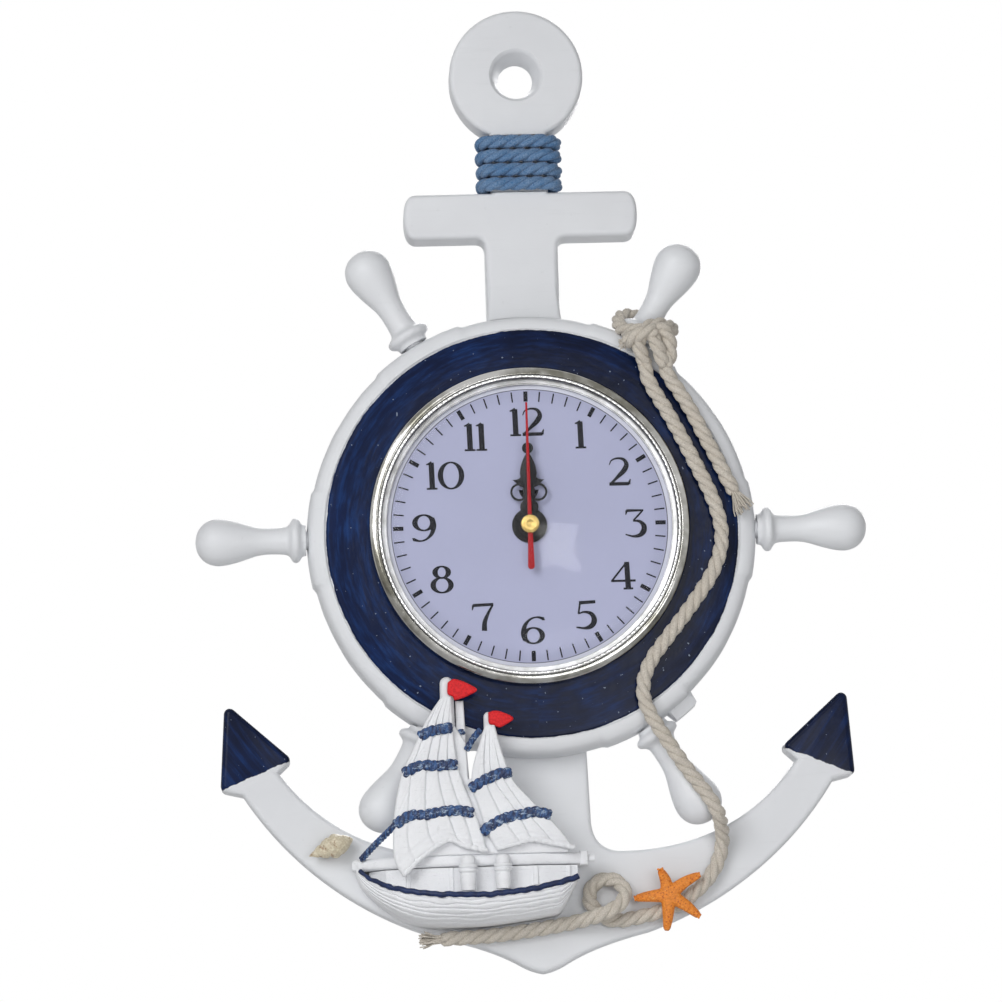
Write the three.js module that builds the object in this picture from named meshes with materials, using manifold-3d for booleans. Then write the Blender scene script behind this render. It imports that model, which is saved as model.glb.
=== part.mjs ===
// A wall clock shaped as an anchor with a ship's wheel on it. A quartz clock insert sits in the wheel, and a
// model boat, a starfish, a shell and two ropes are fixed to the front.
// Millimetres, +Z up, the front faces -Y, and the wall is the plane Y = 0. Pieces are laid out about the
// wheel's axis, and the finished group is shifted so that its origin is the centre of the hanging eye.
import * as THREE from "three";
import { mergeVertices } from "three/addons/utils/BufferGeometryUtils.js";
import Module from "manifold-3d";

const wasm = await Module();
wasm.setup();

// Clearances
const SEAT_GAP = 0.3; // between pieces that are glued together or rest on each other
const SLEEVE_GAP = 0.15; // radial, where a hand is pushed on its tube
const RUN_GAP = 0.25; // radial, where a tube turns inside another
const HAND_GAP = 0.4; // between one hand and the next

// Anchor casting
const EYE_R = 23.3;
const EYE_SINK = 1.9; // how far the eye's rim reaches down past the top of the neck
const EYE_HOLE_FRONT_R = 8.7;
const EYE_HOLE_BACK_R = 6.0;
const ANCHOR_T = 12.0;
const ANCHOR_EDGE = 1.9; // rounding of the front edges
const NECK_HALF = 10.0;
const NECK_DEPTH = 5.2;
const NECK_CORNER = 2.0;
const STOCK_MID = 113.3;
const STOCK_HALF_HEIGHT = 8.0;
const STOCK_HALF_LENGTH = 40.6;
const STOCK_BOW = 3.0; // how far the stock's ends bulge
const SHANK_HALF = 12.6;
const SHANK_FILLET = 3.5;
const TRUNK_HALF = 16.5;
const TRUNK_FILLET = 10.0;
const RING_R = 70.5; // disc behind the wheel
const ARM_OUTER_R = 119.0;
const ARM_OUTER_Z = -22.0; // centre of the arms' outer arc
const ARM_DEPTH = 33.0; // from the arms' outer arc up to their inner edge, at the crown
const ARM_INNER_X = 28.0;
const ARM_INNER_BEND = 0.563; // of the outer arc's radius, where the inner edge bends most
const CROWN_DROP = 7.5; // of the crown's tip below the outer arc
const CROWN_HALF = 36.0;
const ARM_END_ANGLE = -32.48; // where the outer arc ends, degrees from +X
const ARM_END_IN = [-12.2, 7.3]; // these four are measured from the end of the outer arc
const FLUKE_TOP = [5.7, 32.3];
const FLUKE_OUT = [7.6, 1.8];
const FLUKE_IN = [-17.1, 11.9];
const FLUKE_CORNER = 2.1;
const FLARE_HEIGHT = 15.0; // ramp where the shank rises to the rim

// Wheel casting
const WHEEL_T = 11.7;
const WHEEL_FRONT_R = 70.0;
const WHEEL_R = 75.8;
const WHEEL_BACK_R = 76.0;
const WHEEL_BLOCK_R = 76.7;
const WHEEL_BLOCK_HALF_ANGLE = 12.7;
const WHEEL_BLOCK_RISE = 0.5;
const WHEEL_BLOCK_INNER_R = 57.0;
const WHEEL_BLOCK_EDGE = 0.5;
const LUG_R = 79.8; // small lug beside the lower right handle
const LUG_T = 7.0;
const LUG_FROM = 136.6; // clock angles
const LUG_TO = 144.2;
const RIM_SIDES = 48;

// Handles
const HANDLE_Y = -17.6;
const HANDLE_COUNT = 6;
const HANDLE_LENGTH = 37.6; // from the block to the tip
const HANDLE_KNOB_R = 8.05;
const HANDLE_NECK_R = 4.5;
const HANDLE_BEAD_R = 7.6;
const HANDLE_ROOT_R = 5.3;
const SPIGOT_R = 3.2;
const SPIGOT_LENGTH = 9.0;
const HANDLE_SIDES = 10;

// Clock insert
const INSERT_X = -1.0; // the insert sits a little off the wheel's axis
const INSERT_Z = 2.1;
const LENS_R = 49.9;
const BEZEL_RIM = 4.6; // width of the bezel outside the lens
const BEZEL_RISE = 4.3;
const SIGHT_LIP = 1.3; // how far the bezel reaches in under the lens
const DIAL_PLAY = 0.1; // by which the dial and the pan are smaller than the lens
const DIAL_T = 0.5;
const LENS_T = 1.1;
const LENS_APEX = 7.6; // of the lens above the dial's face
const LENS_DOME_R = 560.0;
const PAN_T = 1.2;
const PAN_DEPTH = 9.0;
const BAND_T = 0.7;
const BAND_GAP = 0.25; // on each side of the rubber band
const BAND_WIDTH = 6.0;
const BORE_LEDGE = 6.0; // how far the ring behind the insert reaches in
const INSERT_SIDES = 44;

// Movement
const CASE_SIZE = 56.0;
const CASE_DEPTH = 15.3;
const CASE_WALL = 1.2;
const BUSH_R = 3.6;
const NUT_FLATS = 10.0;
const NUT_T = 0.9;
const WASHER_T = 0.3;
const HOUR_TUBE_R = 2.1;
const HOUR_TUBE_BORE = 1.6;
const MINUTE_TUBE_R = 1.3;
const MINUTE_TUBE_BORE = 0.8;
const SECOND_ARBOR_R = 0.5;
const ARBOR_R = 0.4;
const POST_PIN_R = 0.6; // pin on which the minute wheel turns
const LAYER_STEP = 1.2;
const WHEEL_WIDTH = 0.8;
const TEETH = {
  cannon: 10,
  minuteWheel: 30,
  minutePinion: 8,
  hourWheel: 32,
  knobPinion: 10,
  centreWheel: 48,
  thirdPinion: 6,
  thirdWheel: 45,
  secondPinion: 6,
  secondWheel: 36,
  middlePinion: 6,
  middleWheel: 30,
  rotorPinion: 6,
};
const MOTION_CENTRES = 7.5; // centre distances of the gear pairs
const THIRD_CENTRES = 9.0;
const MIDDLE_CENTRES = 9.1;
const ROTOR_CENTRES = 9.0;
const MOTION_ANGLE = 20; // directions from one arbor to the next, degrees from +X towards +Z
const KNOB_ANGLE = 40;
const THIRD_ANGLE = 150;
const MIDDLE_ANGLE = 70;
const ROTOR_ANGLE = 135;
const ROTOR_R = 3.0;
const ROTOR_T = 1.8;
const STATOR_T = 0.8;
const STATOR_HALF = 14.0;
const STATOR_BAR = 9.4;
const STATOR_LUG = 2.5;
const COIL_R = 3.2;
const KNOB_R = 5.0;
const KNOB_T = 2.0;
const KNOB_SHAFT_R = 1.0;
const BATTERY_R = 7.1;
const BATTERY_LENGTH = 49.2;
const BATTERY_NUB_R = 2.7;
const BATTERY_NUB = 1.0;
const CONTACT_T = 0.5;
const BOARD_SIZE = [13.5, 18.0];
const BOARD_T = 0.8;
const CRYSTAL_R = 1.0;
const CRYSTAL_LENGTH = 6.0;

// Hands
const HAND_T = 0.35;
const HOUR_REACH = 21.5;
const MINUTE_REACH = 38.0;
const SECOND_REACH = 42.0;
const SECOND_TAIL = 15.5;
const SECOND_TIP_HALF = 0.35;
const SECOND_TAIL_HALF = 1.15;
const CAP_R = 3.2;
const CAP_T = 0.9;

// Cords
const CORD_R = 2.35; // blue cord round the neck
const CORD_ROWS = 4;
const CORD_PITCH = 5.0;
const CORD_PLAY = 0.15; // on each side of the cord, beside the gap that seated pieces keep
const CORD_CROSSING = 0.14; // share of a turn, each side of the back's middle, in which the cord drops a row
const ROPE_R = 2.5;

// Boat
const BOAT_LEFT = -63.8;
const BOAT_RIGHT = 13.8;
const HULL_DEPTH = 23.7;
const DECK_DEPTH = 17.5;
const RAIL_LEFT = -59.7;
const RAIL_TOP = -109.2;
const RAIL_BOTTOM = -113.2;
const STUB_LENGTH = 3.6;
const STUB_T = 2.2;
const LEFT_MAST_R = 2.5;
const LEFT_MAST_X = -30.9;
const LEFT_MAST_TOP = -49.2;
const RIGHT_MAST_R = 1.8;
const RIGHT_MAST_X = -17.1;
const RIGHT_MAST_TOP = -61.3;
const SAIL_T = 3.0;
const POST_R = 2.8;
const POST_X = [-25.6, -13.9];
const PENNANT_T = 1.6;

// Starfish and shell
const STAR_T = 3.4;
const SHELL_R = 4.1;
const SHELL_LENGTH = 16.0;

// Heights and planes that follow from the sizes above
const NECK_BOTTOM = STOCK_MID + STOCK_HALF_HEIGHT;
const LAST_ROW = NECK_BOTTOM + SEAT_GAP + CORD_PLAY + CORD_R;
const FIRST_ROW = LAST_ROW + CORD_PITCH * (CORD_ROWS - 1);
const NECK_TOP = FIRST_ROW + CORD_R + CORD_PLAY + SEAT_GAP;
const EYE_HEIGHT = NECK_TOP + EYE_R - EYE_SINK; // of the eye's centre above the wheel's axis
const NECK_Y = -(2 * SEAT_GAP + CORD_PLAY + 2 * CORD_R) - NECK_DEPTH / 2;
const ARM_INNER_Z = ARM_OUTER_Z - ARM_OUTER_R + ARM_DEPTH;
const CROWN_TIP_Z = ARM_OUTER_Z - ARM_OUTER_R - CROWN_DROP;
const BEZEL_R = LENS_R + BEZEL_RIM;
const SIGHT_R = LENS_R - SIGHT_LIP; // inner edge of the bezel, where the dial begins to show
const DIAL_R = LENS_R - DIAL_PLAY;
const PAN_R = LENS_R - DIAL_PLAY;
const INSERT_BORE_R = PAN_R + 2 * BAND_GAP + BAND_T;
const RING_BORE_R = INSERT_BORE_R - BORE_LEDGE;
const PAST_FRONT = -5 * ANCHOR_T; // a level in front of every piece, where through holes end
const WHEEL_BACK = -ANCHOR_T - SEAT_GAP;
const WHEEL_FRONT = WHEEL_BACK - WHEEL_T;
const BEZEL_BACK = WHEEL_FRONT - WHEEL_BLOCK_RISE;
const DIAL_BACK = WHEEL_FRONT - 0.1;
const DIAL_FRONT = DIAL_BACK - DIAL_T;
const PAN_FRONT = DIAL_BACK + SEAT_GAP;
const CASE_FRONT = PAN_FRONT + PAN_T + SEAT_GAP;
const CASE_INNER = CASE_FRONT + CASE_WALL;
const COVER_BACK = CASE_FRONT + CASE_DEPTH;
const COVER_INNER = COVER_BACK - CASE_WALL;
const WASHER_FRONT = DIAL_FRONT - SEAT_GAP - WASHER_T;
const NUT_FRONT = WASHER_FRONT - SEAT_GAP - NUT_T;
const BUSH_FRONT = NUT_FRONT - 0.1;
const HOUR_HAND_BACK = BUSH_FRONT - SEAT_GAP;
const MINUTE_HAND_BACK = HOUR_HAND_BACK - HAND_T - HAND_GAP;
const SECOND_HAND_BACK = MINUTE_HAND_BACK - HAND_T - HAND_GAP;
const CAP_BACK = SECOND_HAND_BACK - HAND_T - SEAT_GAP;

// Materials

function finish(color, roughness, metalness = 0) {
  return () => new THREE.MeshStandardMaterial({ color, roughness, metalness });
}

const whiteResin = finish(0xe4e6ea, 0.45);
const boatWhite = finish(0xe6e7e9, 0.7);
const chrome = finish(0xc9ccd0, 0.15, 1);
const brass = finish(0xc9a24a, 0.3, 1);
const steel = finish(0x9a9da2, 0.35, 1);
const copper = finish(0xa85a2c, 0.45, 0.8);
const dialPaper = finish(0xc9cae6, 0.6);
const blackPaint = finish(0x101012, 0.4);
const redPaint = finish(0xb01c24, 0.4);
const clear = finish(0xf2f4f8, 0.05);
const blackPlastic = finish(0x1c1d1f, 0.5);
const whitePlastic = finish(0xdcdcdc, 0.45);
const rubber = finish(0x26262a, 0.8);
const greenBoard = finish(0x2c6a3c, 0.6);
const blueCord = finish(0x4b75a5, 0.9);
const cream = finish(0xd7cdbe, 0.95);
const orange = finish(0xdc6e28, 0.6);
const shellCream = finish(0xd8c3a0, 0.5);

// Solids

// A closed geometry, whatever its indexing and winding, as a solid that can be cut and joined.
function solid(geometry) {
  const bare = geometry.index ? geometry.toNonIndexed() : geometry.clone();
  bare.deleteAttribute("normal");
  bare.deleteAttribute("uv");
  const merged = mergeVertices(bare, 1e-3);
  const corners = merged.index.array;
  const triangles = [];
  for (let i = 0; i < corners.length; i += 3) {
    const [a, b, c] = [corners[i], corners[i + 1], corners[i + 2]];
    if (a !== b && b !== c && c !== a) triangles.push(a, b, c);
  }
  const vertProperties = Float32Array.from(merged.attributes.position.array);
  const build = (list) =>
    new wasm.Manifold(new wasm.Mesh({ numProp: 3, vertProperties, triVerts: Uint32Array.from(list) }));
  const made = build(triangles);
  if (made.volume() >= 0) return made;
  for (let i = 0; i < triangles.length; i += 3) {
    [triangles[i + 1], triangles[i + 2]] = [triangles[i + 2], triangles[i + 1]];
  }
  return build(triangles);
}

function joined(...pieces) {
  return pieces.reduce((all, piece) => all.add(piece));
}

function mesh(name, shape, material) {
  const made = shape instanceof THREE.BufferGeometry ? solid(shape) : shape;
  const { vertProperties, triVerts } = made.getMesh();
  const geometry = new THREE.BufferGeometry();
  geometry.setAttribute("position", new THREE.BufferAttribute(vertProperties, 3));
  geometry.setIndex(new THREE.BufferAttribute(triVerts, 1));
  geometry.computeVertexNormals();
  const piece = new THREE.Mesh(geometry, material());
  piece.name = name;
  return piece;
}

function box(x0, x1, y0, y1, z0, z1) {
  const geometry = new THREE.BoxGeometry(x1 - x0, y1 - y0, z1 - z0);
  geometry.translate((x0 + x1) / 2, (y0 + y1) / 2, (z0 + z1) / 2);
  return solid(geometry);
}

// A plate drawn in the X-Z plane, from a back plane to a front plane, its front edge rounded by `edge`.
function plate(shape, back, front, edge = 0, curveSegments = 12) {
  const depth = back - front - edge;
  const geometry = new THREE.ExtrudeGeometry(shape, {
    depth,
    curveSegments,
    bevelEnabled: edge > 0,
    bevelThickness: edge,
    bevelSize: edge,
    bevelOffset: -edge,
    bevelSegments: 1,
  });
  geometry.rotateX(Math.PI / 2);
  geometry.translate(0, back, 0);
  const made = solid(geometry);
  if (!edge) return made;
  const far = 500;
  return made.subtract(box(-far, far, back, back + far, -far, far));
}

// A round bar along Y between two planes.
function drum(radius, back, front, x = 0, z = 0, sides = 24, frontRadius = radius) {
  const geometry = new THREE.CylinderGeometry(radius, frontRadius, back - front, sides);
  geometry.translate(x, (back + front) / 2, z);
  return solid(geometry);
}

// A body turned about the Y axis from [radius, y] points that close on themselves or end on the axis.
function turned(profile, sides) {
  const points = profile.map(([r, y]) => new THREE.Vector2(r, y));
  return solid(new THREE.LatheGeometry(points, sides));
}

function ring(profile, sides) {
  return turned([...profile, profile[0]], sides);
}

function tube(points, radius, sides, steps) {
  const section = new THREE.Shape();
  section.absarc(0, 0, radius, 0, 2 * Math.PI);
  const extrudePath = new THREE.CatmullRomCurve3(points);
  const curveSegments = sides / 2;
  const options = { steps, curveSegments, bevelEnabled: false, extrudePath };
  return solid(new THREE.ExtrudeGeometry(section, options));
}

// Closed rings of corners joined one after another, with a fan at each end.
function loft(rings) {
  const positions = [];
  const push = (...corners) => corners.forEach((p) => positions.push(p.x, p.y, p.z));
  const count = rings[0].length;
  for (let i = 0; i + 1 < rings.length; i += 1) {
    for (let j = 0; j < count; j += 1) {
      const k = (j + 1) % count;
      push(rings[i][j], rings[i + 1][j], rings[i + 1][k]);
      push(rings[i][j], rings[i + 1][k], rings[i][k]);
    }
  }
  const [first, last] = [rings[0], rings[rings.length - 1]];
  for (let j = 1; j + 1 < count; j += 1) {
    push(first[0], first[j], first[j + 1]);
    push(last[0], last[j + 1], last[j]);
  }
  const geometry = new THREE.BufferGeometry();
  geometry.setAttribute("position", new THREE.Float32BufferAttribute(positions, 3));
  return solid(geometry);
}

// A closed outline without the doubled points that arcs and lines leave where they meet.
function outline(points) {
  const apart = (a, b) => Math.hypot(a[0] - b[0], a[1] - b[1]) > 0.02;
  const kept = points.filter((point, i) => apart(point, points[(i + 1) % points.length]));
  return new THREE.Shape(kept.map(([x, z]) => new THREE.Vector2(x, z)));
}

function radians(degrees) {
  return (degrees * Math.PI) / 180;
}

function onCircle(radius, degrees, x = 0, z = 0) {
  return [x + radius * Math.cos(radians(degrees)), z + radius * Math.sin(radians(degrees))];
}

// Clock angle of each handle, clockwise from twelve.
function handleAngle(i) {
  return 30 + (360 / HANDLE_COUNT) * i;
}

// Turns geometry laid along +Y from the axis so that it points outwards at a clock angle.
function spoke(geometry, clockAngle) {
  geometry.rotateX(Math.PI / 2);
  geometry.rotateY(radians(clockAngle));
  geometry.translate(0, HANDLE_Y, 0);
  return solid(geometry);
}

// Anchor casting

// A point `along` millimetres from corner a towards corner b.
function towards(a, b, along) {
  const reach = Math.hypot(b[0] - a[0], b[1] - a[1]);
  return [a[0] + ((b[0] - a[0]) * along) / reach, a[1] + ((b[1] - a[1]) * along) / reach];
}

// Runs the path up to a corner and round it on an arc.
function roundCorner(path, before, corner, after, radius) {
  const [a, b] = [before, after].map(([x, z]) => new THREE.Vector2(x - corner[0], z - corner[1]).normalize());
  const half = Math.acos(a.dot(b)) / 2;
  const reach = radius / Math.tan(half);
  const bisector = a.clone().add(b).setLength(radius / Math.sin(half));
  const [x, z] = [corner[0] + bisector.x, corner[1] + bisector.y];
  const [start, end] = [towards(corner, before, reach), towards(corner, after, reach)];
  path.lineTo(...start);
  const [from, to] = [start, end].map((point) => Math.atan2(point[1] - z, point[0] - x));
  path.absarc(x, z, radius, from, to, false);
}

// The anchor's right half, from the crown's tip up to the top of the eye.
function anchorHalf() {
  const half = new THREE.Path();
  const armStart = (Math.acos(CROWN_HALF / ARM_OUTER_R) * -180) / Math.PI;
  const armRoot = onCircle(ARM_OUTER_R, armStart, 0, ARM_OUTER_Z);
  const armEndOut = onCircle(ARM_OUTER_R, ARM_END_ANGLE, 0, ARM_OUTER_Z);
  const [armEndIn, flukeTop, flukeOut, flukeIn] = [ARM_END_IN, FLUKE_TOP, FLUKE_OUT, FLUKE_IN].map(
    ([x, z]) => [armEndOut[0] + x, armEndOut[1] + z],
  );
  half.moveTo(0, CROWN_TIP_Z);
  half.quadraticCurveTo(4, CROWN_TIP_Z + 0.6, 8, CROWN_TIP_Z + 3);
  half.quadraticCurveTo(CROWN_HALF / 2, CROWN_TIP_Z + 9, ...armRoot);
  half.absarc(0, ARM_OUTER_Z, ARM_OUTER_R, radians(armStart), radians(ARM_END_ANGLE), false);
  roundCorner(half, armEndOut, flukeOut, flukeTop, FLUKE_CORNER);
  roundCorner(half, flukeOut, flukeTop, flukeIn, FLUKE_CORNER);
  roundCorner(half, flukeTop, flukeIn, armEndIn, FLUKE_CORNER);
  half.lineTo(...armEndIn);
  half.quadraticCurveTo(ARM_INNER_BEND * ARM_OUTER_R, ARM_INNER_Z, ARM_INNER_X, ARM_INNER_Z);
  half.quadraticCurveTo(TRUNK_HALF + 1.5, ARM_INNER_Z, TRUNK_HALF + 0.8, ARM_INNER_Z + TRUNK_FILLET);
  const trunkEnd = (Math.acos(TRUNK_HALF / RING_R) * -180) / Math.PI;
  const shankStart = (Math.acos(SHANK_HALF / RING_R) * 180) / Math.PI;
  half.lineTo(...onCircle(RING_R, trunkEnd));
  half.absarc(0, 0, RING_R, radians(trunkEnd), radians(shankStart), false);
  const stockBottom = STOCK_MID - STOCK_HALF_HEIGHT;
  const stockTop = STOCK_MID + STOCK_HALF_HEIGHT;
  const stockEnd = STOCK_HALF_LENGTH - STOCK_BOW;
  half.lineTo(SHANK_HALF, stockBottom - SHANK_FILLET);
  half.quadraticCurveTo(SHANK_HALF, stockBottom, SHANK_HALF + SHANK_FILLET, stockBottom);
  half.lineTo(stockEnd - STOCK_BOW / 2, stockBottom);
  half.quadraticCurveTo(stockEnd + STOCK_BOW, stockBottom, STOCK_HALF_LENGTH, STOCK_MID);
  half.quadraticCurveTo(stockEnd + STOCK_BOW, stockTop, stockEnd - STOCK_BOW / 2, stockTop);
  half.lineTo(NECK_HALF, stockTop);
  const eyeStart = (Math.acos(NECK_HALF / EYE_R) * -180) / Math.PI;
  half.absarc(0, EYE_HEIGHT, EYE_R, radians(eyeStart), radians(90), false);
  return half.getPoints(5).map((p) => [p.x, p.y]);
}

function anchorShape() {
  const right = anchorHalf();
  const left = right
    .slice(1, -1)
    .reverse()
    .map(([x, z]) => [-x, z]);
  return outline([...right, ...left]);
}

// Outside of the wheel's rim as a [radius, y] profile, grown by `grow`.
function rimProfile(grow = 0) {
  return [
    [WHEEL_BACK_R + grow, WHEEL_BACK + grow],
    [WHEEL_R + grow, WHEEL_FRONT + 6.0],
    [WHEEL_R - 0.8 + grow, WHEEL_FRONT + 3.0],
    [WHEEL_R - 2.8 + grow, WHEEL_FRONT + 0.9 - grow],
    [WHEEL_FRONT_R, WHEEL_FRONT - grow],
  ];
}

// The neck is a round-cornered bar, set back from both faces so that the cord can pass round it.
// Its section, grown by a margin, runs anticlockwise from the middle of the back.
function neckPath(margin) {
  const halfWidth = NECK_HALF + margin;
  const halfDepth = NECK_DEPTH / 2 + margin;
  const r = NECK_CORNER + margin;
  const path = new THREE.Path();
  path.moveTo(0, halfDepth);
  path.absarc(-halfWidth + r, halfDepth - r, r, Math.PI / 2, Math.PI, false);
  path.absarc(-halfWidth + r, -halfDepth + r, r, Math.PI, 1.5 * Math.PI, false);
  path.absarc(halfWidth - r, -halfDepth + r, r, 1.5 * Math.PI, 2 * Math.PI, false);
  path.absarc(halfWidth - r, halfDepth - r, r, 0, Math.PI / 2, false);
  path.closePath();
  return path;
}

function neckBar() {
  const section = outline(neckPath(0).getPoints(3).map((p) => [p.x, p.y]));
  const bottom = NECK_BOTTOM - 2;
  const top = EYE_HEIGHT - EYE_HOLE_FRONT_R - 4;
  const geometry = new THREE.ExtrudeGeometry(section, { depth: top - bottom, bevelEnabled: false });
  geometry.translate(0, NECK_Y, bottom);
  return solid(geometry);
}

function anchorCasting() {
  const body = plate(anchorShape(), 0, -ANCHOR_T, ANCHOR_EDGE);
  const neckRoom = box(-EYE_R, EYE_R, -2 * ANCHOR_T, 1, NECK_BOTTOM, NECK_TOP);
  const eyeHole = drum(EYE_HOLE_BACK_R, 0.01, -ANCHOR_T - 0.01, 0, EYE_HEIGHT, 28, EYE_HOLE_FRONT_R);
  const flareTop = RING_R + FLARE_HEIGHT + 5;
  const ramp = outline([
    [ANCHOR_T - 4, flareTop],
    [ANCHOR_T - 4, RING_R + 1],
    [ANCHOR_T + WHEEL_T - 2.5, RING_R + 1],
    [ANCHOR_T + WHEEL_T - 4.5, WHEEL_R + 2.5],
    [ANCHOR_T - 0.2, flareTop],
  ]);
  const halfWidth = SHANK_HALF - ANCHOR_EDGE;
  const flareGeometry = new THREE.ExtrudeGeometry(ramp, { depth: 2 * halfWidth, bevelEnabled: false });
  // the ramp's drawing plane holds depth and height: stand it up across the shank
  const upright = new THREE.Matrix4().set(0, 0, 1, -halfWidth, -1, 0, 0, 0, 0, 1, 0, 0, 0, 0, 0, 1);
  flareGeometry.applyMatrix4(upright);
  const rim = turned([[0, WHEEL_BACK + SEAT_GAP], ...rimProfile(SEAT_GAP), [0, WHEEL_FRONT - 9]], RIM_SIDES);
  const flare = solid(flareGeometry).subtract(rim);
  const bore = drum(RING_BORE_R, 1, -ANCHOR_T - 1, 0, 0, 40);
  return joined(body.subtract(neckRoom).subtract(bore), neckBar(), flare).subtract(eyeHole);
}

// Wheel casting, with a raised block behind each handle, a bore for the insert and a socket for each handle

function wheelBlock(clockAngle) {
  const shape = new THREE.Shape();
  const from = radians(90 - WHEEL_BLOCK_HALF_ANGLE);
  const to = radians(90 + WHEEL_BLOCK_HALF_ANGLE);
  shape.absarc(0, 0, WHEEL_BLOCK_R, from, to, false);
  shape.absarc(0, 0, WHEEL_BLOCK_INNER_R, to, from, true);
  const block = plate(shape, WHEEL_BACK - 0.4, WHEEL_FRONT - WHEEL_BLOCK_RISE, WHEEL_BLOCK_EDGE, 3);
  return block.rotate([0, clockAngle, 0]);
}

function wheelLug() {
  const shape = new THREE.Shape();
  shape.absarc(0, 0, LUG_R, radians(90 - LUG_TO), radians(90 - LUG_FROM), false);
  shape.absarc(0, 0, WHEEL_R - 6, radians(90 - LUG_FROM), radians(90 - LUG_TO), true);
  return plate(shape, WHEEL_BACK - 0.4, WHEEL_BACK - 0.4 - LUG_T, 1.0, 2);
}

function wheelCasting() {
  const inner = RING_BORE_R;
  let wheel = ring([[inner, WHEEL_FRONT], [inner, WHEEL_BACK], ...rimProfile()], RIM_SIDES);
  for (let i = 0; i < HANDLE_COUNT; i += 1) wheel = wheel.add(wheelBlock(handleAngle(i)));
  wheel = wheel.add(wheelLug());
  wheel = wheel.subtract(drum(INSERT_BORE_R, 0, WHEEL_FRONT - 5, INSERT_X, INSERT_Z, INSERT_SIDES));
  const socketR = SPIGOT_R + SEAT_GAP;
  const socketLength = SPIGOT_LENGTH + 10;
  for (let i = 0; i < HANDLE_COUNT; i += 1) {
    const socket = new THREE.CylinderGeometry(socketR, socketR, socketLength, HANDLE_SIDES);
    socket.translate(0, WHEEL_BLOCK_R - SPIGOT_LENGTH - SEAT_GAP + socketLength / 2, 0);
    wheel = wheel.subtract(spoke(socket, handleAngle(i)));
  }
  return wheel;
}

function handle(clockAngle) {
  const root = WHEEL_BLOCK_R + SEAT_GAP;
  const profile = [
    [0, -SPIGOT_LENGTH],
    [SPIGOT_R, -SPIGOT_LENGTH],
    [SPIGOT_R, 0],
    [HANDLE_ROOT_R, 0],
    [HANDLE_ROOT_R, 1.5],
    [HANDLE_BEAD_R, 3.0],
    [HANDLE_BEAD_R, 4.4],
    [HANDLE_NECK_R + 0.2, 6.4],
    [HANDLE_NECK_R, 15.5],
    [HANDLE_KNOB_R - 1.8, 23.2],
    [HANDLE_KNOB_R, 30.2],
    [HANDLE_KNOB_R - 0.7, 34.2],
    [HANDLE_KNOB_R - 3.6, HANDLE_LENGTH - 0.9],
    [0, HANDLE_LENGTH],
  ].map(([r, s]) => new THREE.Vector2(r, root + s));
  return spoke(new THREE.LatheGeometry(profile, HANDLE_SIDES), clockAngle);
}

// Cord and ropes

// Rows round the neck, level in front and on the sides; the cord drops to the next row across the back.
function neckCord() {
  const loop = neckPath(SEAT_GAP + CORD_PLAY + CORD_R);
  const length = CORD_ROWS - 2 * CORD_CROSSING;
  const steps = Math.round(length * 16);
  const points = [];
  for (let i = 0; i <= steps; i += 1) {
    const turn = CORD_CROSSING + (length * i) / steps;
    const nearest = Math.round(turn);
    const crossed = THREE.MathUtils.clamp((turn - nearest) / CORD_CROSSING, -1, 1);
    const { x, y } = loop.getPointAt(turn % 1);
    points.push(new THREE.Vector3(x, NECK_Y + y, FIRST_ROW - CORD_PITCH * (nearest - 0.5 + crossed / 2)));
  }
  return tube(points, CORD_R, 8, steps);
}

// Rope centre lines, as [x, y, z]: on the wheel's face, over the lower handle, down to the arm and along it.
const INNER_RUN = [
  [40.0, -27.4, 58.4], [40.6, -27.4, 52.5], [42.6, -27.4, 47.8], [47.0, -27.4, 40.0],
  [52.0, -27.4, 30.2], [56.6, -27.4, 20.5], [60.5, -27.4, 12.0], [63.0, -27.4, 4.5],
  [64.0, -27.4, -2.5], [63.0, -27.4, -9.5], [60.0, -27.4, -16.5], [55.5, -27.4, -23.2],
  [50.0, -27.4, -30.5], [44.0, -27.4, -38.0], [38.7, -27.4, -45.0], [35.9, -27.4, -51.5],
  [35.6, -27.4, -58.0], [37.5, -27.9, -63.5], [41.0, -28.4, -69.7], [45.0, -27.9, -76.0],
  [49.0, -27.2, -82.0], [53.0, -27.7, -87.6], [56.2, -28.4, -92.2], [59.0, -27.3, -97.0],
  [60.5, -22.0, -101.2], [61.2, -17.2, -105.5], [60.4, -15.0, -110.5], [58.0, -14.9, -115.8],
  [54.0, -14.9, -120.7], [48.0, -14.9, -125.5], [40.5, -14.9, -128.9], [32.5, -14.9, -130.8],
  [25.5, -14.9, -131.8], [21.0, -14.9, -131.0], [17.6, -14.9, -128.2], [15.6, -14.9, -124.4],
  [16.6, -14.9, -120.4], [19.9, -15.1, -118.1], [24.0, -16.3, -118.3], [26.9, -18.3, -121.0],
  [27.0, -20.2, -124.6], [24.1, -20.9, -127.7], [19.5, -20.3, -129.8], [14.3, -17.6, -131.3],
  [7.0, -15.0, -132.6], [-3.5, -14.9, -134.2], [-17.5, -14.9, -135.7], [-28.0, -14.9, -136.2],
  [-34.5, -14.9, -136.4],
];
const OUTER_RUN = [
  [46.4, -27.4, 60.4], [46.9, -27.4, 55.5], [48.4, -27.4, 51.5], [50.9, -27.4, 47.6], [55.0, -27.4, 40.5],
  [59.5, -27.4, 31.2], [64.0, -27.4, 22.0], [66.6, -27.4, 16.2], [69.0, -27.4, 11.6],
];
const KNOT_RUN = [
  [42.3, -30.9, 69.4], [42.7, -30.7, 66.2], [43.3, -30.3, 61.9],
];
const KNOT_R = 5.4;
const COLLAR_STATION = 8.2; // of the rope's ring from the handle's root
const FRAY = 9.0;

function vectors(list) {
  return list.map(([x, y, z]) => new THREE.Vector3(x, y, z));
}

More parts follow.
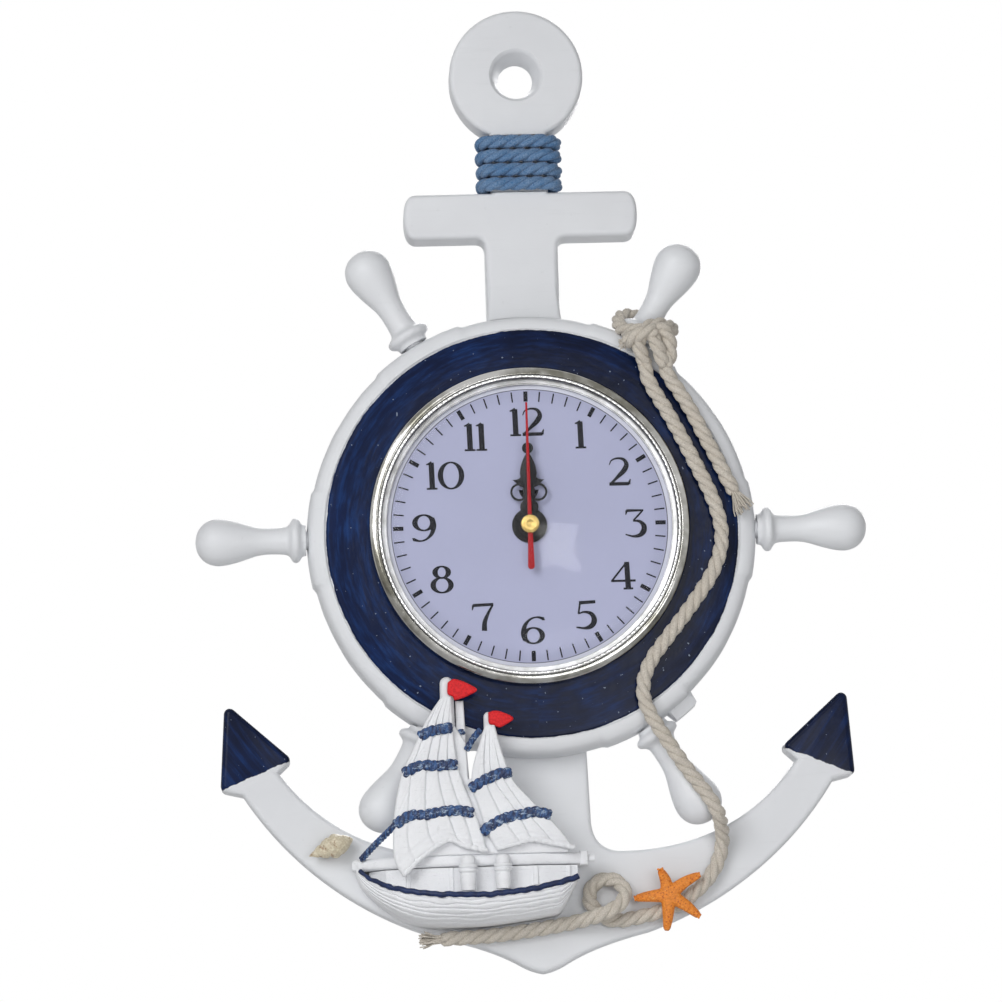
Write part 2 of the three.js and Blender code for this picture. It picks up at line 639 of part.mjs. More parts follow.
// The loosened end of a rope: a cone that opens from the last point of its run.
function frayed(list, spread) {
  const [before, end] = vectors(list.slice(-2));
  const geometry = new THREE.CylinderGeometry(spread, ROPE_R * 0.8, FRAY, 8);
  const direction = end.clone().sub(before).normalize();
  const turn = new THREE.Quaternion().setFromUnitVectors(new THREE.Vector3(0, 1, 0), direction);
  geometry.applyQuaternion(turn);
  const centre = end.clone().addScaledVector(direction, FRAY / 2 - 1);
  geometry.translate(centre.x, centre.y, centre.z);
  return solid(geometry);
}

function innerRope() {
  return tube(vectors(INNER_RUN), ROPE_R, 8, 72).add(frayed(INNER_RUN, ROPE_R - 0.3));
}

function outerRope() {
  return tube(vectors(OUTER_RUN), ROPE_R, 8, 14).add(frayed(OUTER_RUN, ROPE_R));
}

function ropeKnot() {
  return tube(vectors(KNOT_RUN), KNOT_R, 10, 6);
}

function ropeCollar(clockAngle) {
  const geometry = new THREE.TorusGeometry(HANDLE_NECK_R + 0.3 + SEAT_GAP + ROPE_R, ROPE_R, 8, 16);
  geometry.rotateX(Math.PI / 2);
  geometry.translate(0, WHEEL_BLOCK_R + SEAT_GAP + COLLAR_STATION, 0);
  return spoke(geometry, clockAngle);
}

// Clock insert, about its own axis

function bezel() {
  const front = BEZEL_BACK - BEZEL_RISE;
  const shoulder = DIAL_FRONT - SEAT_GAP - 1.0;
  return ring(
    [
      [DIAL_R + 0.5, BEZEL_BACK],
      [BEZEL_R, BEZEL_BACK],
      [BEZEL_R, front + 1.6],
      [BEZEL_R - 1.0, front + 0.5],
      [BEZEL_R - 2.3, front + 0.7],
      [BEZEL_R - 3.4, front],
      [LENS_R + SEAT_GAP, front + 1.0],
      [LENS_R + SEAT_GAP, shoulder],
      [SIGHT_R, shoulder],
      [SIGHT_R, DIAL_FRONT - SEAT_GAP],
      [DIAL_R + 0.5, DIAL_FRONT - SEAT_GAP],
    ],
    INSERT_SIDES,
  );
}

function lens() {
  const foot = DIAL_FRONT - 2 * SEAT_GAP - 1.0;
  const apex = DIAL_FRONT - LENS_APEX;
  const dome = (r, y) => [r, y + (r * r) / (2 * LENS_DOME_R)];
  return turned(
    [
      dome(0, apex),
      dome(LENS_R * 0.6, apex),
      dome(LENS_R - 4.5, apex),
      [LENS_R - 1.9, foot - 2.9],
      [LENS_R, foot - 1.2],
      [LENS_R, foot],
      [LENS_R - 1.3, foot],
      [LENS_R - 1.6, foot - 1.2],
      [LENS_R - 2.8, foot - 2.0],
      dome(LENS_R - 5.0, apex + LENS_T),
      dome(LENS_R * 0.6, apex + LENS_T),
      dome(0, apex + LENS_T),
    ],
    INSERT_SIDES,
  );
}

function dial() {
  const disc = drum(DIAL_R, DIAL_BACK, DIAL_FRONT, 0, 0, INSERT_SIDES);
  return disc.subtract(drum(BUSH_R + SEAT_GAP, 0, PAST_FRONT));
}

function pan() {
  const back = PAN_FRONT + PAN_DEPTH;
  const profile = [
    [BUSH_R + SEAT_GAP, PAN_FRONT],
    [PAN_R, PAN_FRONT],
    [PAN_R, back],
    [PAN_R - PAN_T, back],
    [PAN_R - PAN_T, PAN_FRONT + PAN_T],
    [BUSH_R + SEAT_GAP, PAN_FRONT + PAN_T],
  ];
  return ring(profile, INSERT_SIDES);
}

function gripBand() {
  const inner = PAN_R + BAND_GAP;
  const front = PAN_FRONT + 1.5;
  const outer = inner + BAND_T;
  const back = front + BAND_WIDTH;
  return ring([[inner, front], [outer, front], [outer, back], [inner, back]], INSERT_SIDES);
}

function washer() {
  const back = WASHER_FRONT + WASHER_T;
  return drum(BUSH_R + 2.4, back, WASHER_FRONT, 0, 0, 24).subtract(drum(BUSH_R + SLEEVE_GAP, 0, PAST_FRONT));
}

function nut() {
  const cornerR = NUT_FLATS / 2 / Math.cos(Math.PI / 6);
  const body = drum(cornerR, NUT_FRONT + NUT_T, NUT_FRONT, 0, 0, 6);
  return body.subtract(drum(BUSH_R + SLEEVE_GAP, 0, PAST_FRONT));
}

// Hands

function circlePath(radius, x, z) {
  const path = new THREE.Path();
  path.absarc(x, z, radius, 0, 2 * Math.PI, true);
  return path;
}

function blade(points, holes = []) {
  const shape = outline(points);
  shape.holes.push(...holes);
  return shape;
}

function mirrored(right) {
  return [...right, ...right.map(([x, z]) => [-x, z]).reverse()];
}

// Short ornate hand: a beaded stem, a ring on each side, a crescent and two spikes.
function hourHand() {
  const back = HOUR_HAND_BACK;
  const front = back - HAND_T;
  const disc = (r, x, z, sides = 12) => drum(r, back, front, x, z, sides);
  const stem = mirrored([[1.3, 0], [1.3, 3.5], [2.9, 4.6], [3.1, 6.6], [2.0, 8.2], [1.5, 9.6], [1.2, 14.0]]);
  const tip = mirrored([[1.4, 12.5], [3.2, 13.2], [5.2, 15.6], [2.7, 16.2], [2.0, 18.0], [0.9, HOUR_REACH]]);
  let hand = joined(disc(4.0, 0, 0, 16), plate(outline(stem), back, front), plate(outline(tip), back, front));
  for (const side of [-1, 1]) {
    hand = hand.add(disc(3.1, side * 3.2, 11.2).subtract(disc(2.2, side * 3.2, 11.2)));
  }
  return hand.subtract(drum(HOUR_TUBE_R + SLEEVE_GAP, 0, PAST_FRONT, 0, 0, 20));
}

// Long ornate hand: a narrow stem, a bell, a ball and a thin needle.
function minuteHand() {
  const back = MINUTE_HAND_BACK;
  const front = back - HAND_T;
  const blades = mirrored([
    [1.0, 0], [1.0, 9.0], [1.6, 13.0], [2.4, 17.6], [2.7, 20.0], [2.5, 22.6], [1.4, 23.8], [0.9, 24.4],
    [0.5, 25.0], [0.5, 28.0], [0.25, MINUTE_REACH],
  ]);
  const slot = mirrored([[0.9, 17.2], [0.8, 18.8]]);
  const hub = drum(4.3, back, front, 0, 0, 18);
  const ball = drum(1.9, back, front, 0, 26.2, 14);
  const made = joined(hub, plate(outline(blades), back, front), ball);
  const bore = drum(MINUTE_TUBE_R + SLEEVE_GAP, 0, PAST_FRONT);
  return made.subtract(plate(outline(slot), 0, PAST_FRONT)).subtract(bore);
}

function secondHand() {
  const back = SECOND_HAND_BACK;
  const front = back - HAND_T;
  const tailEnd = -SECOND_TAIL + SECOND_TAIL_HALF;
  const blades = mirrored([
    [SECOND_TAIL_HALF, tailEnd],
    [0.75, 0],
    [0.6, 8],
    [SECOND_TIP_HALF, SECOND_REACH],
  ]);
  const made = joined(
    drum(2.2, back, front, 0, 0, 16),
    plate(outline(blades), back, front),
    drum(SECOND_TAIL_HALF, back, front, 0, tailEnd, 12),
  );
  return made.subtract(drum(SECOND_ARBOR_R + SLEEVE_GAP, 0, PAST_FRONT, 0, 0, 12));
}

function handCap() {
  const front = CAP_BACK - CAP_T;
  const profile = [
    [0, CAP_BACK],
    [CAP_R, CAP_BACK],
    [CAP_R, CAP_BACK - 0.3],
    [CAP_R * 0.8, front + 0.25],
    [CAP_R * 0.45, front],
    [CAP_R * 0.3, front + 0.2],
    [0, front + 0.25],
  ];
  return turned(profile, 14);
}

// Movement

const CASE_HALF = CASE_SIZE / 2;
const CASE_ROOM = CASE_HALF - CASE_WALL;
const BATTERY_Z = -CASE_ROOM + SEAT_GAP + BATTERY_R;
const BATTERY_Y = CASE_INNER + SEAT_GAP + BATTERY_R;
const BAY_WALL_Z = BATTERY_Z + BATTERY_R + SEAT_GAP;

// Front and back planes of the nth gear layer behind the case's front wall.
function layer(n) {
  const front = CASE_INNER + SEAT_GAP + LAYER_STEP * (n - 1);
  return [front + WHEEL_WIDTH, front];
}

// A gear pair's module from its teeth and the distance between its centres.
function moduleOf(teethA, teethB, centres) {
  return (2 * centres) / (teethA + teethB);
}

function gearShape(teeth, module, phase) {
  const tip = (module * teeth) / 2 + 0.7 * module;
  const root = (module * teeth) / 2 - 1.1 * module;
  const points = [];
  for (let i = 0; i < 2 * teeth; i += 1) {
    const angle = phase + (180 * i) / teeth;
    points.push(onCircle(i % 2 ? root : tip, angle));
  }
  return outline(points);
}

// Phase of gear B so that one of its gaps faces the tooth of gear A, seen along `direction`.
function meshPhase(direction, teethA, phaseA, teethB) {
  const pitchA = 360 / teethA;
  const share = ((((direction - phaseA) / pitchA) % 1) + 1) % 1;
  return direction + 180 - (0.5 - share) * (360 / teethB);
}

function gear(teeth, module, phase, planes, [x, z]) {
  return plate(gearShape(teeth, module, phase), ...planes).translate([x, 0, z]);
}

const MOTION_AT = onCircle(MOTION_CENTRES, MOTION_ANGLE);
const KNOB_AT = onCircle(MOTION_CENTRES, KNOB_ANGLE, ...MOTION_AT);
const THIRD_AT = onCircle(THIRD_CENTRES, THIRD_ANGLE);
const MIDDLE_AT = onCircle(MIDDLE_CENTRES, MIDDLE_ANGLE);
const ROTOR_AT = onCircle(ROTOR_CENTRES, ROTOR_ANGLE, ...MIDDLE_AT);
const AXIS = [0, 0];

const MOTION_MODULE = moduleOf(TEETH.cannon, TEETH.minuteWheel, MOTION_CENTRES);
const HOUR_MODULE = moduleOf(TEETH.minutePinion, TEETH.hourWheel, MOTION_CENTRES);
const THIRD_MODULE = moduleOf(TEETH.centreWheel, TEETH.thirdPinion, THIRD_CENTRES);
const SECOND_MODULE = moduleOf(TEETH.thirdWheel, TEETH.secondPinion, THIRD_CENTRES);
const MIDDLE_MODULE = moduleOf(TEETH.secondWheel, TEETH.middlePinion, MIDDLE_CENTRES);
const ROTOR_MODULE = moduleOf(TEETH.middleWheel, TEETH.rotorPinion, ROTOR_CENTRES);

const MOTION_PHASE = meshPhase(MOTION_ANGLE, TEETH.cannon, 0, TEETH.minuteWheel);
const HOUR_PHASE = meshPhase(MOTION_ANGLE + 180, TEETH.minutePinion, 0, TEETH.hourWheel);
const KNOB_PHASE = meshPhase(KNOB_ANGLE, TEETH.minuteWheel, MOTION_PHASE, TEETH.knobPinion);
const THIRD_PHASE = meshPhase(THIRD_ANGLE, TEETH.centreWheel, 0, TEETH.thirdPinion);
const SECOND_PHASE = meshPhase(THIRD_ANGLE + 180, TEETH.thirdWheel, 0, TEETH.secondPinion);
const MIDDLE_PHASE = meshPhase(MIDDLE_ANGLE, TEETH.secondWheel, 0, TEETH.middlePinion);
const ROTOR_PHASE = meshPhase(ROTOR_ANGLE, TEETH.middleWheel, 0, TEETH.rotorPinion);

function movementCase() {
  const wallBack = COVER_INNER - SEAT_GAP;
  const outer = box(-CASE_HALF, CASE_HALF, CASE_FRONT, wallBack, -CASE_HALF, CASE_HALF);
  const upper = box(-CASE_ROOM, CASE_ROOM, CASE_INNER, 0, BAY_WALL_Z + CASE_WALL, CASE_ROOM);
  const bay = box(-CASE_ROOM, CASE_ROOM, CASE_INNER, 0, -CASE_ROOM, BAY_WALL_Z);
  const bush = drum(BUSH_R, CASE_FRONT + 0.5, BUSH_FRONT, 0, 0, 24);
  const bore = drum(HOUR_TUBE_R + RUN_GAP, 0, PAST_FRONT, 0, 0, 24);
  const post = drum(POST_PIN_R, layer(2)[0], CASE_INNER - 0.5, ...MOTION_AT, 12);
  return joined(outer.subtract(upper).subtract(bay), bush).subtract(bore).add(post);
}

function movementCover() {
  const lid = box(-CASE_HALF, CASE_HALF, COVER_INNER, COVER_BACK, BAY_WALL_Z, CASE_HALF);
  return lid.subtract(drum(KNOB_SHAFT_R + SEAT_GAP, 1, PAST_FRONT, ...KNOB_AT, 16));
}

function hourWheel() {
  const [back, front] = layer(1);
  const wheel = gear(TEETH.hourWheel, HOUR_MODULE, HOUR_PHASE, [back, front], AXIS);
  const tubeBody = drum(HOUR_TUBE_R, back, HOUR_HAND_BACK - HAND_T, 0, 0, 20);
  return wheel.add(tubeBody).subtract(drum(HOUR_TUBE_BORE, 0, PAST_FRONT, 0, 0, 20));
}

function minuteWheel() {
  const wheel = gear(TEETH.minuteWheel, MOTION_MODULE, MOTION_PHASE, layer(2), MOTION_AT);
  const pinion = gear(TEETH.minutePinion, HOUR_MODULE, 0, [layer(2)[0], layer(1)[1]], MOTION_AT);
  return wheel.add(pinion).subtract(drum(POST_PIN_R + RUN_GAP, 0, PAST_FRONT, ...MOTION_AT, 12));
}

function centreWheel() {
  const wheel = gear(TEETH.centreWheel, THIRD_MODULE, 0, layer(3), AXIS);
  const cannon = gear(TEETH.cannon, MOTION_MODULE, 0, [layer(3)[0], layer(2)[1]], AXIS);
  const tubeBody = drum(MINUTE_TUBE_R, layer(3)[0], MINUTE_HAND_BACK - HAND_T, 0, 0, 16);
  return joined(wheel, cannon, tubeBody).subtract(drum(MINUTE_TUBE_BORE, 0, PAST_FRONT, 0, 0, 16));
}

function arbor([x, z]) {
  return drum(ARBOR_R, COVER_INNER - SEAT_GAP, CASE_INNER + SEAT_GAP, x, z, 10);
}

function thirdWheel() {
  const wheel = gear(TEETH.thirdWheel, SECOND_MODULE, 0, layer(4), THIRD_AT);
  const pinion = gear(TEETH.thirdPinion, THIRD_MODULE, THIRD_PHASE, [layer(4)[0], layer(3)[1]], THIRD_AT);
  return joined(wheel, pinion, arbor(THIRD_AT));
}

function secondWheel() {
  const wheel = gear(TEETH.secondWheel, MIDDLE_MODULE, 0, layer(5), AXIS);
  const pinion = gear(TEETH.secondPinion, SECOND_MODULE, SECOND_PHASE, [layer(5)[0], layer(4)[1]], AXIS);
  return joined(wheel, pinion, drum(SECOND_ARBOR_R, COVER_INNER - SEAT_GAP, CAP_BACK + SEAT_GAP, 0, 0, 12));
}

function middleWheel() {
  const wheel = gear(TEETH.middleWheel, ROTOR_MODULE, 0, layer(6), MIDDLE_AT);
  const pinion = gear(TEETH.middlePinion, MIDDLE_MODULE, MIDDLE_PHASE, [layer(6)[0], layer(5)[1]], MIDDLE_AT);
  return joined(wheel, pinion, arbor(MIDDLE_AT));
}

function rotor() {
  const pinion = gear(TEETH.rotorPinion, ROTOR_MODULE, ROTOR_PHASE, layer(6), ROTOR_AT);
  const magnet = drum(ROTOR_R, layer(7)[1] + ROTOR_T, layer(7)[1], ...ROTOR_AT, 20);
  return joined(pinion, magnet, arbor(ROTOR_AT));
}

const COIL_Z = CASE_ROOM - SEAT_GAP - COIL_R;
const STATOR_TOP = COIL_Z - COIL_R - SEAT_GAP;

function stator() {
  const inner = STATOR_HALF - STATOR_LUG;
  const lugTop = COIL_Z + 1.5;
  const shape = outline([
    [-STATOR_HALF, STATOR_TOP - STATOR_BAR], [STATOR_HALF, STATOR_TOP - STATOR_BAR], [STATOR_HALF, lugTop],
    [inner, lugTop], [inner, STATOR_TOP], [-inner, STATOR_TOP], [-inner, lugTop], [-STATOR_HALF, lugTop],
  ]);
  const front = layer(7)[1] + 0.2;
  return plate(shape, front + STATOR_T, front).subtract(drum(ROTOR_R + 0.5, 0, PAST_FRONT, ...ROTOR_AT, 24));
}

function coil() {
  const length = 2 * (STATOR_HALF - STATOR_LUG - SEAT_GAP);
  const profile = [
    [0, -length / 2], [COIL_R, -length / 2], [COIL_R, -length / 2 + 1], [COIL_R - 0.5, -length / 2 + 1],
    [COIL_R - 0.5, length / 2 - 1], [COIL_R, length / 2 - 1], [COIL_R, length / 2], [0, length / 2],
  ].map(([r, s]) => new THREE.Vector2(r, s));
  const geometry = new THREE.LatheGeometry(profile, 12);
  geometry.rotateZ(Math.PI / 2);
  geometry.translate(0, layer(7)[1] + 0.6, COIL_Z);
  return geometry;
}

function circuitBoard() {
  const left = -CASE_ROOM + SEAT_GAP;
  const bottom = BAY_WALL_Z + CASE_WALL + SEAT_GAP;
  const back = COVER_INNER - SEAT_GAP;
  return box(left, left + BOARD_SIZE[0], back - BOARD_T, back, bottom, bottom + BOARD_SIZE[1]);
}

function crystal() {
  const geometry = new THREE.CylinderGeometry(CRYSTAL_R, CRYSTAL_R, CRYSTAL_LENGTH, 12);
  geometry.rotateX(Math.PI / 2);
  const boardFront = COVER_INNER - SEAT_GAP - BOARD_T;
  geometry.translate(-CASE_ROOM + 6, boardFront - SEAT_GAP - CRYSTAL_R, BAY_WALL_Z + 9);
  return geometry;
}

function setKnob() {
  const back = COVER_BACK + SEAT_GAP + KNOB_T;
  const knurl = new THREE.Shape();
  for (let i = 0; i < 32; i += 1) {
    const [x, z] = onCircle(i % 2 ? KNOB_R : KNOB_R - 0.5, (360 * i) / 32);
    if (i) knurl.lineTo(x, z);
    else knurl.moveTo(x, z);
  }
  const head = plate(knurl, back, back - KNOB_T).translate([KNOB_AT[0], 0, KNOB_AT[1]]);
  const shaft = drum(KNOB_SHAFT_R, back - 1, CASE_INNER + SEAT_GAP, ...KNOB_AT, 12);
  return joined(head, shaft, gear(TEETH.knobPinion, MOTION_MODULE, KNOB_PHASE, layer(2), KNOB_AT));
}

function battery() {
  const half = BATTERY_LENGTH / 2;
  const profile = [
    [0, -half], [BATTERY_R - 0.5, -half], [BATTERY_R, -half + 0.5], [BATTERY_R, half - 0.5],
    [BATTERY_R - 0.5, half], [BATTERY_NUB_R, half], [BATTERY_NUB_R, half + BATTERY_NUB],
    [0, half + BATTERY_NUB],
  ].map(([r, s]) => new THREE.Vector2(r, s));
  const geometry = new THREE.LatheGeometry(profile, 16);
  geometry.rotateZ(-Math.PI / 2);
  geometry.translate(-0.4, BATTERY_Y, BATTERY_Z);
  return geometry;
}

function positiveContact() {
  const face = -0.4 + BATTERY_LENGTH / 2 + BATTERY_NUB + SEAT_GAP;
  return box(face, CASE_ROOM - SEAT_GAP, BATTERY_Y - 5, BATTERY_Y + 4, BATTERY_Z - 4, BATTERY_Z + 4);
}

function negativeContact() {
  const face = -0.4 - BATTERY_LENGTH / 2 - SEAT_GAP;
  const left = -CASE_ROOM + SEAT_GAP;
  const leaf = box(left, left + CONTACT_T, BATTERY_Y - 5, BATTERY_Y + 4, BATTERY_Z - 5, BATTERY_Z + 5);
  const cone = new THREE.CylinderGeometry(3.4, 2.0, face - left - 0.1, 12);
  cone.rotateZ(Math.PI / 2);
  cone.translate((face + left + 0.1) / 2, BATTERY_Y, BATTERY_Z);
  return leaf.add(solid(cone));
}

// Boat

const HULL_BACK = -ANCHOR_T - SEAT_GAP;
const DECK_FRONT = HULL_BACK - DECK_DEPTH;
const MAST_BACK = BEZEL_BACK - SEAT_GAP;
const SAIL_BACK = MAST_BACK - 2 * LEFT_MAST_R - SEAT_GAP;

// Stations along the hull: [x, height of the sheer line, height of the keel, share of the full depth].
const HULL_STATIONS = [
  [BOAT_LEFT, -109.8, -111.6, 0.26],
  [-61.9, -112.0, -116.4, 0.36],
  [-60.4, -113.9, -118.9, 0.43],
  [-55.0, -117.2, -123.9, 0.62],
  [-45.0, -120.5, -128.8, 0.87],
  [-32.0, -121.9, -132.0, 1.0],
  [-20.0, -122.2, -132.3, 1.0],
  [-8.0, -121.2, -130.9, 0.95],
  [2.0, -119.4, -129.0, 0.87],
  [BOAT_RIGHT - 2.5, -116.8, -122.6, 0.8],
];

function sheerAt(x) {
  const after = HULL_STATIONS.findIndex((station) => station[0] >= x);
  const [a, b] = [HULL_STATIONS[after - 1], HULL_STATIONS[after]];
  return a[1] + ((b[1] - a[1]) * (x - a[0])) / (b[0] - a[0]);
}

function boatHull() {
  const rings = HULL_STATIONS.map(([x, sheer, keel, share]) => {
    const depth = HULL_DEPTH * share;
    const height = sheer - keel;
    const at = (reach, drop) => new THREE.Vector3(x, HULL_BACK - depth * reach, sheer - height * drop);
    return [at(0, 0), at(1, 0), at(0.99, 0.25), at(0.88, 0.6), at(0.6, 0.88), at(0, 1)];
  });
  return loft(rings);
}

// Plan of the deck, seen from above, as [x, y].
function deckPlan(left, inset) {
  return [
    [left, HULL_BACK],
    [BOAT_RIGHT, HULL_BACK],
    [BOAT_RIGHT, DECK_FRONT + 3 + inset],
    [0, DECK_FRONT + inset],
    [-36, DECK_FRONT + inset],
    [-53, DECK_FRONT + 4.5 + inset],
    [left, HULL_BACK - 6 + inset],
  ];
}

function standing(points, bottom, top) {
  const geometry = new THREE.ExtrudeGeometry(outline(points), { depth: top - bottom, bevelEnabled: false });
  geometry.translate(0, 0, bottom);
  return solid(geometry);
}

// The rail's right end carries a short stub.
function boatRail() {
  const front = DECK_FRONT + 4;
  const end = BOAT_RIGHT + STUB_LENGTH;
  const stub = box(BOAT_RIGHT - 1, end, front, front + STUB_T, RAIL_TOP - 0.8 - STUB_T, RAIL_TOP - 0.8);
  return standing(deckPlan(RAIL_LEFT, 0), RAIL_BOTTOM, RAIL_TOP).add(stub);
}

// The deck house fills the room between the hull's sheer line and the rail.
function boatDeck() {
  const top = RAIL_BOTTOM - SEAT_GAP;
  const left = RAIL_LEFT + 1.2;
  const right = BOAT_RIGHT - 2.5;
  const inside = HULL_STATIONS.map((station) => station[0]).filter((x) => x > left && x < right);
  const aboveSheer = [left, ...inside, right].map((x) => [x, sheerAt(x) + SEAT_GAP]);
  const side = outline([...aboveSheer, [right, top], [left, top]]);
  return standing(deckPlan(left, 0.6), RAIL_BOTTOM - 12, top).intersect(plate(side, 0, PAST_FRONT));
}

function mast(x, radius, top) {
  const bottom = RAIL_TOP + SEAT_GAP;
  const geometry = new THREE.CylinderGeometry(radius * 0.9, radius, top - bottom, 10);
  geometry.rotateX(Math.PI / 2);
  geometry.translate(x, MAST_BACK - radius, (top + bottom) / 2);
  return solid(geometry);
}

function sail(points) {
  return plate(outline(points), SAIL_BACK, SAIL_BACK - SAIL_T, 0.6);
}

const LEFT_SAIL = [
  [-33.0, -56.5], [-37.0, -62.1], [-39.4, -66.4], [-43.1, -74.1], [-46.7, -81.7],
  [-49.3, -92.3], [-50.2, -101.5], [-50.0, -110.8], [-47.2, -116.4], [-41.8, -111.2],
  [-36.5, -107.2], [-31.0, -104.9], [-26.4, -107.0], [-18.8, -108.8], [-20.3, -102.2],
  [-24.1, -91.2], [-27.3, -82.0], [-28.6, -74.5], [-29.2, -66.0], [-29.4, -56.5],
];
const RIGHT_SAIL = [
  [-18.6, -66.4], [-20.6, -72.5], [-23.0, -80.3], [-23.5, -86.7], [-21.4, -94.0],
  [-19.1, -101.5], [-15.9, -108.3], [-9.5, -106.8], [-4.0, -105.6], [2.1, -106.7],
  [10.4, -108.6], [5.5, -101.8], [-2.2, -93.4], [-9.4, -85.0], [-12.2, -77.9],
  [-15.2, -66.4],
];

const LEFT_PENNANT = [
  [-30.6, -51.6], [-28.9, -50.6], [-24.6, -51.4], [-20.6, -54.1],
  [-24.8, -56.4], [-28.0, -57.3], [-28.4, -56.0], [-30.6, -55.4],
];
const RIGHT_PENNANT = [
  [-17.3, -61.6], [-13.2, -61.4], [-8.6, -63.9], [-13.4, -66.8], [-14.6, -66.0], [-16.7, -65.7],
];

const STAY_SAIL_EDGE = [[-25.4, -57.4], [-24.8, -72.0], [-24.0, -86.0], [-26.2, -90.0]];
const STAY_SAIL_TACK_Z = -84.0;
const STAY_SAIL_INSET = 0.6;
const STAY_SAIL_T = 2.6;

function staySail() {
  const left = LEFT_MAST_X + LEFT_MAST_R + SEAT_GAP;
  const back = MAST_BACK - STAY_SAIL_INSET;
  const luff = [[left, STAY_SAIL_EDGE[0][1]], [left, STAY_SAIL_TACK_Z]];
  return plate(outline([...luff, ...STAY_SAIL_EDGE.toReversed()]), back, back - STAY_SAIL_T);
}

// A small flag moulded on the front of its mast.
function pennant(points, mastR) {
  const back = MAST_BACK - 2 * mastR - SEAT_GAP;
  return plate(outline(points), back, back - PENNANT_T, 0.3);
}

function post(x) {
  const y = DECK_FRONT - SEAT_GAP - POST_R;
  const bottom = Math.max(sheerAt(x - POST_R), sheerAt(x + POST_R)) + SEAT_GAP;
  const top = RAIL_TOP - 0.4;
  const height = top - bottom;
  const profile = [
    [0, 0], [POST_R, 0], [POST_R, 0.45 * height], [POST_R - 0.6, 0.5 * height], [POST_R - 0.6, 0.6 * height],
    [POST_R, 0.65 * height], [POST_R, 0.85 * height], [POST_R - 0.9, height], [0, height],
  ].map(([r, s]) => new THREE.Vector2(r, s));
  const geometry = new THREE.LatheGeometry(profile, 12);
  geometry.rotateX(Math.PI / 2);
  geometry.translate(x, y, bottom);
  return geometry;
}

// Starfish and shell

const STAR_CENTRE = [42.0, -124.0];
const STAR_TIPS = [
  [53.9, -116.8],
  [39.2, -114.2],
  [29.7, -124.9],
  [40.9, -137.1],
  [53.2, -132.2],
];

// Five arms that fall away from a raised centre, lying across the rope.
function starfish() {
  const back = -ANCHOR_T - 2 * SEAT_GAP - 2 * ROPE_R;
  const [cx, cz] = STAR_CENTRE;
  const rim = [];
  STAR_TIPS.forEach((tip, i) => {
    const next = STAR_TIPS[(i + 1) % STAR_TIPS.length];
    const side = [(tip[0] + next[0]) / 2 - cx, (tip[1] + next[1]) / 2 - cz];
    const reach = 4.2 / Math.hypot(...side);
    const across = [-(tip[1] - cz), tip[0] - cx];
    const unit = 1.3 / Math.hypot(...across);
    rim.push([tip[0] - across[0] * unit, tip[1] - across[1] * unit]);
    rim.push([tip[0] + across[0] * unit, tip[1] + across[1] * unit]);
    rim.push([cx + side[0] * reach, cz + side[1] * reach]);
  });
  const scaled = (factor, y) =>
    rim.map(([x, z]) => new THREE.Vector3(cx + (x - cx) * factor, y, cz + (z - cz) * factor));
  const lower = scaled(1, back);
  const upper = scaled(0.97, back - STAR_T * 0.45);
  const crest = scaled(0.3, back - STAR_T);
  return loftStar([lower, upper, crest], [cx, cz], back);
}

// Like a loft, but its ends fan out from a middle point, because a star isn't convex.
function loftStar(rings, [cx, cz], back) {
  const positions = [];
  const push = (...corners) => corners.forEach((p) => positions.push(p.x, p.y, p.z));
  const count = rings[0].length;
  const last = rings[rings.length - 1];
  const under = new THREE.Vector3(cx, back, cz);
  const over = new THREE.Vector3(cx, last[0].y - 0.2, cz);
  for (let j = 0; j < count; j += 1) {
    const k = (j + 1) % count;
    for (let i = 0; i + 1 < rings.length; i += 1) {
      push(rings[i][j], rings[i + 1][j], rings[i + 1][k]);
      push(rings[i][j], rings[i + 1][k], rings[i][k]);
    }
    push(under, rings[0][j], rings[0][k]);
    push(over, last[k], last[j]);
  }
  const geometry = new THREE.BufferGeometry();
  geometry.setAttribute("position", new THREE.Float32BufferAttribute(positions, 3));
  return solid(geometry);
}

// A small whelk lying on the arm, its tip to the left. Its place follows the arms' outer arc.
const SHELL_FOOT = onCircle(ARM_OUTER_R - 2.93, -132.62, 0, ARM_OUTER_Z);
const SHELL_HEADING = [15, 5.5];

function shell() {
  const profile = [
    [0, 0], [0.8, 0.4], [1.9, 2.6], [2.9, 5.2], [SHELL_R, 8.6], [SHELL_R - 0.2, 10.4], [2.6, 13.2],
    [1.0, 15.4], [0, SHELL_LENGTH],
  ].map(([r, s]) => new THREE.Vector2(r, s));
  const geometry = new THREE.LatheGeometry(profile, 10);
  const direction = new THREE.Vector3(SHELL_HEADING[0], 0, SHELL_HEADING[1]).normalize();
  geometry.applyQuaternion(new THREE.Quaternion().setFromUnitVectors(new THREE.Vector3(0, 1, 0), direction));
  geometry.translate(SHELL_FOOT[0], -ANCHOR_T - SEAT_GAP - SHELL_R, SHELL_FOOT[1]);
  return geometry;
}

// Assembly

function anchorGroup() {
  const group = new THREE.Group();
  group.add(mesh("anchor_casting", anchorCasting(), whiteResin));
  group.add(mesh("wheel_casting", wheelCasting(), whiteResin));
  for (let i = 0; i < HANDLE_COUNT; i += 1) {
    group.add(mesh(`handle_${i + 1}`, handle(handleAngle(i)), whiteResin));
  }
  group.add(mesh("starfish", starfish(), orange));
  group.add(mesh("shell", shell(), shellCream));
  return group;
}

function cordGroup() {
  const group = new THREE.Group();
  group.add(mesh("neck_cord", neckCord(), blueCord));
  group.add(mesh("rope_collar", ropeCollar(handleAngle(0)), cream));
  group.add(mesh("rope_knot", ropeKnot(), cream));
  group.add(mesh("rope_long", innerRope(), cream));
  group.add(mesh("rope_short", outerRope(), cream));
  return group;
}

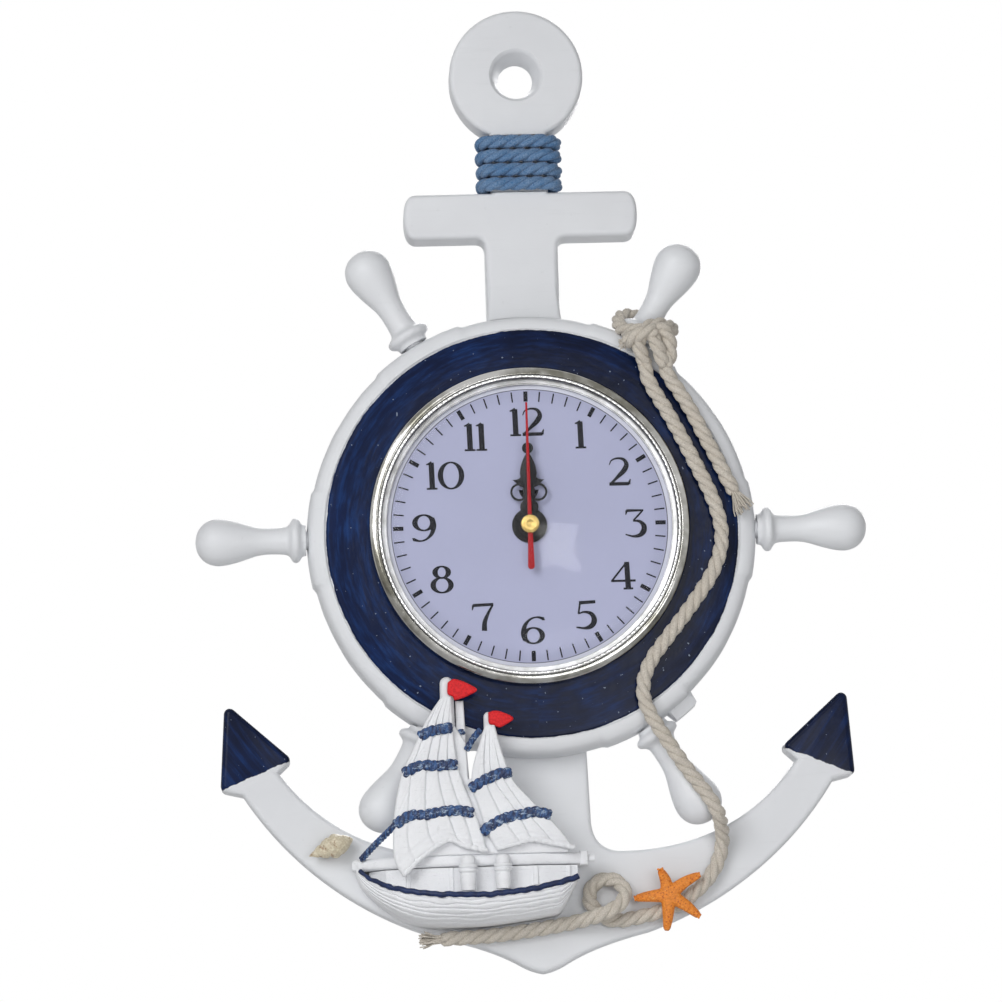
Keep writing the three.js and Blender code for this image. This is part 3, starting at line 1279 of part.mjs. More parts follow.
function boatGroup() {
  const group = new THREE.Group();
  group.add(mesh("boat_hull", boatHull(), boatWhite));
  group.add(mesh("boat_deck", boatDeck(), boatWhite));
  group.add(mesh("boat_rail", boatRail(), boatWhite));
  group.add(mesh("left_mast", mast(LEFT_MAST_X, LEFT_MAST_R, LEFT_MAST_TOP), boatWhite));
  group.add(mesh("right_mast", mast(RIGHT_MAST_X, RIGHT_MAST_R, RIGHT_MAST_TOP), boatWhite));
  group.add(mesh("left_sail", sail(LEFT_SAIL), boatWhite));
  group.add(mesh("right_sail", sail(RIGHT_SAIL), boatWhite));
  group.add(mesh("stay_sail", staySail(), boatWhite));
  group.add(mesh("left_pennant", pennant(LEFT_PENNANT, LEFT_MAST_R), redPaint));
  group.add(mesh("right_pennant", pennant(RIGHT_PENNANT, RIGHT_MAST_R), redPaint));
  POST_X.forEach((x, i) => group.add(mesh(`boat_post_${i + 1}`, post(x), boatWhite)));
  return group;
}

function insertGroup() {
  const group = new THREE.Group();
  group.add(mesh("bezel", bezel(), chrome));
  group.add(mesh("lens", lens(), clear));
  group.add(mesh("dial", dial(), dialPaper));
  group.add(mesh("insert_pan", pan(), whitePlastic));
  group.add(mesh("grip_band", gripBand(), rubber));
  group.add(mesh("bush_washer", washer(), rubber));
  group.add(mesh("bush_nut", nut(), brass));
  group.add(mesh("hour_hand", hourHand(), blackPaint));
  group.add(mesh("minute_hand", minuteHand(), blackPaint));
  group.add(mesh("second_hand", secondHand(), redPaint));
  group.add(mesh("hand_cap", handCap(), brass));
  group.position.set(INSERT_X, 0, INSERT_Z);
  return group;
}

function movementGroup() {
  const group = new THREE.Group();
  group.add(mesh("movement_case", movementCase(), blackPlastic));
  group.add(mesh("movement_cover", movementCover(), blackPlastic));
  group.add(mesh("hour_wheel", hourWheel(), whitePlastic));
  group.add(mesh("minute_wheel", minuteWheel(), whitePlastic));
  group.add(mesh("centre_wheel", centreWheel(), whitePlastic));
  group.add(mesh("third_wheel", thirdWheel(), whitePlastic));
  group.add(mesh("second_wheel", secondWheel(), whitePlastic));
  group.add(mesh("middle_wheel", middleWheel(), whitePlastic));
  group.add(mesh("rotor", rotor(), steel));
  group.add(mesh("stator", stator(), steel));
  group.add(mesh("coil", coil(), copper));
  group.add(mesh("circuit_board", circuitBoard(), greenBoard));
  group.add(mesh("crystal", crystal(), steel));
  group.add(mesh("set_knob", setKnob(), blackPlastic));
  group.add(mesh("battery", battery(), blackPlastic));
  group.add(mesh("positive_contact", positiveContact(), steel));
  group.add(mesh("negative_contact", negativeContact(), steel));
  group.position.set(INSERT_X, 0, INSERT_Z);
  return group;
}

const group = new THREE.Group();
group.add(anchorGroup(), cordGroup(), boatGroup(), insertGroup(), movementGroup());
group.position.set(0, 0, -EYE_HEIGHT);

export default group;
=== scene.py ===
import math

import bmesh
import bpy
import numpy as np
from bpy.props import FloatProperty, FloatVectorProperty, IntProperty, PointerProperty
from mathutils import Matrix, Vector


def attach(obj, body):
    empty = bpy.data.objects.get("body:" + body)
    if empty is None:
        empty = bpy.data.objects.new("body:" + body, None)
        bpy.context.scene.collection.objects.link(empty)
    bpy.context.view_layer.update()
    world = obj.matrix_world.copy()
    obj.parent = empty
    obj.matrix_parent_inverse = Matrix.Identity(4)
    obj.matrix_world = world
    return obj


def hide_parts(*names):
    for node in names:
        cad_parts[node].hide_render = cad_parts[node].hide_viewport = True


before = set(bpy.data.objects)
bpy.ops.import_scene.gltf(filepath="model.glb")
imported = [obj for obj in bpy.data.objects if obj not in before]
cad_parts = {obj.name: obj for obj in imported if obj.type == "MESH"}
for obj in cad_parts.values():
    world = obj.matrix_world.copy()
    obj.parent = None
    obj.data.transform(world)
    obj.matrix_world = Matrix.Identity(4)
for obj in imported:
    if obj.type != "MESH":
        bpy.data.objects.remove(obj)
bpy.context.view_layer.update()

bl_info = {
    "name": "Ship wheel wall clock",
    "version": (1, 0, 0),
    "blender": (4, 5, 0),
    "location": "3D View > Sidebar > Clock",
    "description": "Dresses an anchor-shaped wall clock with its castings, ropes, dial, boat and studio",
    "category": "Object",
}

# Millimetres about the wheel's axis: +Z up, the front faces -Y, and the wall is the plane Y = 0.
MM = 0.001
EYE_HEIGHT = 163.3
EYE_R = 23.3
ANCHOR_T = 12.0
ANCHOR_EDGE = 1.9
NECK_HALF = 10.0
NECK_DEPTH = 5.2
NECK_Y = -8.05
NECK_CORNER = 2.0
NECK_BOTTOM = 121.3
NECK_TOP = 141.9
STOCK_MID = 113.3
STOCK_HALF_HEIGHT = 8.0
STOCK_HALF_LENGTH = 40.6
STOCK_BOW = 3.0
SHANK_HALF = 12.6
SHANK_FILLET = 3.5
TRUNK_HALF = 16.5
RING_R = 70.5
RING_BORE_R = 45.0
ARM_R = 119.0
ARM_Z = -22.0
ARM_INNER_Z = -108.0
ARM_INNER_X = 28.0
ARM_INNER_BEND_X = 67.0
CROWN_TIP_Z = -148.5
CROWN_HALF = 36.0
ARM_END_ANGLE = -32.48
ARM_END_IN = (88.2, -78.6)
FLUKE_TOP = (106.1, -53.6)
FLUKE_OUT = (108.0, -84.1)
FLUKE_IN = (83.3, -74.0)
FLUKE_CORNER = 2.1
WHEEL_BACK = -12.3
WHEEL_FRONT = -24.0
WHEEL_R = 75.8
NAVY_R = 70.2
BLOCK_R = 76.7
BLOCK_HALF_ANGLE = 12.7
BLOCK_RISE = 0.5
LUG_R = 79.8
LUG_ANGLES = (136.6, 144.2)
HANDLE_Y = -17.6
SPIGOT_R = 3.2
SPIGOT_LENGTH = 9.0
INSERT_X = -1.0
INSERT_Z = 2.1
INSERT_BORE_R = 51.0
SEAT_GAP = 0.3
CORD_R = 2.35
CORD_PLAY = 0.15
CORD_ROWS = 4
CORD_PITCH = 5.0
CORD_CROSSING = 0.14
ROPE_R = 2.5


def at(x, y, z):
    """A point about the wheel's axis, in millimetres, as one about the hanging eye, in metres."""
    return Vector((x * MM, y * MM, (z - EYE_HEIGHT) * MM))


# Settings that show in the sidebar


class StudioSettings(bpy.types.PropertyGroup):
    azimuth: FloatProperty(
        name="Azimuth", description="Side from which the camera looks", subtype="ANGLE",
        default=math.radians(-2.427),
    )
    elevation: FloatProperty(
        name="Elevation", description="Height of the camera's view", subtype="ANGLE",
        default=math.radians(-9.148),
    )
    roll: FloatProperty(
        name="Roll", description="Tilt of the picture", subtype="ANGLE", default=math.radians(-1.8)
    )
    distance: FloatProperty(name="Distance", description="Camera to clock", unit="LENGTH", default=1.4529)
    aim: FloatVectorProperty(
        name="Aim", description="Point that the camera looks at", subtype="XYZ",
        default=(-0.0094, 0.0, -0.1485),
    )
    lens: FloatProperty(
        name="Lens", description="Focal length on a 36 mm sensor, in millimetres",
        default=150.9,
    )
    key_power: FloatProperty(name="Key lamp", description="Power of the large lamp, in watts", default=11.3)
    fill_power: FloatProperty(
        name="Fill lamp", description="Power of the lamp on the right, in watts",
        default=0.35,
    )
    low_power: FloatProperty(
        name="Low lamp", description="Power of the lamp near the floor, in watts",
        default=0.6,
    )
    back_power: FloatProperty(
        name="Back lamp", description="Power of the lamp behind, in watts",
        default=12.0,
    )
    window_power: FloatProperty(
        name="Window", description="Power of the glare on the lens, in watts",
        default=1.5,
    )
    world_strength: FloatProperty(name="Room light", description="Strength of the even light", default=0.16)
    floor_height: FloatProperty(
        name="Floor", description="Height of the floor", unit="LENGTH", default=-0.42
    )


class CastingSettings(bpy.types.PropertyGroup):
    resin: FloatVectorProperty(
        name="Resin", description="White of the anchor, rim and handles", subtype="COLOR", size=3,
        default=(0.755, 0.77, 0.795),
    )
    navy: FloatVectorProperty(
        name="Navy", description="Blue of the rim and flukes", subtype="COLOR", size=3,
        default=(0.006, 0.017, 0.075),
    )
    rim_sides: IntProperty(name="Rim sides", description="Segments round the wheel", default=480, min=48)


class RopeSettings(bpy.types.PropertyGroup):
    rope: FloatVectorProperty(
        name="Rope", description="Colour of the cotton rope", subtype="COLOR", size=3,
        default=(0.63, 0.57, 0.485),
    )
    cord: FloatVectorProperty(
        name="Cord", description="Colour of the cord at the neck", subtype="COLOR", size=3,
        default=(0.05, 0.175, 0.375),
    )
    rope_pitch: FloatProperty(
        name="Rope lay", description="Length of one turn of the strands, in mm",
        default=14.0,
    )
    cord_pitch: FloatProperty(
        name="Cord lay", description="Length of one turn of the cord, in mm",
        default=14.5,
    )


# Drawing in the plane of the wall


def clamp(value, low=0.0, high=1.0):
    return max(low, min(high, value))


def beside(x, y, *offsets):
    """Points given by their offsets from [x, y]."""
    return [(x + a, y + b) for a, b in offsets]


def towards(start, end, reach):
    """The point `reach` away from start, on the way to end."""
    start, end = np.array(start, float), np.array(end, float)
    return start + (end - start) * reach / np.linalg.norm(end - start)


class Outline:
    """A drawing in the plane of the wall, as a growing list of [x, z] points."""

    def __init__(self, x, z):
        self.points = [(x, z)]

    def line(self, x, z):
        self.points.append((x, z))
        return self

    def bend(self, cx, cz, x, z, steps=14):
        """A curve to [x, z] that heads for [cx, cz] first."""
        x0, z0 = self.points[-1]
        for i in range(1, steps + 1):
            t = i / steps
            a, b, c = (1 - t) ** 2, 2 * t * (1 - t), t * t
            self.points.append((a * x0 + b * cx + c * x, a * z0 + b * cz + c * z))
        return self

    def arc(self, x, z, radius, start, end, step=3.0):
        """Part of a circle about [x, z], between two angles in degrees from +X."""
        count = max(2, int(abs(end - start) / step))
        for angle in np.radians(np.linspace(start, end, count + 1)):
            self.points.append((x + radius * math.cos(angle), z + radius * math.sin(angle)))
        return self

    def corner(self, corner, after, radius):
        """A corner rounded to a radius, on the way from the last point to `after`."""
        corner = np.array(corner, float)
        back, on = towards(corner, self.points[-1], 1) - corner, towards(corner, after, 1) - corner
        half = math.acos(clamp(float(np.dot(back, on)), -1)) / 2
        reach = radius / math.tan(half)
        centre = corner + (back + on) / np.linalg.norm(back + on) * radius / math.sin(half)
        start, end = corner + back * reach - centre, corner + on * reach - centre
        sweep = math.atan2(start[0] * end[1] - start[1] * end[0], float(np.dot(start, end)))
        first = math.atan2(start[1], start[0])
        for angle in np.linspace(first, first + sweep, 9):
            self.points.append((centre[0] + radius * math.cos(angle), centre[1] + radius * math.sin(angle)))
        return self

    def mirrored(self):
        """The drawing and its mirror image, where it runs from the axis to the axis."""
        left = [(-x, z) for x, z in self.points[::-1] if abs(x) > 1e-6]
        return self.points + left


def tidy(points, gap=0.02):
    """The outline without points that lie on one another, anticlockwise."""
    kept = []
    for p in points:
        if not kept or math.dist(p, kept[-1]) > gap:
            kept.append(p)
    if math.dist(kept[0], kept[-1]) <= gap:
        kept.pop()
    p = np.array(kept)
    q = np.roll(p, -1, axis=0)
    area = np.sum(p[:, 0] * q[:, 1] - q[:, 0] * p[:, 1])
    return p if area > 0 else p[::-1]


def inset(points, distance):
    """The outline moved inwards, each corner along its bisector."""
    before = points - np.roll(points, 1, axis=0)
    after = np.roll(points, -1, axis=0) - points
    normals = []
    for d in (before, after):
        d = d / np.linalg.norm(d, axis=1, keepdims=True)
        normals.append(np.stack([-d[:, 1], d[:, 0]], 1))
    middle = normals[0] + normals[1]
    middle /= np.maximum(np.sum(middle * normals[0], axis=1, keepdims=True), 0.35)
    return points + middle * distance


# Meshes

ALONG_X, ALONG_Y, ALONG_Z = np.eye(3)


def circle(sides):
    """Evenly spaced angles round a full turn."""
    return np.linspace(0, 2 * math.pi, sides, endpoint=False)


def hoops(stations, side, up, sides):
    """A ring of points for each station's centre and radius, in the plane of two directions."""
    turn = circle(sides)[:, None]
    ring = np.cos(turn) * side + np.sin(turn) * up
    return [np.asarray(centre) + radius * ring for centre, radius in stations]


def grid_faces(rows, columns, closed=True, start=0):
    """Four-sided faces over rows of points, closed round each row if asked."""
    faces = []
    last = columns if closed else columns - 1
    for i in range(rows - 1):
        for j in range(last):
            k = (j + 1) % columns
            a, b = start + i * columns, start + (i + 1) * columns
            faces.append((a + j, a + k, b + k, b + j))
    return faces


def surface(rows, closed=True, caps=True):
    """Points and faces of a surface given as rows of points, with its ends covered if asked."""
    rows = np.asarray(rows, float)
    count, columns = rows.shape[:2]
    faces = grid_faces(count, columns, closed)
    if caps:
        faces.append(tuple(range(columns))[::-1])
        faces.append(tuple(range((count - 1) * columns, count * columns)))
    return rows.reshape(-1, 3), faces


def together(*parts):
    """Several lists of points and faces as one."""
    points, faces, start = [], [], 0
    for p, f in parts:
        points.append(np.asarray(p, float))
        faces += [tuple(i + start for i in face) for face in f]
        start += len(p)
    return np.vstack(points), faces


def smoothed(mesh, angle):
    mesh.shade_smooth()
    mesh.set_sharp_from_angle(angle=math.radians(angle))
    mesh.update()


def new_piece(name, shape, angle=38):
    """An object from points in millimetres about the wheel's axis, and faces."""
    points, faces = shape
    points = np.asarray(points, float) * MM
    points[:, 2] -= EYE_HEIGHT * MM
    mesh = bpy.data.meshes.new(name)
    mesh.from_pydata(points.tolist(), [], faces)
    shell = bmesh.new()
    shell.from_mesh(mesh)
    bmesh.ops.remove_doubles(shell, verts=shell.verts, dist=2e-6)
    bmesh.ops.dissolve_degenerate(shell, edges=shell.edges, dist=1e-6)
    bmesh.ops.recalc_face_normals(shell, faces=shell.faces)
    shell.to_mesh(mesh)
    shell.free()
    smoothed(mesh, angle)
    piece = bpy.data.objects.new(name, mesh)
    bpy.context.scene.collection.objects.link(piece)
    return piece


def worked_in(piece, angle):
    """The piece with its modifiers worked into its mesh."""
    bpy.context.view_layer.update()
    changed = bpy.data.meshes.new_from_object(piece.evaluated_get(bpy.context.evaluated_depsgraph_get()))
    old = piece.data
    piece.modifiers.clear()
    piece.data = changed
    changed.name = piece.name
    bpy.data.meshes.remove(old)
    smoothed(changed, angle)
    return piece


def combined(piece, operation, others, angle=38):
    """The piece with other meshes joined to it or cut from it; the others are used up."""
    for other in others:
        change = piece.modifiers.new("combine", "BOOLEAN")
        change.operation = operation
        change.solver = "EXACT"
        change.object = other
    worked_in(piece, angle)
    for other in others:
        mesh = other.data
        bpy.data.objects.remove(other)
        bpy.data.meshes.remove(mesh)
    return piece


def slab(points, levels, upright=False):
    """A plate built up in levels, each a depth and how far the outline is moved inwards there.
    An upright one is drawn as [x, y] and its levels are heights."""
    points = tidy(points)
    rows = []
    for depth, moved in levels:
        flat = inset(points, moved) if moved else points
        depths = np.full(len(flat), depth)
        rest = (flat[:, 1], depths) if upright else (depths, flat[:, 1])
        rows.append(np.stack([flat[:, 0], *rest], 1))
    return surface(rows)


def round_over(level, edge, steps, direction):
    """Levels that round an edge off towards a face."""
    return [
        (level + direction * edge * (1 - math.sin(t)), edge * (1 - math.cos(t)))
        for t in np.radians(np.linspace(0, 90, steps + 1))
    ]


def plate(points, back, front, edge=0.0, steps=5, back_edge=0.0):
    """A flat plate of an outline, its front edge rounded and its back edge chamfered."""
    levels = [(back, back_edge), (back - back_edge, 0)] if back_edge else [(back, 0)]
    levels += round_over(front, edge, steps, 1) if edge else [(front, 0)]
    return slab(points, levels)


def lathe(profile, x=0.0, z=0.0, sides=96):
    """A turned shape about an axis from front to back. The profile's [radius, y] points start and end
    on the axis, or close on themselves."""
    rows = hoops([((x, y, z), radius) for radius, y in profile], ALONG_X, ALONG_Z, sides)
    return surface(rows if profile[0][0] < 1e-6 else [*rows, rows[0]], caps=False)


def disc(radius, back, front, x=0.0, z=0.0, hole=0.0, sides=64):
    return lathe([(hole, back), (radius, back), (radius, front), (hole, front)], x, z, sides)


def round_box(x0, x1, z0, z1, radius, steps=6):
    """An oblong with round corners."""
    points = []
    for cx, cz, start in ((x1 - radius, z1 - radius, 0), (x0 + radius, z1 - radius, 90),
                          (x0 + radius, z0 + radius, 180), (x1 - radius, z0 + radius, 270)):
        for angle in np.radians(np.linspace(start, start + 90, steps + 1)):
            points.append((cx + radius * math.cos(angle), cz + radius * math.sin(angle)))
    return points


def rounded_profile(points, radius, steps=4):
    """A profile with its inner corners rounded."""
    points = [np.array(p, float) for p in points]
    out = [points[0]]
    for before, corner, after in zip(points, points[1:], points[2:]):
        reach = min(radius, 0.45 * np.linalg.norm(corner - before), 0.45 * np.linalg.norm(after - corner))
        a, c = towards(corner, before, reach), towards(corner, after, reach)
        for i in range(steps + 1):
            t = i / steps
            out.append((1 - t) ** 2 * a + 2 * t * (1 - t) * corner + t * t * c)
    out.append(points[-1])
    return np.array(out)


# Curves in space


def distances(points):
    """How far along a line of points each of them lies."""
    return np.concatenate([[0], np.cumsum(np.linalg.norm(np.diff(points, axis=0), axis=1))])


def resampled(points, step):
    """Points an even distance apart along a line of points."""
    points = np.asarray(points, float)
    along = distances(points)
    count = max(2, int(round(along[-1] / step)) + 1)
    wanted = np.linspace(0, along[-1], count)
    return np.stack([np.interp(wanted, along, points[:, i]) for i in range(points.shape[1])], 1)


def smooth_path(points, step):
    """Points an even distance apart on a smooth curve through the given points."""
    p = np.array(points, float)
    p = np.vstack([2 * p[0] - p[1], p, 2 * p[-1] - p[-2]])
    dense = []
    for a, b, c, d in zip(p, p[1:], p[2:], p[3:]):
        t1 = np.linalg.norm(b - a) ** 0.5
        t2 = t1 + np.linalg.norm(c - b) ** 0.5
        t3 = t2 + np.linalg.norm(d - c) ** 0.5
        t = np.linspace(t1, t2, 20, endpoint=False)[:, None]

        def mix(first, last, start, end):
            return (last - t) / (last - first) * start + (t - first) / (last - first) * end

        ab, bc, cd = mix(0, t1, a, b), mix(t1, t2, b, c), mix(t2, t3, c, d)
        dense.append(mix(t1, t2, mix(0, t2, ab, bc), mix(t1, t3, bc, cd)))
    return resampled(np.vstack([*dense, p[-2:-1]]), step)


def path_frames(path):
    """Two directions across a path at each of its points, which turn as little as they can."""
    tangent = np.gradient(path, axis=0)
    tangent /= np.linalg.norm(tangent, axis=1, keepdims=True)
    first = np.cross(tangent[0], (0, 1, 0) if abs(tangent[0][1]) < 0.9 else (1, 0, 0))
    normals = [first / np.linalg.norm(first)]
    for t in tangent[1:]:
        carried = normals[-1] - np.dot(normals[-1], t) * t
        normals.append(carried / np.linalg.norm(carried))
    normals = np.array(normals)
    return normals, np.cross(tangent, normals)


def swept(path, radius, sides=16, ridges=0, ridge=0.0, ridge_pitch=1.0):
    """A round bar along a path. It may have ridges that wind round it once in each pitch."""
    path = np.asarray(path, float)
    across, up = path_frames(path)
    radius = np.broadcast_to(np.asarray(radius, float), (len(path),))
    along = distances(path)
    theta = circle(sides)[None, :]
    r = np.repeat(radius[:, None], sides, axis=1)
    if ridges:
        wave = np.cos(ridges * (theta - 2 * math.pi * along[:, None] / ridge_pitch))
        r = r * (1 + ridge * (np.abs(wave) ** 0.6 * np.sign(wave) - 0.3))
    rows = path[:, None] + r[..., None] * (
        np.cos(theta)[..., None] * across[:, None] + np.sin(theta)[..., None] * up[:, None]
    )
    return surface(rows)


def laid_rope(path, radius, pitch, sides=18, yarns=5, ends=1.0, turn=0.0):
    """Three strands laid round a path, each with the ridges of its yarns. Towards its ends, over
    `ends` radii, the rope draws in."""
    path = np.asarray(path, float)
    across, up = path_frames(path)
    along = distances(path)
    taper = np.clip(np.minimum(along, along[-1] - along) / (radius * ends) + 0.72, 0, 1)
    offset = (0.47 * radius * taper)[:, None]
    strands = []
    for k in range(3):
        angle = (turn - 2 * math.pi * along / pitch + 2 * math.pi * k / 3)[:, None]
        centre = path + offset * (np.cos(angle) * across + np.sin(angle) * up)
        strands.append(swept(centre, 0.55 * radius * taper, sides, yarns, 0.05, -0.62 * pitch))
    return together(*strands)


def loose_fibres(start, direction, count, length, spread, seed):
    """Thin yarns that fan out of a rope's cut end."""
    rng = np.random.default_rng(seed)
    start, direction = np.array(start, float), np.array(direction, float)
    direction /= np.linalg.norm(direction)
    side = np.cross(direction, (0, 1, 0))
    side /= np.linalg.norm(side)
    up = np.cross(side, direction)
    fibres = []
    for _ in range(count):
        angle, reach = rng.uniform(0, 2 * math.pi), rng.uniform(0.15, 1)
        out = side * math.cos(angle) + up * math.sin(angle)
        curl = side * rng.normal(0, 0.6) + up * rng.normal(0, 0.6)
        far = rng.uniform(0.65, 1) * length
        path = [
            start - direction * 2.0 + out * 0.8 * reach,
            start + out * 1.2 * reach,
            start + direction * far * 0.4 + out * spread * reach * 0.7 + curl * 0.4,
            start + direction * far * 0.75 + out * spread * reach * 0.95 + curl,
            start + direction * far + out * spread * reach + curl * 1.3,
        ]
        path = smooth_path(path, 0.7)
        fibres.append(swept(path, np.linspace(0.34, 0.2, len(path)), 6))
    return together(*fibres)


# Finishes


class Nodes:
    """Short ways to add nodes to a tree."""

    def __init__(self, tree):
        self.tree = tree

    def add(self, kind, **settings):
        node = self.tree.nodes.new(kind)
        for key, value in settings.items():
            setattr(node, key, value)
        return node

    def put(self, node, socket, value):
        """Sets a socket, or links it to another node's output. A colour may come without its alpha."""
        target = node.inputs[socket]
        if isinstance(value, bpy.types.NodeSocket):
            self.tree.links.new(value, target)
        else:
            target.default_value = (*value[:3], 1) if target.type == "RGBA" else value
        return node

    def maths(self, operation, *values, clamp=False):
        node = self.add("ShaderNodeMath", operation=operation, use_clamp=clamp)
        for i, value in enumerate(values):
            self.put(node, i, value)
        return node.outputs[0]


class Finish(Nodes):
    """A material, with its shader and patterns."""

    def __init__(self, name, roughness=0.5, **sockets):
        self.material = bpy.data.materials.new(name)
        self.material.use_nodes = True
        super().__init__(self.material.node_tree)
        self.shader = self.tree.nodes["Principled BSDF"]
        for socket, value in {"Roughness": roughness, **sockets}.items():
            self.put(self.shader, socket.replace("_", " "), value)
        self.coords = self.add("ShaderNodeTexCoord").outputs["Object"]

    def stretched(self, scale=(1.0, 1.0, 1.0), location=(0.0, 0.0, 0.0), rotation=(0.0, 0.0, 0.0)):
        """The object's coordinates in millimetres about the wheel's axis, scaled."""
        node = self.add("ShaderNodeMapping")
        self.put(node, "Vector", self.coords)
        self.put(node, "Scale", [1000 * s for s in scale])
        self.put(node, "Rotation", rotation)
        x, y, z = location
        self.put(node, "Location", [v * s for v, s in zip((x, y, z + EYE_HEIGHT), scale)])
        return node.outputs["Vector"]

    def noise(self, scale, detail=3.0, roughness=0.55, vector=None):
        """Even noise, with `scale` waves to the millimetre."""
        node = self.add("ShaderNodeTexNoise")
        self.put(node, "Vector", vector or self.stretched())
        for socket, value in (("Scale", scale), ("Detail", detail), ("Roughness", roughness)):
            self.put(node, socket, value)
        return node.outputs["Fac"]

    def apart(self, vector):
        return self.put(self.add("ShaderNodeSeparateXYZ"), "Vector", vector).outputs

    def eased(self, value, low, high, to_low=0.0, to_high=1.0):
        """The value's range from low to high, eased into another range."""
        node = self.add("ShaderNodeMapRange", interpolation_type="SMOOTHSTEP")
        self.put(node, "Value", value)
        for socket, number in zip(("From Min", "From Max", "To Min", "To Max"), (low, high, to_low, to_high)):
            self.put(node, socket, number)
        return node.outputs["Result"]

    def blend(self, share, first, second):
        """Two colours mixed, the second one by its share."""
        node = self.add("ShaderNodeMix", data_type="RGBA")
        self.put(node, "Factor", share)
        colours = [i for i, socket in enumerate(node.inputs) if socket.type == "RGBA"]
        for socket, colour in zip(colours, (first, second)):
            self.put(node, socket, colour)
        return next(socket for socket in node.outputs if socket.type == "RGBA")

    def radius(self, x, z):
        """Distance from the axis, of a point's x and z."""
        squares = [self.maths("MULTIPLY", value, value) for value in (x, z)]
        return self.maths("SQRT", self.maths("ADD", *squares))

    def insert_radius(self):
        x, _, z = self.apart(self.stretched(location=(-INSERT_X, 0, -INSERT_Z)))
        return self.radius(x, z)

    def colour(self, value):
        self.put(self.shader, "Base Color", value)

    def rough(self, value):
        self.put(self.shader, "Roughness", value)

    def bump(self, height, strength, distance):
        """Relief of `distance` millimetres."""
        node = self.add("ShaderNodeBump")
        self.put(node, "Height", height)
        self.put(node, "Strength", strength)
        self.put(node, "Distance", distance * MM)
        previous = self.shader.inputs["Normal"]
        if previous.is_linked:
            self.put(node, "Normal", previous.links[0].from_socket)
        self.put(self.shader, "Normal", node.outputs["Normal"])
        return self


def shade(colour, factor):
    return tuple(channel * factor for channel in colour)


def tint(colour, other, share):
    return tuple(a + (b - a) * share for a, b in zip(colour, other))


def dress(piece, finish, body, slot, *nodes):
    """Gives a piece its finish and the body that it rides on, and hides the nodes that it stands for."""
    piece.data.materials.clear()
    piece.data.materials.append(finish.material)
    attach(piece, body)
    if nodes:
        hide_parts(*nodes)


def build(name, shape, angle, make, slot, *nodes, body="clock"):
    """Makes a piece from a shape and dresses it with a maker's finish."""
    dress(new_piece(name, shape, angle), finish_of(make), body, slot, *nodes)


def paint_node(node, finish):
    """Gives a carried-over node its finish."""
    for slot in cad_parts[node].material_slots:
        slot.material = finish.material


finishes = {}


def finish_of(make):
    """Keeps one material for each maker."""
    if make.__name__ not in finishes:
        finishes[make.__name__] = make()
    return finishes[make.__name__]


def resin_base(f, colour, speck):
    """White paint over resin, with soft clouds, brush marks and a little grime: colour and relief."""
    cloud = f.noise(0.02, 3, 0.6)
    brush = f.noise(1, 4, 0.6, f.stretched((0.05, 0.4, 0.55)))
    base = f.blend(f.eased(cloud, 0.35, 0.7), colour, tint(shade(colour, 0.93), (0.8, 0.8, 0.84), 0.2))
    base = f.blend(f.eased(brush, 0.55, 0.8, 0, 0.35), base, shade(colour, 0.88))
    pits = f.noise(0.35, 2, 0.5)
    return f.blend(f.eased(pits, 0.7, 0.78, 0, speck), base, shade(colour, 0.8)), brush


def white_resin():
    colour = bpy.context.scene.clock_castings.resin
    f = Finish("white_resin", 0.42, Specular_IOR_Level=0.35)
    base, brush = resin_base(f, colour, 0.25)
    f.colour(base)
    f.rough(f.eased(brush, 0.3, 0.7, 0.36, 0.5))
    f.bump(f.noise(0.18, 3, 0.55), 0.25, 0.25)
    return f.bump(brush, 0.3, 0.06)


def navy_paint(f, navy, left_sheen=0.42):
    """Glossy navy paint with paler brush marks, fine specks and a painted sheen, paler and bluer towards the
    left and in cloudy patches: its colour, its relief and the radius.
    """
    x, _, z = f.apart(f.stretched())
    radius = f.radius(x, z)
    angle = f.maths("ARCTAN2", x, z)
    joined = f.add("ShaderNodeCombineXYZ")
    f.put(joined, "X", f.maths("MULTIPLY", radius, 0.55))
    f.put(joined, "Y", f.maths("MULTIPLY", angle, 5))
    streak = f.noise(1, 4, 0.62, joined.outputs["Vector"])
    cloud = f.noise(0.045, 3, 0.6, f.stretched(location=(31, 0, 12)))
    # painted sheen: the navy is painted paler and bluer towards the left and in cloudy patches
    left, sheen_patches = f.eased(x, -75, 20, left_sheen, 0), f.eased(cloud, 0.45, 0.72, 0, 0.4)
    painted_sheen = f.maths("ADD", left, sheen_patches, clamp=True)
    paint = f.blend(f.eased(streak, 0.4, 0.75), shade(navy, 0.3), shade(navy, 0.8))
    bright = f.blend(f.eased(streak, 0.4, 0.72), navy, tint(navy, (0.012, 0.06, 0.23), 0.8))
    paint = f.blend(painted_sheen, paint, bright)
    specks = f.noise(0.9, 1, 0.4)
    return f.blend(f.eased(specks, 0.765, 0.79, 0, 0.6), paint, (0.35, 0.42, 0.55)), streak, radius


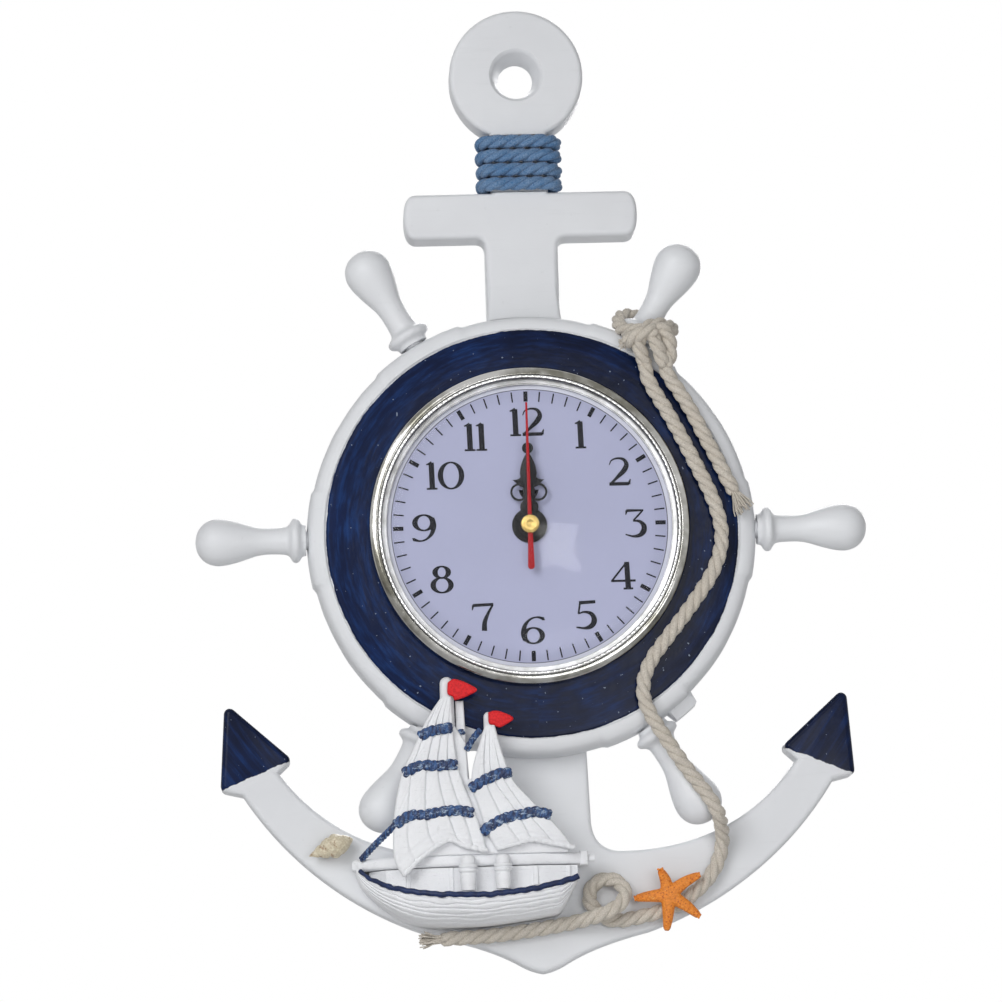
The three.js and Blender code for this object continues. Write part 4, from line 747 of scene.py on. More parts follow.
def anchor_finish():
    settings = bpy.context.scene.clock_castings
    f = Finish("anchor_paint", 0.4, Specular_IOR_Level=0.1)
    base, brush = resin_base(f, settings.resin, 0.25)
    # the flukes get only a faint painted sheen towards the left
    paint, _, _ = navy_paint(f, settings.navy, 0.08)
    x, y, z = f.apart(f.stretched())
    along = np.array(FLUKE_OUT) - np.array(FLUKE_IN)
    across = np.array([-along[1], along[0]]) / np.linalg.norm(along)
    level = float(np.dot(across, FLUKE_IN))
    reach = f.maths("ADD", f.maths("MULTIPLY", f.maths("ABSOLUTE", x), float(across[0])),
                    f.maths("MULTIPLY", z, float(across[1])))
    edge = f.maths("ADD", reach, f.maths("MULTIPLY", f.noise(0.3, 3), 1.6))
    head = f.eased(edge, level + 0.55, level + 0.85)
    outside = f.eased(f.maths("ABSOLUTE", x), 80, 81)
    front = f.eased(f.maths("ADD", y, f.maths("MULTIPLY", f.noise(0.4, 2), 2)), -1.2, -1.6)
    mask = f.maths("MULTIPLY", f.maths("MULTIPLY", head, outside), front)
    f.colour(f.blend(mask, base, paint))
    f.rough(f.eased(mask, 0, 1, 0.42, 0.24))
    f.bump(f.noise(0.18, 3, 0.55), 0.25, 0.25)
    return f.bump(brush, 0.3, 0.06)


def wheel_finish():
    settings = bpy.context.scene.clock_castings
    f = Finish("wheel_paint", 0.4, Specular_IOR_Level=0.09)
    base, _ = resin_base(f, settings.resin, 0.35)
    # the band gets the full painted sheen towards the left
    paint, streak, radius = navy_paint(f, settings.navy)
    y = f.apart(f.stretched())["Y"]
    edge = f.maths("ADD", radius, f.maths("MULTIPLY", f.noise(0.16, 4, 0.6), 1.1))
    inside = f.eased(edge, NAVY_R + 0.65, NAVY_R + 0.4)
    front = f.eased(y, WHEEL_BACK - 3, WHEEL_BACK - 3.5)
    mask = f.maths("MULTIPLY", inside, front)
    f.colour(f.blend(mask, base, paint))
    f.rough(f.maths("ADD", f.eased(mask, 0, 1, 0.42, 0.16), f.maths("MULTIPLY", streak, 0.12)))
    f.bump(f.noise(0.14, 3, 0.55), 0.3, 0.3)
    return f.bump(streak, 0.35, 0.12)


def yarn_finish(name, colour, roughness, speck, sheen):
    """Spun yarn: short fibres across the strand, some darker and some paler, with soft clouds."""
    f = Finish(name, roughness, Sheen_Weight=sheen, Sheen_Roughness=0.5, Specular_IOR_Level=0.2)
    fibre = f.noise(2.2, 5, 0.7)
    cloud = f.noise(0.12, 2, 0.5)
    base = f.blend(f.eased(fibre, 0.3, 0.7), shade(colour, 0.72), tint(colour, (1, 1, 1), 0.18))
    base = f.blend(f.eased(cloud, 0.4, 0.7, 0, 0.4), base, speck)
    f.colour(base)
    f.bump(fibre, 0.6, 0.2)
    return f.bump(f.noise(6, 3, 0.6), 0.5, 0.08)


def rope_finish():
    colour = bpy.context.scene.clock_ropes.rope
    return yarn_finish("cotton_rope", colour, 0.88, shade(colour, 0.86), 0.25)


def cord_finish():
    colour = bpy.context.scene.clock_ropes.cord
    return yarn_finish("blue_cord", colour, 0.86, tint(colour, (0.02, 0.1, 0.26), 0.5), 0.2)


# Castings


def neck_section(grow=0.0, steps=6):
    """The neck's rounded oblong about its own middle, as [x, y] points."""
    width, depth = NECK_HALF + grow, NECK_DEPTH / 2 + grow
    return np.array(round_box(-width, width, -depth, depth, NECK_CORNER + grow, steps))


def neck_bar():
    ends = (NECK_BOTTOM - 2, EYE_HEIGHT - 12.7)
    return surface([[(x, NECK_Y + y, z) for x, y in neck_section()] for z in ends])


def anchor_outline():
    root = math.degrees(-math.acos(CROWN_HALF / ARM_R))
    root_point = (CROWN_HALF, ARM_Z + ARM_R * math.sin(math.radians(root)))
    stock_end = STOCK_HALF_LENGTH - STOCK_BOW
    bottom, top = STOCK_MID - STOCK_HALF_HEIGHT, STOCK_MID + STOCK_HALF_HEIGHT
    half = Outline(0, CROWN_TIP_Z)
    half.bend(4, CROWN_TIP_Z + 0.6, 8, CROWN_TIP_Z + 3)
    half.bend(CROWN_HALF / 2, CROWN_TIP_Z + 9, *root_point)
    half.arc(0, ARM_Z, ARM_R, root, ARM_END_ANGLE, 1.5)
    half.corner(FLUKE_OUT, FLUKE_TOP, FLUKE_CORNER)
    half.corner(FLUKE_TOP, FLUKE_IN, FLUKE_CORNER)
    half.corner(FLUKE_IN, ARM_END_IN, FLUKE_CORNER)
    half.line(*ARM_END_IN)
    half.bend(ARM_INNER_BEND_X, ARM_INNER_Z, ARM_INNER_X, ARM_INNER_Z, 40)
    half.bend(TRUNK_HALF + 1.5, ARM_INNER_Z, TRUNK_HALF + 0.8, ARM_INNER_Z + 10)
    trunk_end = -math.degrees(math.acos(TRUNK_HALF / RING_R))
    shank_start = math.degrees(math.acos(SHANK_HALF / RING_R))
    half.arc(0, 0, RING_R, trunk_end, shank_start, 2.5)
    half.line(SHANK_HALF, bottom - SHANK_FILLET)
    half.bend(SHANK_HALF, bottom, SHANK_HALF + SHANK_FILLET, bottom)
    half.line(stock_end - STOCK_BOW / 2, bottom)
    half.bend(stock_end + STOCK_BOW, bottom, STOCK_HALF_LENGTH, STOCK_MID)
    half.bend(stock_end + STOCK_BOW, top, stock_end - STOCK_BOW / 2, top)
    half.line(NECK_HALF, top)
    eye_start = math.degrees(-math.acos(NECK_HALF / EYE_R))
    half.arc(0, EYE_HEIGHT, EYE_R, eye_start, 90, 3)
    return half.mirrored()


def shank_flare():
    """The hollow ramp on which the shank rises to the rim; its sides spread where it meets it."""
    top, bottom = RING_R + 24, RING_R - 1.0
    rows = []
    for t in np.linspace(0, 1, 36):
        z = top + (bottom - top) * t
        front = -ANCHOR_T + 0.2 - 9.4 * t ** 2.5
        spread = SHANK_HALF - ANCHOR_EDGE + (ANCHOR_EDGE - 0.1) * min(1, 1.6 * t)
        spread += 2.4 * max(0, (t - 0.62) / 0.38) ** 2
        edge = 0.2 + 2.2 * t
        half = [(spread, -6)]
        for angle in np.radians(np.linspace(0, 90, 7)):
            half.append((spread - edge * (1 - math.cos(angle)), front + edge * (1 - math.sin(angle))))
        rows.append([(-x, y, z) for x, y in half] + [(x, y, z) for x, y in half[::-1]])
    return surface(rows)


def rim_profile(grow=0.0):
    """Outside of the wheel's rim, from its back to the navy band, as [radius, y]."""
    points = [
        (WHEEL_R + 0.2 + grow, WHEEL_BACK + grow),
        (WHEEL_R + grow, WHEEL_FRONT + 6),
        (WHEEL_R - 0.5 + grow, WHEEL_FRONT + 3.2),
        (WHEEL_R - 1.5 + grow, WHEEL_FRONT + 1.4 - grow),
        (WHEEL_R - 3.2 + grow, WHEEL_FRONT + 0.35 - grow),
        (NAVY_R + 0.6, WHEEL_FRONT - grow),
    ]
    return rounded_profile(points, 1.4)


# The eye's tapered hole and its rounded lips, as [radius, y].
EYE_HOLE = (
    (0, 2), (6.6, 2), (6.5, 0.2), (6.1, -0.6), (6.05, -1.2), (8.2, -10.4), (8.7, -11.4), (9.5, -12),
    (11, -12.3), (11, -14), (0, -14),
)


class CLOCK_OT_anchor(bpy.types.Operator):
    """Cast the anchor: eye, neck, stock, shank, arms and flukes"""

    bl_idname = "clock.anchor"
    bl_label = "Anchor"

    def execute(self, context):
        body = new_piece("anchor_body", plate(anchor_outline(), 0, -ANCHOR_T, ANCHOR_EDGE, 6, 0.4))
        corners = ((-30, 5), (30, 5), (30, -30), (-30, -30))
        notch = [[(x, y, z) for x, y in corners] for z in (NECK_BOTTOM, NECK_TOP)]
        bore = disc(RING_BORE_R, 2, -ANCHOR_T - 2, sides=160)
        body = combined(body, "DIFFERENCE", [new_piece("notch", surface(notch)), new_piece("bore", bore)])
        room = [(0, WHEEL_BACK + SEAT_GAP), *rim_profile(SEAT_GAP), (0, WHEEL_FRONT - 12)]
        rim = lathe(room, sides=240)
        flare = combined(new_piece("flare", shank_flare()), "DIFFERENCE", [new_piece("rim", rim)])
        body = combined(body, "UNION", [new_piece("neck", neck_bar()), flare])
        hole = new_piece("eye_cut", lathe(EYE_HOLE, 0, EYE_HEIGHT, 96))
        body = combined(body, "DIFFERENCE", [hole], 32)
        body.name = "anchor"
        dress(body, finish_of(anchor_finish), "clock", "white_resin", "anchor_casting")
        return {"FINISHED"}


class CLOCK_OT_wheel(bpy.types.Operator):
    """Cast the ship's wheel: white rim, navy band and a block behind each handle"""

    bl_idname = "clock.wheel"
    bl_label = "Wheel"

    def execute(self, context):
        sides = context.scene.clock_castings.rim_sides
        groove = beside(NAVY_R, WHEEL_FRONT, (0.35, 0.1), (0.1, 0.45), (-0.25, 0.4), (-0.6, 0.02))
        band = beside(0, WHEEL_FRONT, (68, -0.12), (64, -0.18), (60, -0.14), (56.5, -0.05), (53.5, 0))
        bore = [(RING_BORE_R, WHEEL_FRONT), (RING_BORE_R, WHEEL_BACK)]
        profile = np.array([*rim_profile(), *groove, *band, *bore])
        angles = np.linspace(0, 360, sides, endpoint=False)
        rng = np.random.default_rng(7)
        wave = sum(
            a * np.sin(np.radians(k * angles + p))
            for k, a, p in zip((3, 7, 13, 29, 53), (0.12, 0.1, 0.07, 0.05, 0.03), rng.uniform(0, 360, 5))
        )
        rows = []
        for radius, y in profile:
            outer = clamp((radius - 70) / 5)
            row = []
            for clock_angle, w in zip(angles, wave):
                off = abs(clock_angle % 60 - 30)
                near = clamp(BLOCK_HALF_ANGLE + 0.5 - off)
                near = near * near * (3 - 2 * near)
                lug = 1.0 if LUG_ANGLES[0] < clock_angle < LUG_ANGLES[1] else 0.0
                r = radius + outer * (near * (BLOCK_R - WHEEL_R - 0.1) + 0.6 * w * (1 - near))
                r += lug * outer * (LUG_R - WHEEL_R - 0.3) * clamp((y + 20) / 2)
                lift = near * BLOCK_RISE * clamp((radius - NAVY_R) / 0.9) * (y < WHEEL_FRONT + 4)
                a = math.radians(clock_angle)
                row.append((r * math.sin(a), y - 0.85 * lift, r * math.cos(a)))
            rows.append(row)
        rows.append(rows[0])
        wheel = new_piece("ship_wheel", surface(rows, caps=False), 30)
        bore = disc(INSERT_BORE_R, -10, WHEEL_FRONT - 5, INSERT_X, INSERT_Z, sides=160)
        cutters = [new_piece("bore", bore)]
        for clock_angle in range(30, 390, 60):
            bottom, top, radius = BLOCK_R - SPIGOT_LENGTH - 1, BLOCK_R + 6, SPIGOT_R + 0.3
            socket = [(0, bottom), (radius, bottom), (radius, top), (0, top)]
            cutters.append(new_piece("socket", spoke_lathe(socket, clock_angle, 32)))
        wheel = combined(wheel, "DIFFERENCE", cutters, 30)
        dress(wheel, finish_of(wheel_finish), "clock", "white_resin", "wheel_casting")
        return {"FINISHED"}


def spoke_lathe(profile, clock_angle, sides=48):
    """A shape turned about a handle's axis. The profile holds [radius, distance from the wheel's axis]."""
    a = math.radians(clock_angle)
    out = np.array([math.sin(a), 0, math.cos(a)])
    side = np.array([math.cos(a), 0, -math.sin(a)])
    stations = [(out * along + ALONG_Y * HANDLE_Y, radius) for radius, along in profile]
    return surface(hoops(stations, side, -ALONG_Y, sides), caps=False)


# Distance from the handle's root and radius there: base, bead, neck and egg-shaped knob.
HANDLE_PROFILE = (
    (0, 5.2), (0.6, 5.35), (1.2, 5.5), (1.7, 6), (2.2, 6.9), (2.8, 7.45), (3.6, 7.65), (4.4, 7.4), (5, 6.6),
    (5.6, 5.6), (6.3, 5), (7.5, 4.7), (9.5, 4.55), (12, 4.5), (14.5, 4.6), (17, 5), (19.5, 5.75),
    (22, 6.55), (24.5, 7.25), (27, 7.8), (29.2, 8.05), (31, 7.95), (32.8, 7.45), (34.4, 6.6), (35.7, 5.4),
    (36.7, 3.9), (37.3, 2.2), (37.6, 0),
)


class CLOCK_OT_handles(bpy.types.Operator):
    """Turn the six handles of the wheel"""

    bl_idname = "clock.handles"
    bl_label = "Handles"

    def execute(self, context):
        root = BLOCK_R + SEAT_GAP
        tip = smooth_path([(r, s, 0) for s, r in HANDLE_PROFILE], 0.7)[:, :2]
        tip[-1][0] = 0.0
        spigot = [(0, -SPIGOT_LENGTH), (SPIGOT_R - 0.4, -SPIGOT_LENGTH), (SPIGOT_R, -SPIGOT_LENGTH + 0.4),
                  (SPIGOT_R, 0)]
        profile = [(r, root + s) for r, s in [*spigot, *tip.tolist()]]
        for i in range(6):
            shape = spoke_lathe(profile, 30 + 60 * i, 56)
            build(f"turned_handle_{i + 1}", shape, 40, white_resin, "white_resin", f"handle_{i + 1}")
        return {"FINISHED"}


# Cords


def level(y, *points):
    """Points at one depth, from their [x, z]."""
    return [(x, y, z) for x, z in points]


# Rope centre lines: on the wheel's face, over the lower handle, down to the arm and along it.
INNER_RUN = (
    *level(-27.4,
        (40, 58.4), (40.6, 52.5), (42.6, 47.8), (47, 40), (52, 30.2), (56.6, 20.5), (60.5, 12),
        (63, 4.5), (64, -2.5), (63, -9.5), (60, -16.5), (55.5, -23.2), (50, -30.5), (44, -38),
        (38.7, -45), (35.9, -51.5), (35.6, -58)),
    (37.5, -27.9, -63.5), (41, -28.4, -69.7), (45, -27.9, -76), (49, -27.2, -82), (53, -27.7, -87.6),
    (56.2, -28.4, -92.2), (59, -27.3, -97), (60.5, -22, -101.2), (61.2, -17.2, -105.5),
    (60.4, -15, -110.5),
    *level(-14.9,
        (58, -115.8), (54, -120.7), (48, -125.5), (40.5, -128.9), (32.5, -130.8), (25.5, -131.8),
        (21, -131), (17.6, -128.2), (15.6, -124.4), (16.6, -120.4)),
    (19.9, -15.1, -118.1), (24, -16.3, -118.3), (26.9, -18.3, -121), (27, -20.2, -124.6),
    (24.1, -20.9, -127.7), (19.5, -20.3, -129.8), (14.3, -17.6, -131.3), (7, -15, -132.6),
    *level(-14.9,
        (-3.5, -134.2), (-17.5, -135.7), (-28, -136.2), (-34.5, -136.4)),
)
OUTER_RUN = level(
    -27.4, (46.4, 60.4), (46.9, 55.5), (48.4, 51.5), (50.9, 47.6), (55, 40.5), (59.5, 31.2), (64, 22),
    (66.6, 16.2), (69, 11.6),
)
# Turns round the handle's neck that come forward over its bead, then the strands of the hitch over them.
COLLAR_TURNS = (
    ((48.6, -13.6, 70.6), (43.6, -9.9, 74.4), (38.2, -10.6, 76.8), (33.6, -14.6, 75.8), (32.2, -20.4, 72),
     (34, -26, 68.6), (37.8, -30, 67.8), (41.6, -31.8, 66.4), (43.8, -31.9, 63), (45.2, -30.4, 59.4),
     (46.6, -28.6, 56)),
    ((43, -9.8, 73.4), (47.4, -12, 71.2), (49.8, -17.4, 69.6), (49.9, -23.6, 69.4), (47.4, -28.2, 69.6),
     (43.6, -30.2, 69.6), (39.8, -31.2, 67.4), (38, -31, 63.4), (38.8, -29.4, 59.8), (39.9, -28, 57)),
)
HITCH_TURNS = (
    ((43.4, -31.6, 68.6), (46.4, -31.6, 67.6), (48.2, -30.6, 64.8), (48.8, -29.4, 61.4), (48.4, -28.2, 58.2),
     (47, -27.6, 55.6)),
    ((43.6, -33, 67.2), (40.8, -33.6, 66.6), (38.2, -33.4, 65.8), (35.9, -31.8, 64.9), (34, -29.4, 63.9)),
)


class CLOCK_OT_ropes(bpy.types.Operator):
    """Lay the two cotton ropes, their hitch and the turn round the handle"""

    bl_idname = "clock.ropes"
    bl_label = "Ropes"

    def execute(self, context):
        pitch = context.scene.clock_ropes.rope_pitch
        for name, node, run, seed, spread in (
            ("long_rope", "rope_long", INNER_RUN, 3, 2), ("short_rope", "rope_short", OUTER_RUN, 5, 3),
        ):
            line = smooth_path(run, 0.45)
            heading = line[-1] - line[-4]
            fray = loose_fibres(line[-1], heading, 44, 8, spread, seed)
            rope = new_piece(name, together(laid_rope(line, ROPE_R, pitch), fray), 60)
            dress(rope, finish_of(rope_finish), "clock", "rope", node)

        def hitched(turns):
            return [
                laid_rope(smooth_path(turn, 0.45), ROPE_R, pitch, turn=i, ends=0.6)
                for i, turn in enumerate(turns)
            ]

        build("rope_turns", together(*hitched(COLLAR_TURNS)), 60, rope_finish, "rope", "rope_collar")
        end, heading = HITCH_TURNS[1][-1], np.diff(HITCH_TURNS[1][-2:], axis=0)[0]
        fray = loose_fibres(end, heading, 26, 3.4, 1.7, 8)
        build("rope_hitch", together(*hitched(HITCH_TURNS), fray), 60, rope_finish, "rope", "rope_knot")
        return {"FINISHED"}


class CLOCK_OT_neck_cord(bpy.types.Operator):
    """Wind the blue cord four times round the neck"""

    bl_idname = "clock.neck_cord"
    bl_label = "Neck cord"

    def execute(self, context):
        margin = SEAT_GAP + CORD_PLAY + CORD_R
        section = neck_section(margin, 12)
        start = int(np.argmax(section[:, 1] - 0.001 * np.abs(section[:, 0])))
        loop = np.vstack([section[start:], section[:start], section[start:start + 1]])
        loop[0] = loop[-1] = (0, loop[0][1])
        first_row = NECK_BOTTOM + margin + CORD_PITCH * (CORD_ROWS - 1)
        along = distances(loop)
        line = []
        for turn in np.linspace(CORD_CROSSING, CORD_ROWS - CORD_CROSSING, 900):
            nearest = round(turn)
            crossed = clamp((turn - nearest) / CORD_CROSSING, -1)
            where = (turn % 1) * along[-1]
            x, y = np.interp(where, along, loop[:, 0]), np.interp(where, along, loop[:, 1])
            line.append((x, NECK_Y + y, first_row - CORD_PITCH * (nearest - 0.5 + crossed / 2)))
        line = resampled(line, 0.4)
        pitch = context.scene.clock_ropes.cord_pitch
        rows = laid_rope(line, CORD_R * 1.02, pitch, 16, 4)
        build("blue_cord", rows, 60, cord_finish, "blue_cord", "neck_cord")
        return {"FINISHED"}


# Clock insert

BEZEL_R = 54.5
BEZEL_BACK = -24.5
BEZEL_FRONT = -28.8
SIGHT_R = 48.6
DIAL_R = 49.8
DIAL_BACK = -24.1
DIAL_FRONT = -24.6
LENS_R = 49.9
LENS_FOOT = -26.2
LENS_APEX = -32.2
LENS_T = 1.1
LENS_DOME_R = 560.0
BUSH_R = 3.6
BEADS = 150
BORDER_R = 47.0
TICK_R = 44.6
TICK_LENGTH = 3.5
NUMERAL_R = 35.8
NUMERAL_HEIGHT = 9.6
NUMERAL_GAP = 0.06
PRINT_T = 0.06
PEN_WEIGHT = 1.13
# How far an hour's numeral sits from the even circle, in mm across and up.
NUMERAL_SHIFT = {7: (1.2, 0.0), 8: (0.7, 0.3), 10: (2.8, 0.1)}


def chrome():
    """Plated steel, painted as lit and shaded copies: the broad outer band is painted darker, mottled with
    painted reflections and lighter at its outer edge, and painted shade lines darken the groove beside the
    beads and the foot of the bead ring.
    """
    f = Finish("bright_metal", 0.13, Metallic=1)
    radius = f.insert_radius()
    # painted reflection: the broad band is painted darker than the bright ring, and mottled lighter and
    # darker
    painted_reflection_mottle = f.noise(0.035, 4, 0.65)
    band = f.blend(f.eased(painted_reflection_mottle, 0.38, 0.62), (0.15, 0.145, 0.12), (0.46, 0.455, 0.44))
    bright = f.blend(f.eased(f.noise(0.15, 3), 0.35, 0.7), (0.52, 0.52, 0.51), (0.76, 0.76, 0.77))
    base = f.blend(f.eased(radius, BEZEL_R - 2.95, BEZEL_R - 2.7), bright, band)
    # painted highlight: the outer edge of the band is painted lighter
    base = f.blend(f.eased(radius, BEZEL_R - 0.75, BEZEL_R - 0.35, 0, 0.5), base, bright)
    # painted shade: near-black lines in the groove beside the beads and where the bead ring meets the wall by
    # the lens
    for middle in (BEZEL_R - 2.9, BEZEL_R - 4.15):
        near = f.maths("ABSOLUTE", f.maths("SUBTRACT", radius, middle))
        base = f.blend(f.eased(near, 0.08, 0.2, 0.85, 0), base, (0.05, 0.05, 0.048))
    f.colour(base)
    # the wall beside the lens is left dull
    dull = f.eased(radius, BEZEL_R - 4, BEZEL_R - 4.3, 0, 0.4)
    f.rough(f.maths("ADD", dull, f.eased(f.noise(0.7, 4, 0.65), 0.4, 0.75, 0.1, 0.26)))
    return f.bump(f.noise(0.3, 3), 0.3, 0.08)


def lens_clear():
    """Clear plastic that lets the lamps reach the dial."""
    f = Finish("clear_lens", 0.015, Transmission_Weight=1, IOR=1.13)
    f.colour((0.985, 0.99, 1))
    rays = f.add("ShaderNodeLightPath").outputs
    through = f.add("ShaderNodeBsdfTransparent")
    mix = f.add("ShaderNodeMixShader")
    f.put(mix, 0, rays["Is Shadow Ray"])
    f.put(mix, 1, f.shader.outputs[0])
    f.put(mix, 2, through.outputs[0])
    f.put(f.tree.nodes["Material Output"], "Surface", mix.outputs[0])
    return f


def dial_paper():
    settings = bpy.context.scene.clock_dial
    f = Finish("dial_paper", 0.55, Specular_IOR_Level=0.1)
    radius = f.insert_radius()
    cloud = f.noise(0.03, 3, 0.5)
    base = f.blend(f.eased(cloud, 0.3, 0.7), settings.paper, shade(settings.paper, 0.965))
    # painted shade: the paper is painted darker towards the bezel; painted light: the border under the
    # shoulder of the lens is paler, and a painted dark line, where the lens's edge bends the light, divides
    # it from the ticks
    base = f.blend(f.eased(radius, BORDER_R - 6, BORDER_R, 0, 0.35), base, shade(settings.paper, 0.7))
    base = f.blend(f.eased(radius, BORDER_R, BORDER_R + 0.15), base, (0.62, 0.63, 0.72))
    line = f.maths("ABSOLUTE", f.maths("SUBTRACT", radius, BORDER_R))
    f.colour(f.blend(f.eased(line, 0.1, 0.2, 0.9, 0), base, (0.1, 0.1, 0.12)))
    return f.bump(f.noise(3, 3, 0.6), 0.15, 0.02)


def printed_black():
    f = Finish("printed_black", 0.5, Specular_IOR_Level=0.15)
    f.colour(f.blend(f.eased(f.noise(2, 3), 0.35, 0.7), (0.008, 0.008, 0.012), (0.02, 0.02, 0.026)))
    return f.bump(f.noise(4, 2), 0.1, 0.01)


def painted(name, colour, roughness, grain=0.25):
    """Sprayed paint on stamped metal."""
    f = Finish(name, roughness, Specular_IOR_Level=0.2)
    f.colour(f.blend(f.eased(f.noise(0.6, 4), 0.35, 0.7), colour, shade(colour, 0.8)))
    return f.bump(f.noise(3.5, 3), grain, 0.03)


def hand_black():
    return painted("hand_black", (0.012, 0.012, 0.014), 0.35)


def hand_red():
    return painted("hand_red", (0.42, 0.012, 0.018), 0.38)


def brass():
    f = Finish("brass", 0.2, Metallic=1)
    f.colour(f.blend(f.eased(f.noise(0.9, 4), 0.3, 0.75), (0.8, 0.6, 0.22), (0.62, 0.42, 0.13)))
    return f.bump(f.noise(2.5, 3), 0.15, 0.03)


def pen(points, *width):
    """A stroke through some points, with its width at even steps along it, in hundredths."""
    line = [(x / 100, 0, z / 100) for x, z in points]
    width = np.array(width) / 100
    line = (smooth_path if len(points) > 2 else resampled)(line, 0.02)[:, [0, 2]]
    tangent = np.gradient(line, axis=0)
    tangent /= np.linalg.norm(tangent, axis=1, keepdims=True)
    normal = np.stack([-tangent[:, 1], tangent[:, 0]], 1)
    half = np.interp(np.linspace(0, 1, len(line)), np.linspace(0, 1, len(width)), width) / 2 * PEN_WEIGHT
    return np.vstack([line + normal * half[:, None], (line - normal * half[:, None])[::-1]])


def bowl(x, z, across, up):
    """A closed round stroke: outer and inner edge as one band that meets itself at the top."""
    turn = np.radians(np.linspace(90, 450, 73))
    outer = np.stack([x + across * np.cos(turn), z + up * np.sin(turn)], 1)
    inner = np.stack([x + (across - 0.19) * np.cos(turn), z + (up - 0.06) * np.sin(turn)], 1)
    return outer, inner


# Each digit's width, strokes and closed rings, in a box one high. A nine is a six turned over.
NUMERALS = {
    "1": (0.36, [
        pen([(24, 3), (22, 97)], 17),
        pen([(4, 90), (14, 92.5), (24, 97.5)], 4, 7, 10),
        pen([(4, 3), (42, 3)], 6),
    ], []),
    "2": (0.82, [
        pen([(8, 74), (16, 90), (38, 97.5), (60, 92), (69, 74), (60, 54), (38, 32), (12, 7)],
            3, 5, 7, 12, 17, 14, 9, 7),
        pen([(6, 5.5), (76, 5.5)], 11),
        pen([(75, 4), (81, 22)], 10, 3),
    ], []),
    "3": (0.8, [
        pen([(12, 95), (72, 95)], 9, 6),
        pen([(13, 96), (9, 80)], 8, 3),
        pen([(70, 95), (52, 76), (36, 60)], 5, 6, 5),
        pen([(34, 58), (56, 56), (71, 42), (72, 24), (58, 7), (34, 2.5), (6, 10)], 5, 9, 16, 18, 11, 6, 4),
    ], []),
    "4": (0.88, [
        pen([(60, 97), (7, 33)], 6),
        pen([(3, 31), (90, 31)], 7),
        pen([(60, 98), (63, 3)], 16, 17),
        pen([(46, 3), (80, 3)], 6),
    ], []),
    "5": (0.82, [
        pen([(20, 93), (78, 95.5)], 11, 10),
        pen([(24, 95), (17, 54)], 6),
        pen([(16, 54), (38, 60), (62, 53), (72, 34), (66, 14), (44, 3), (8, 6)], 4, 7, 13, 18, 15, 7, 5),
    ], []),
    "6": (0.92, [
        pen([(84, 90), (62, 95.5), (40, 90), (20, 70), (12, 40), (18, 14)], 10, 5, 7, 13, 16, 15),
        pen([(84, 84), (84, 95)], 10, 4),
    ], [bowl(0.47, 0.305, 0.41, 0.305)]),
    "7": (0.86, [
        pen([(8, 93), (80, 95.5)], 10, 9),
        pen([(9, 94), (5, 76)], 8, 3),
        pen([(78, 94), (60, 62), (48, 32), (46, 2)], 6, 9, 14, 17),
    ], []),
    "8": (0.88, [], [bowl(0.44, 0.745, 0.33, 0.235), bowl(0.44, 0.285, 0.41, 0.295)]),
    "0": (0.98, [], [bowl(0.49, 0.49, 0.47, 0.5)]),
}


def strip_between(outer, inner, back, front):
    """A closed ring plate between two edges with as many points."""
    rows = []
    for edge, y in ((outer, back), (outer, front), (inner, front), (inner, back)):
        rows.append(np.stack([edge[:-1, 0], np.full(len(edge) - 1, y), edge[:-1, 1]], 1))
    return surface([*rows, rows[0]], caps=False)


def numeral(text, x, z):
    """The plates of an hour's upright digits, centred on a point of the dial."""
    digits = [(d == "9", *NUMERALS["6" if d == "9" else d]) for d in text]
    start = -(sum(width for _, width, _, _ in digits) + NUMERAL_GAP * (len(digits) - 1)) / 2
    parts = []
    for turned, width, strokes, bowls in digits:

        def placed(points):
            u, v = points.T
            if turned:
                u, v = width - u, 1.0 - v
            return np.stack([x + (start + u) * NUMERAL_HEIGHT, z + (v - 0.5) * NUMERAL_HEIGHT], 1)

        for shape in (*strokes, *bowls):
            # each stroke is a hair thicker than the last one, so that no two faces lie in one plane
            back, front = DIAL_FRONT + 0.02, DIAL_FRONT - PRINT_T - 0.004 * len(parts)
            if isinstance(shape, tuple):
                parts.append(strip_between(*map(placed, shape), back, front))
            else:
                parts.append(plate(placed(shape), back, front))
        start += width + NUMERAL_GAP
    return parts


class DialSettings(bpy.types.PropertyGroup):
    paper: FloatVectorProperty(
        name="Paper", description="Colour of the dial", subtype="COLOR", size=3,
        default=(0.45, 0.465, 0.635),
    )
    hour_tick: FloatProperty(name="Hour tick", description="Width of an hour's tick, in mm", default=1.4)
    minute_tick: FloatProperty(
        name="Minute tick", description="Width of a minute's tick, in mm", default=0.48
    )


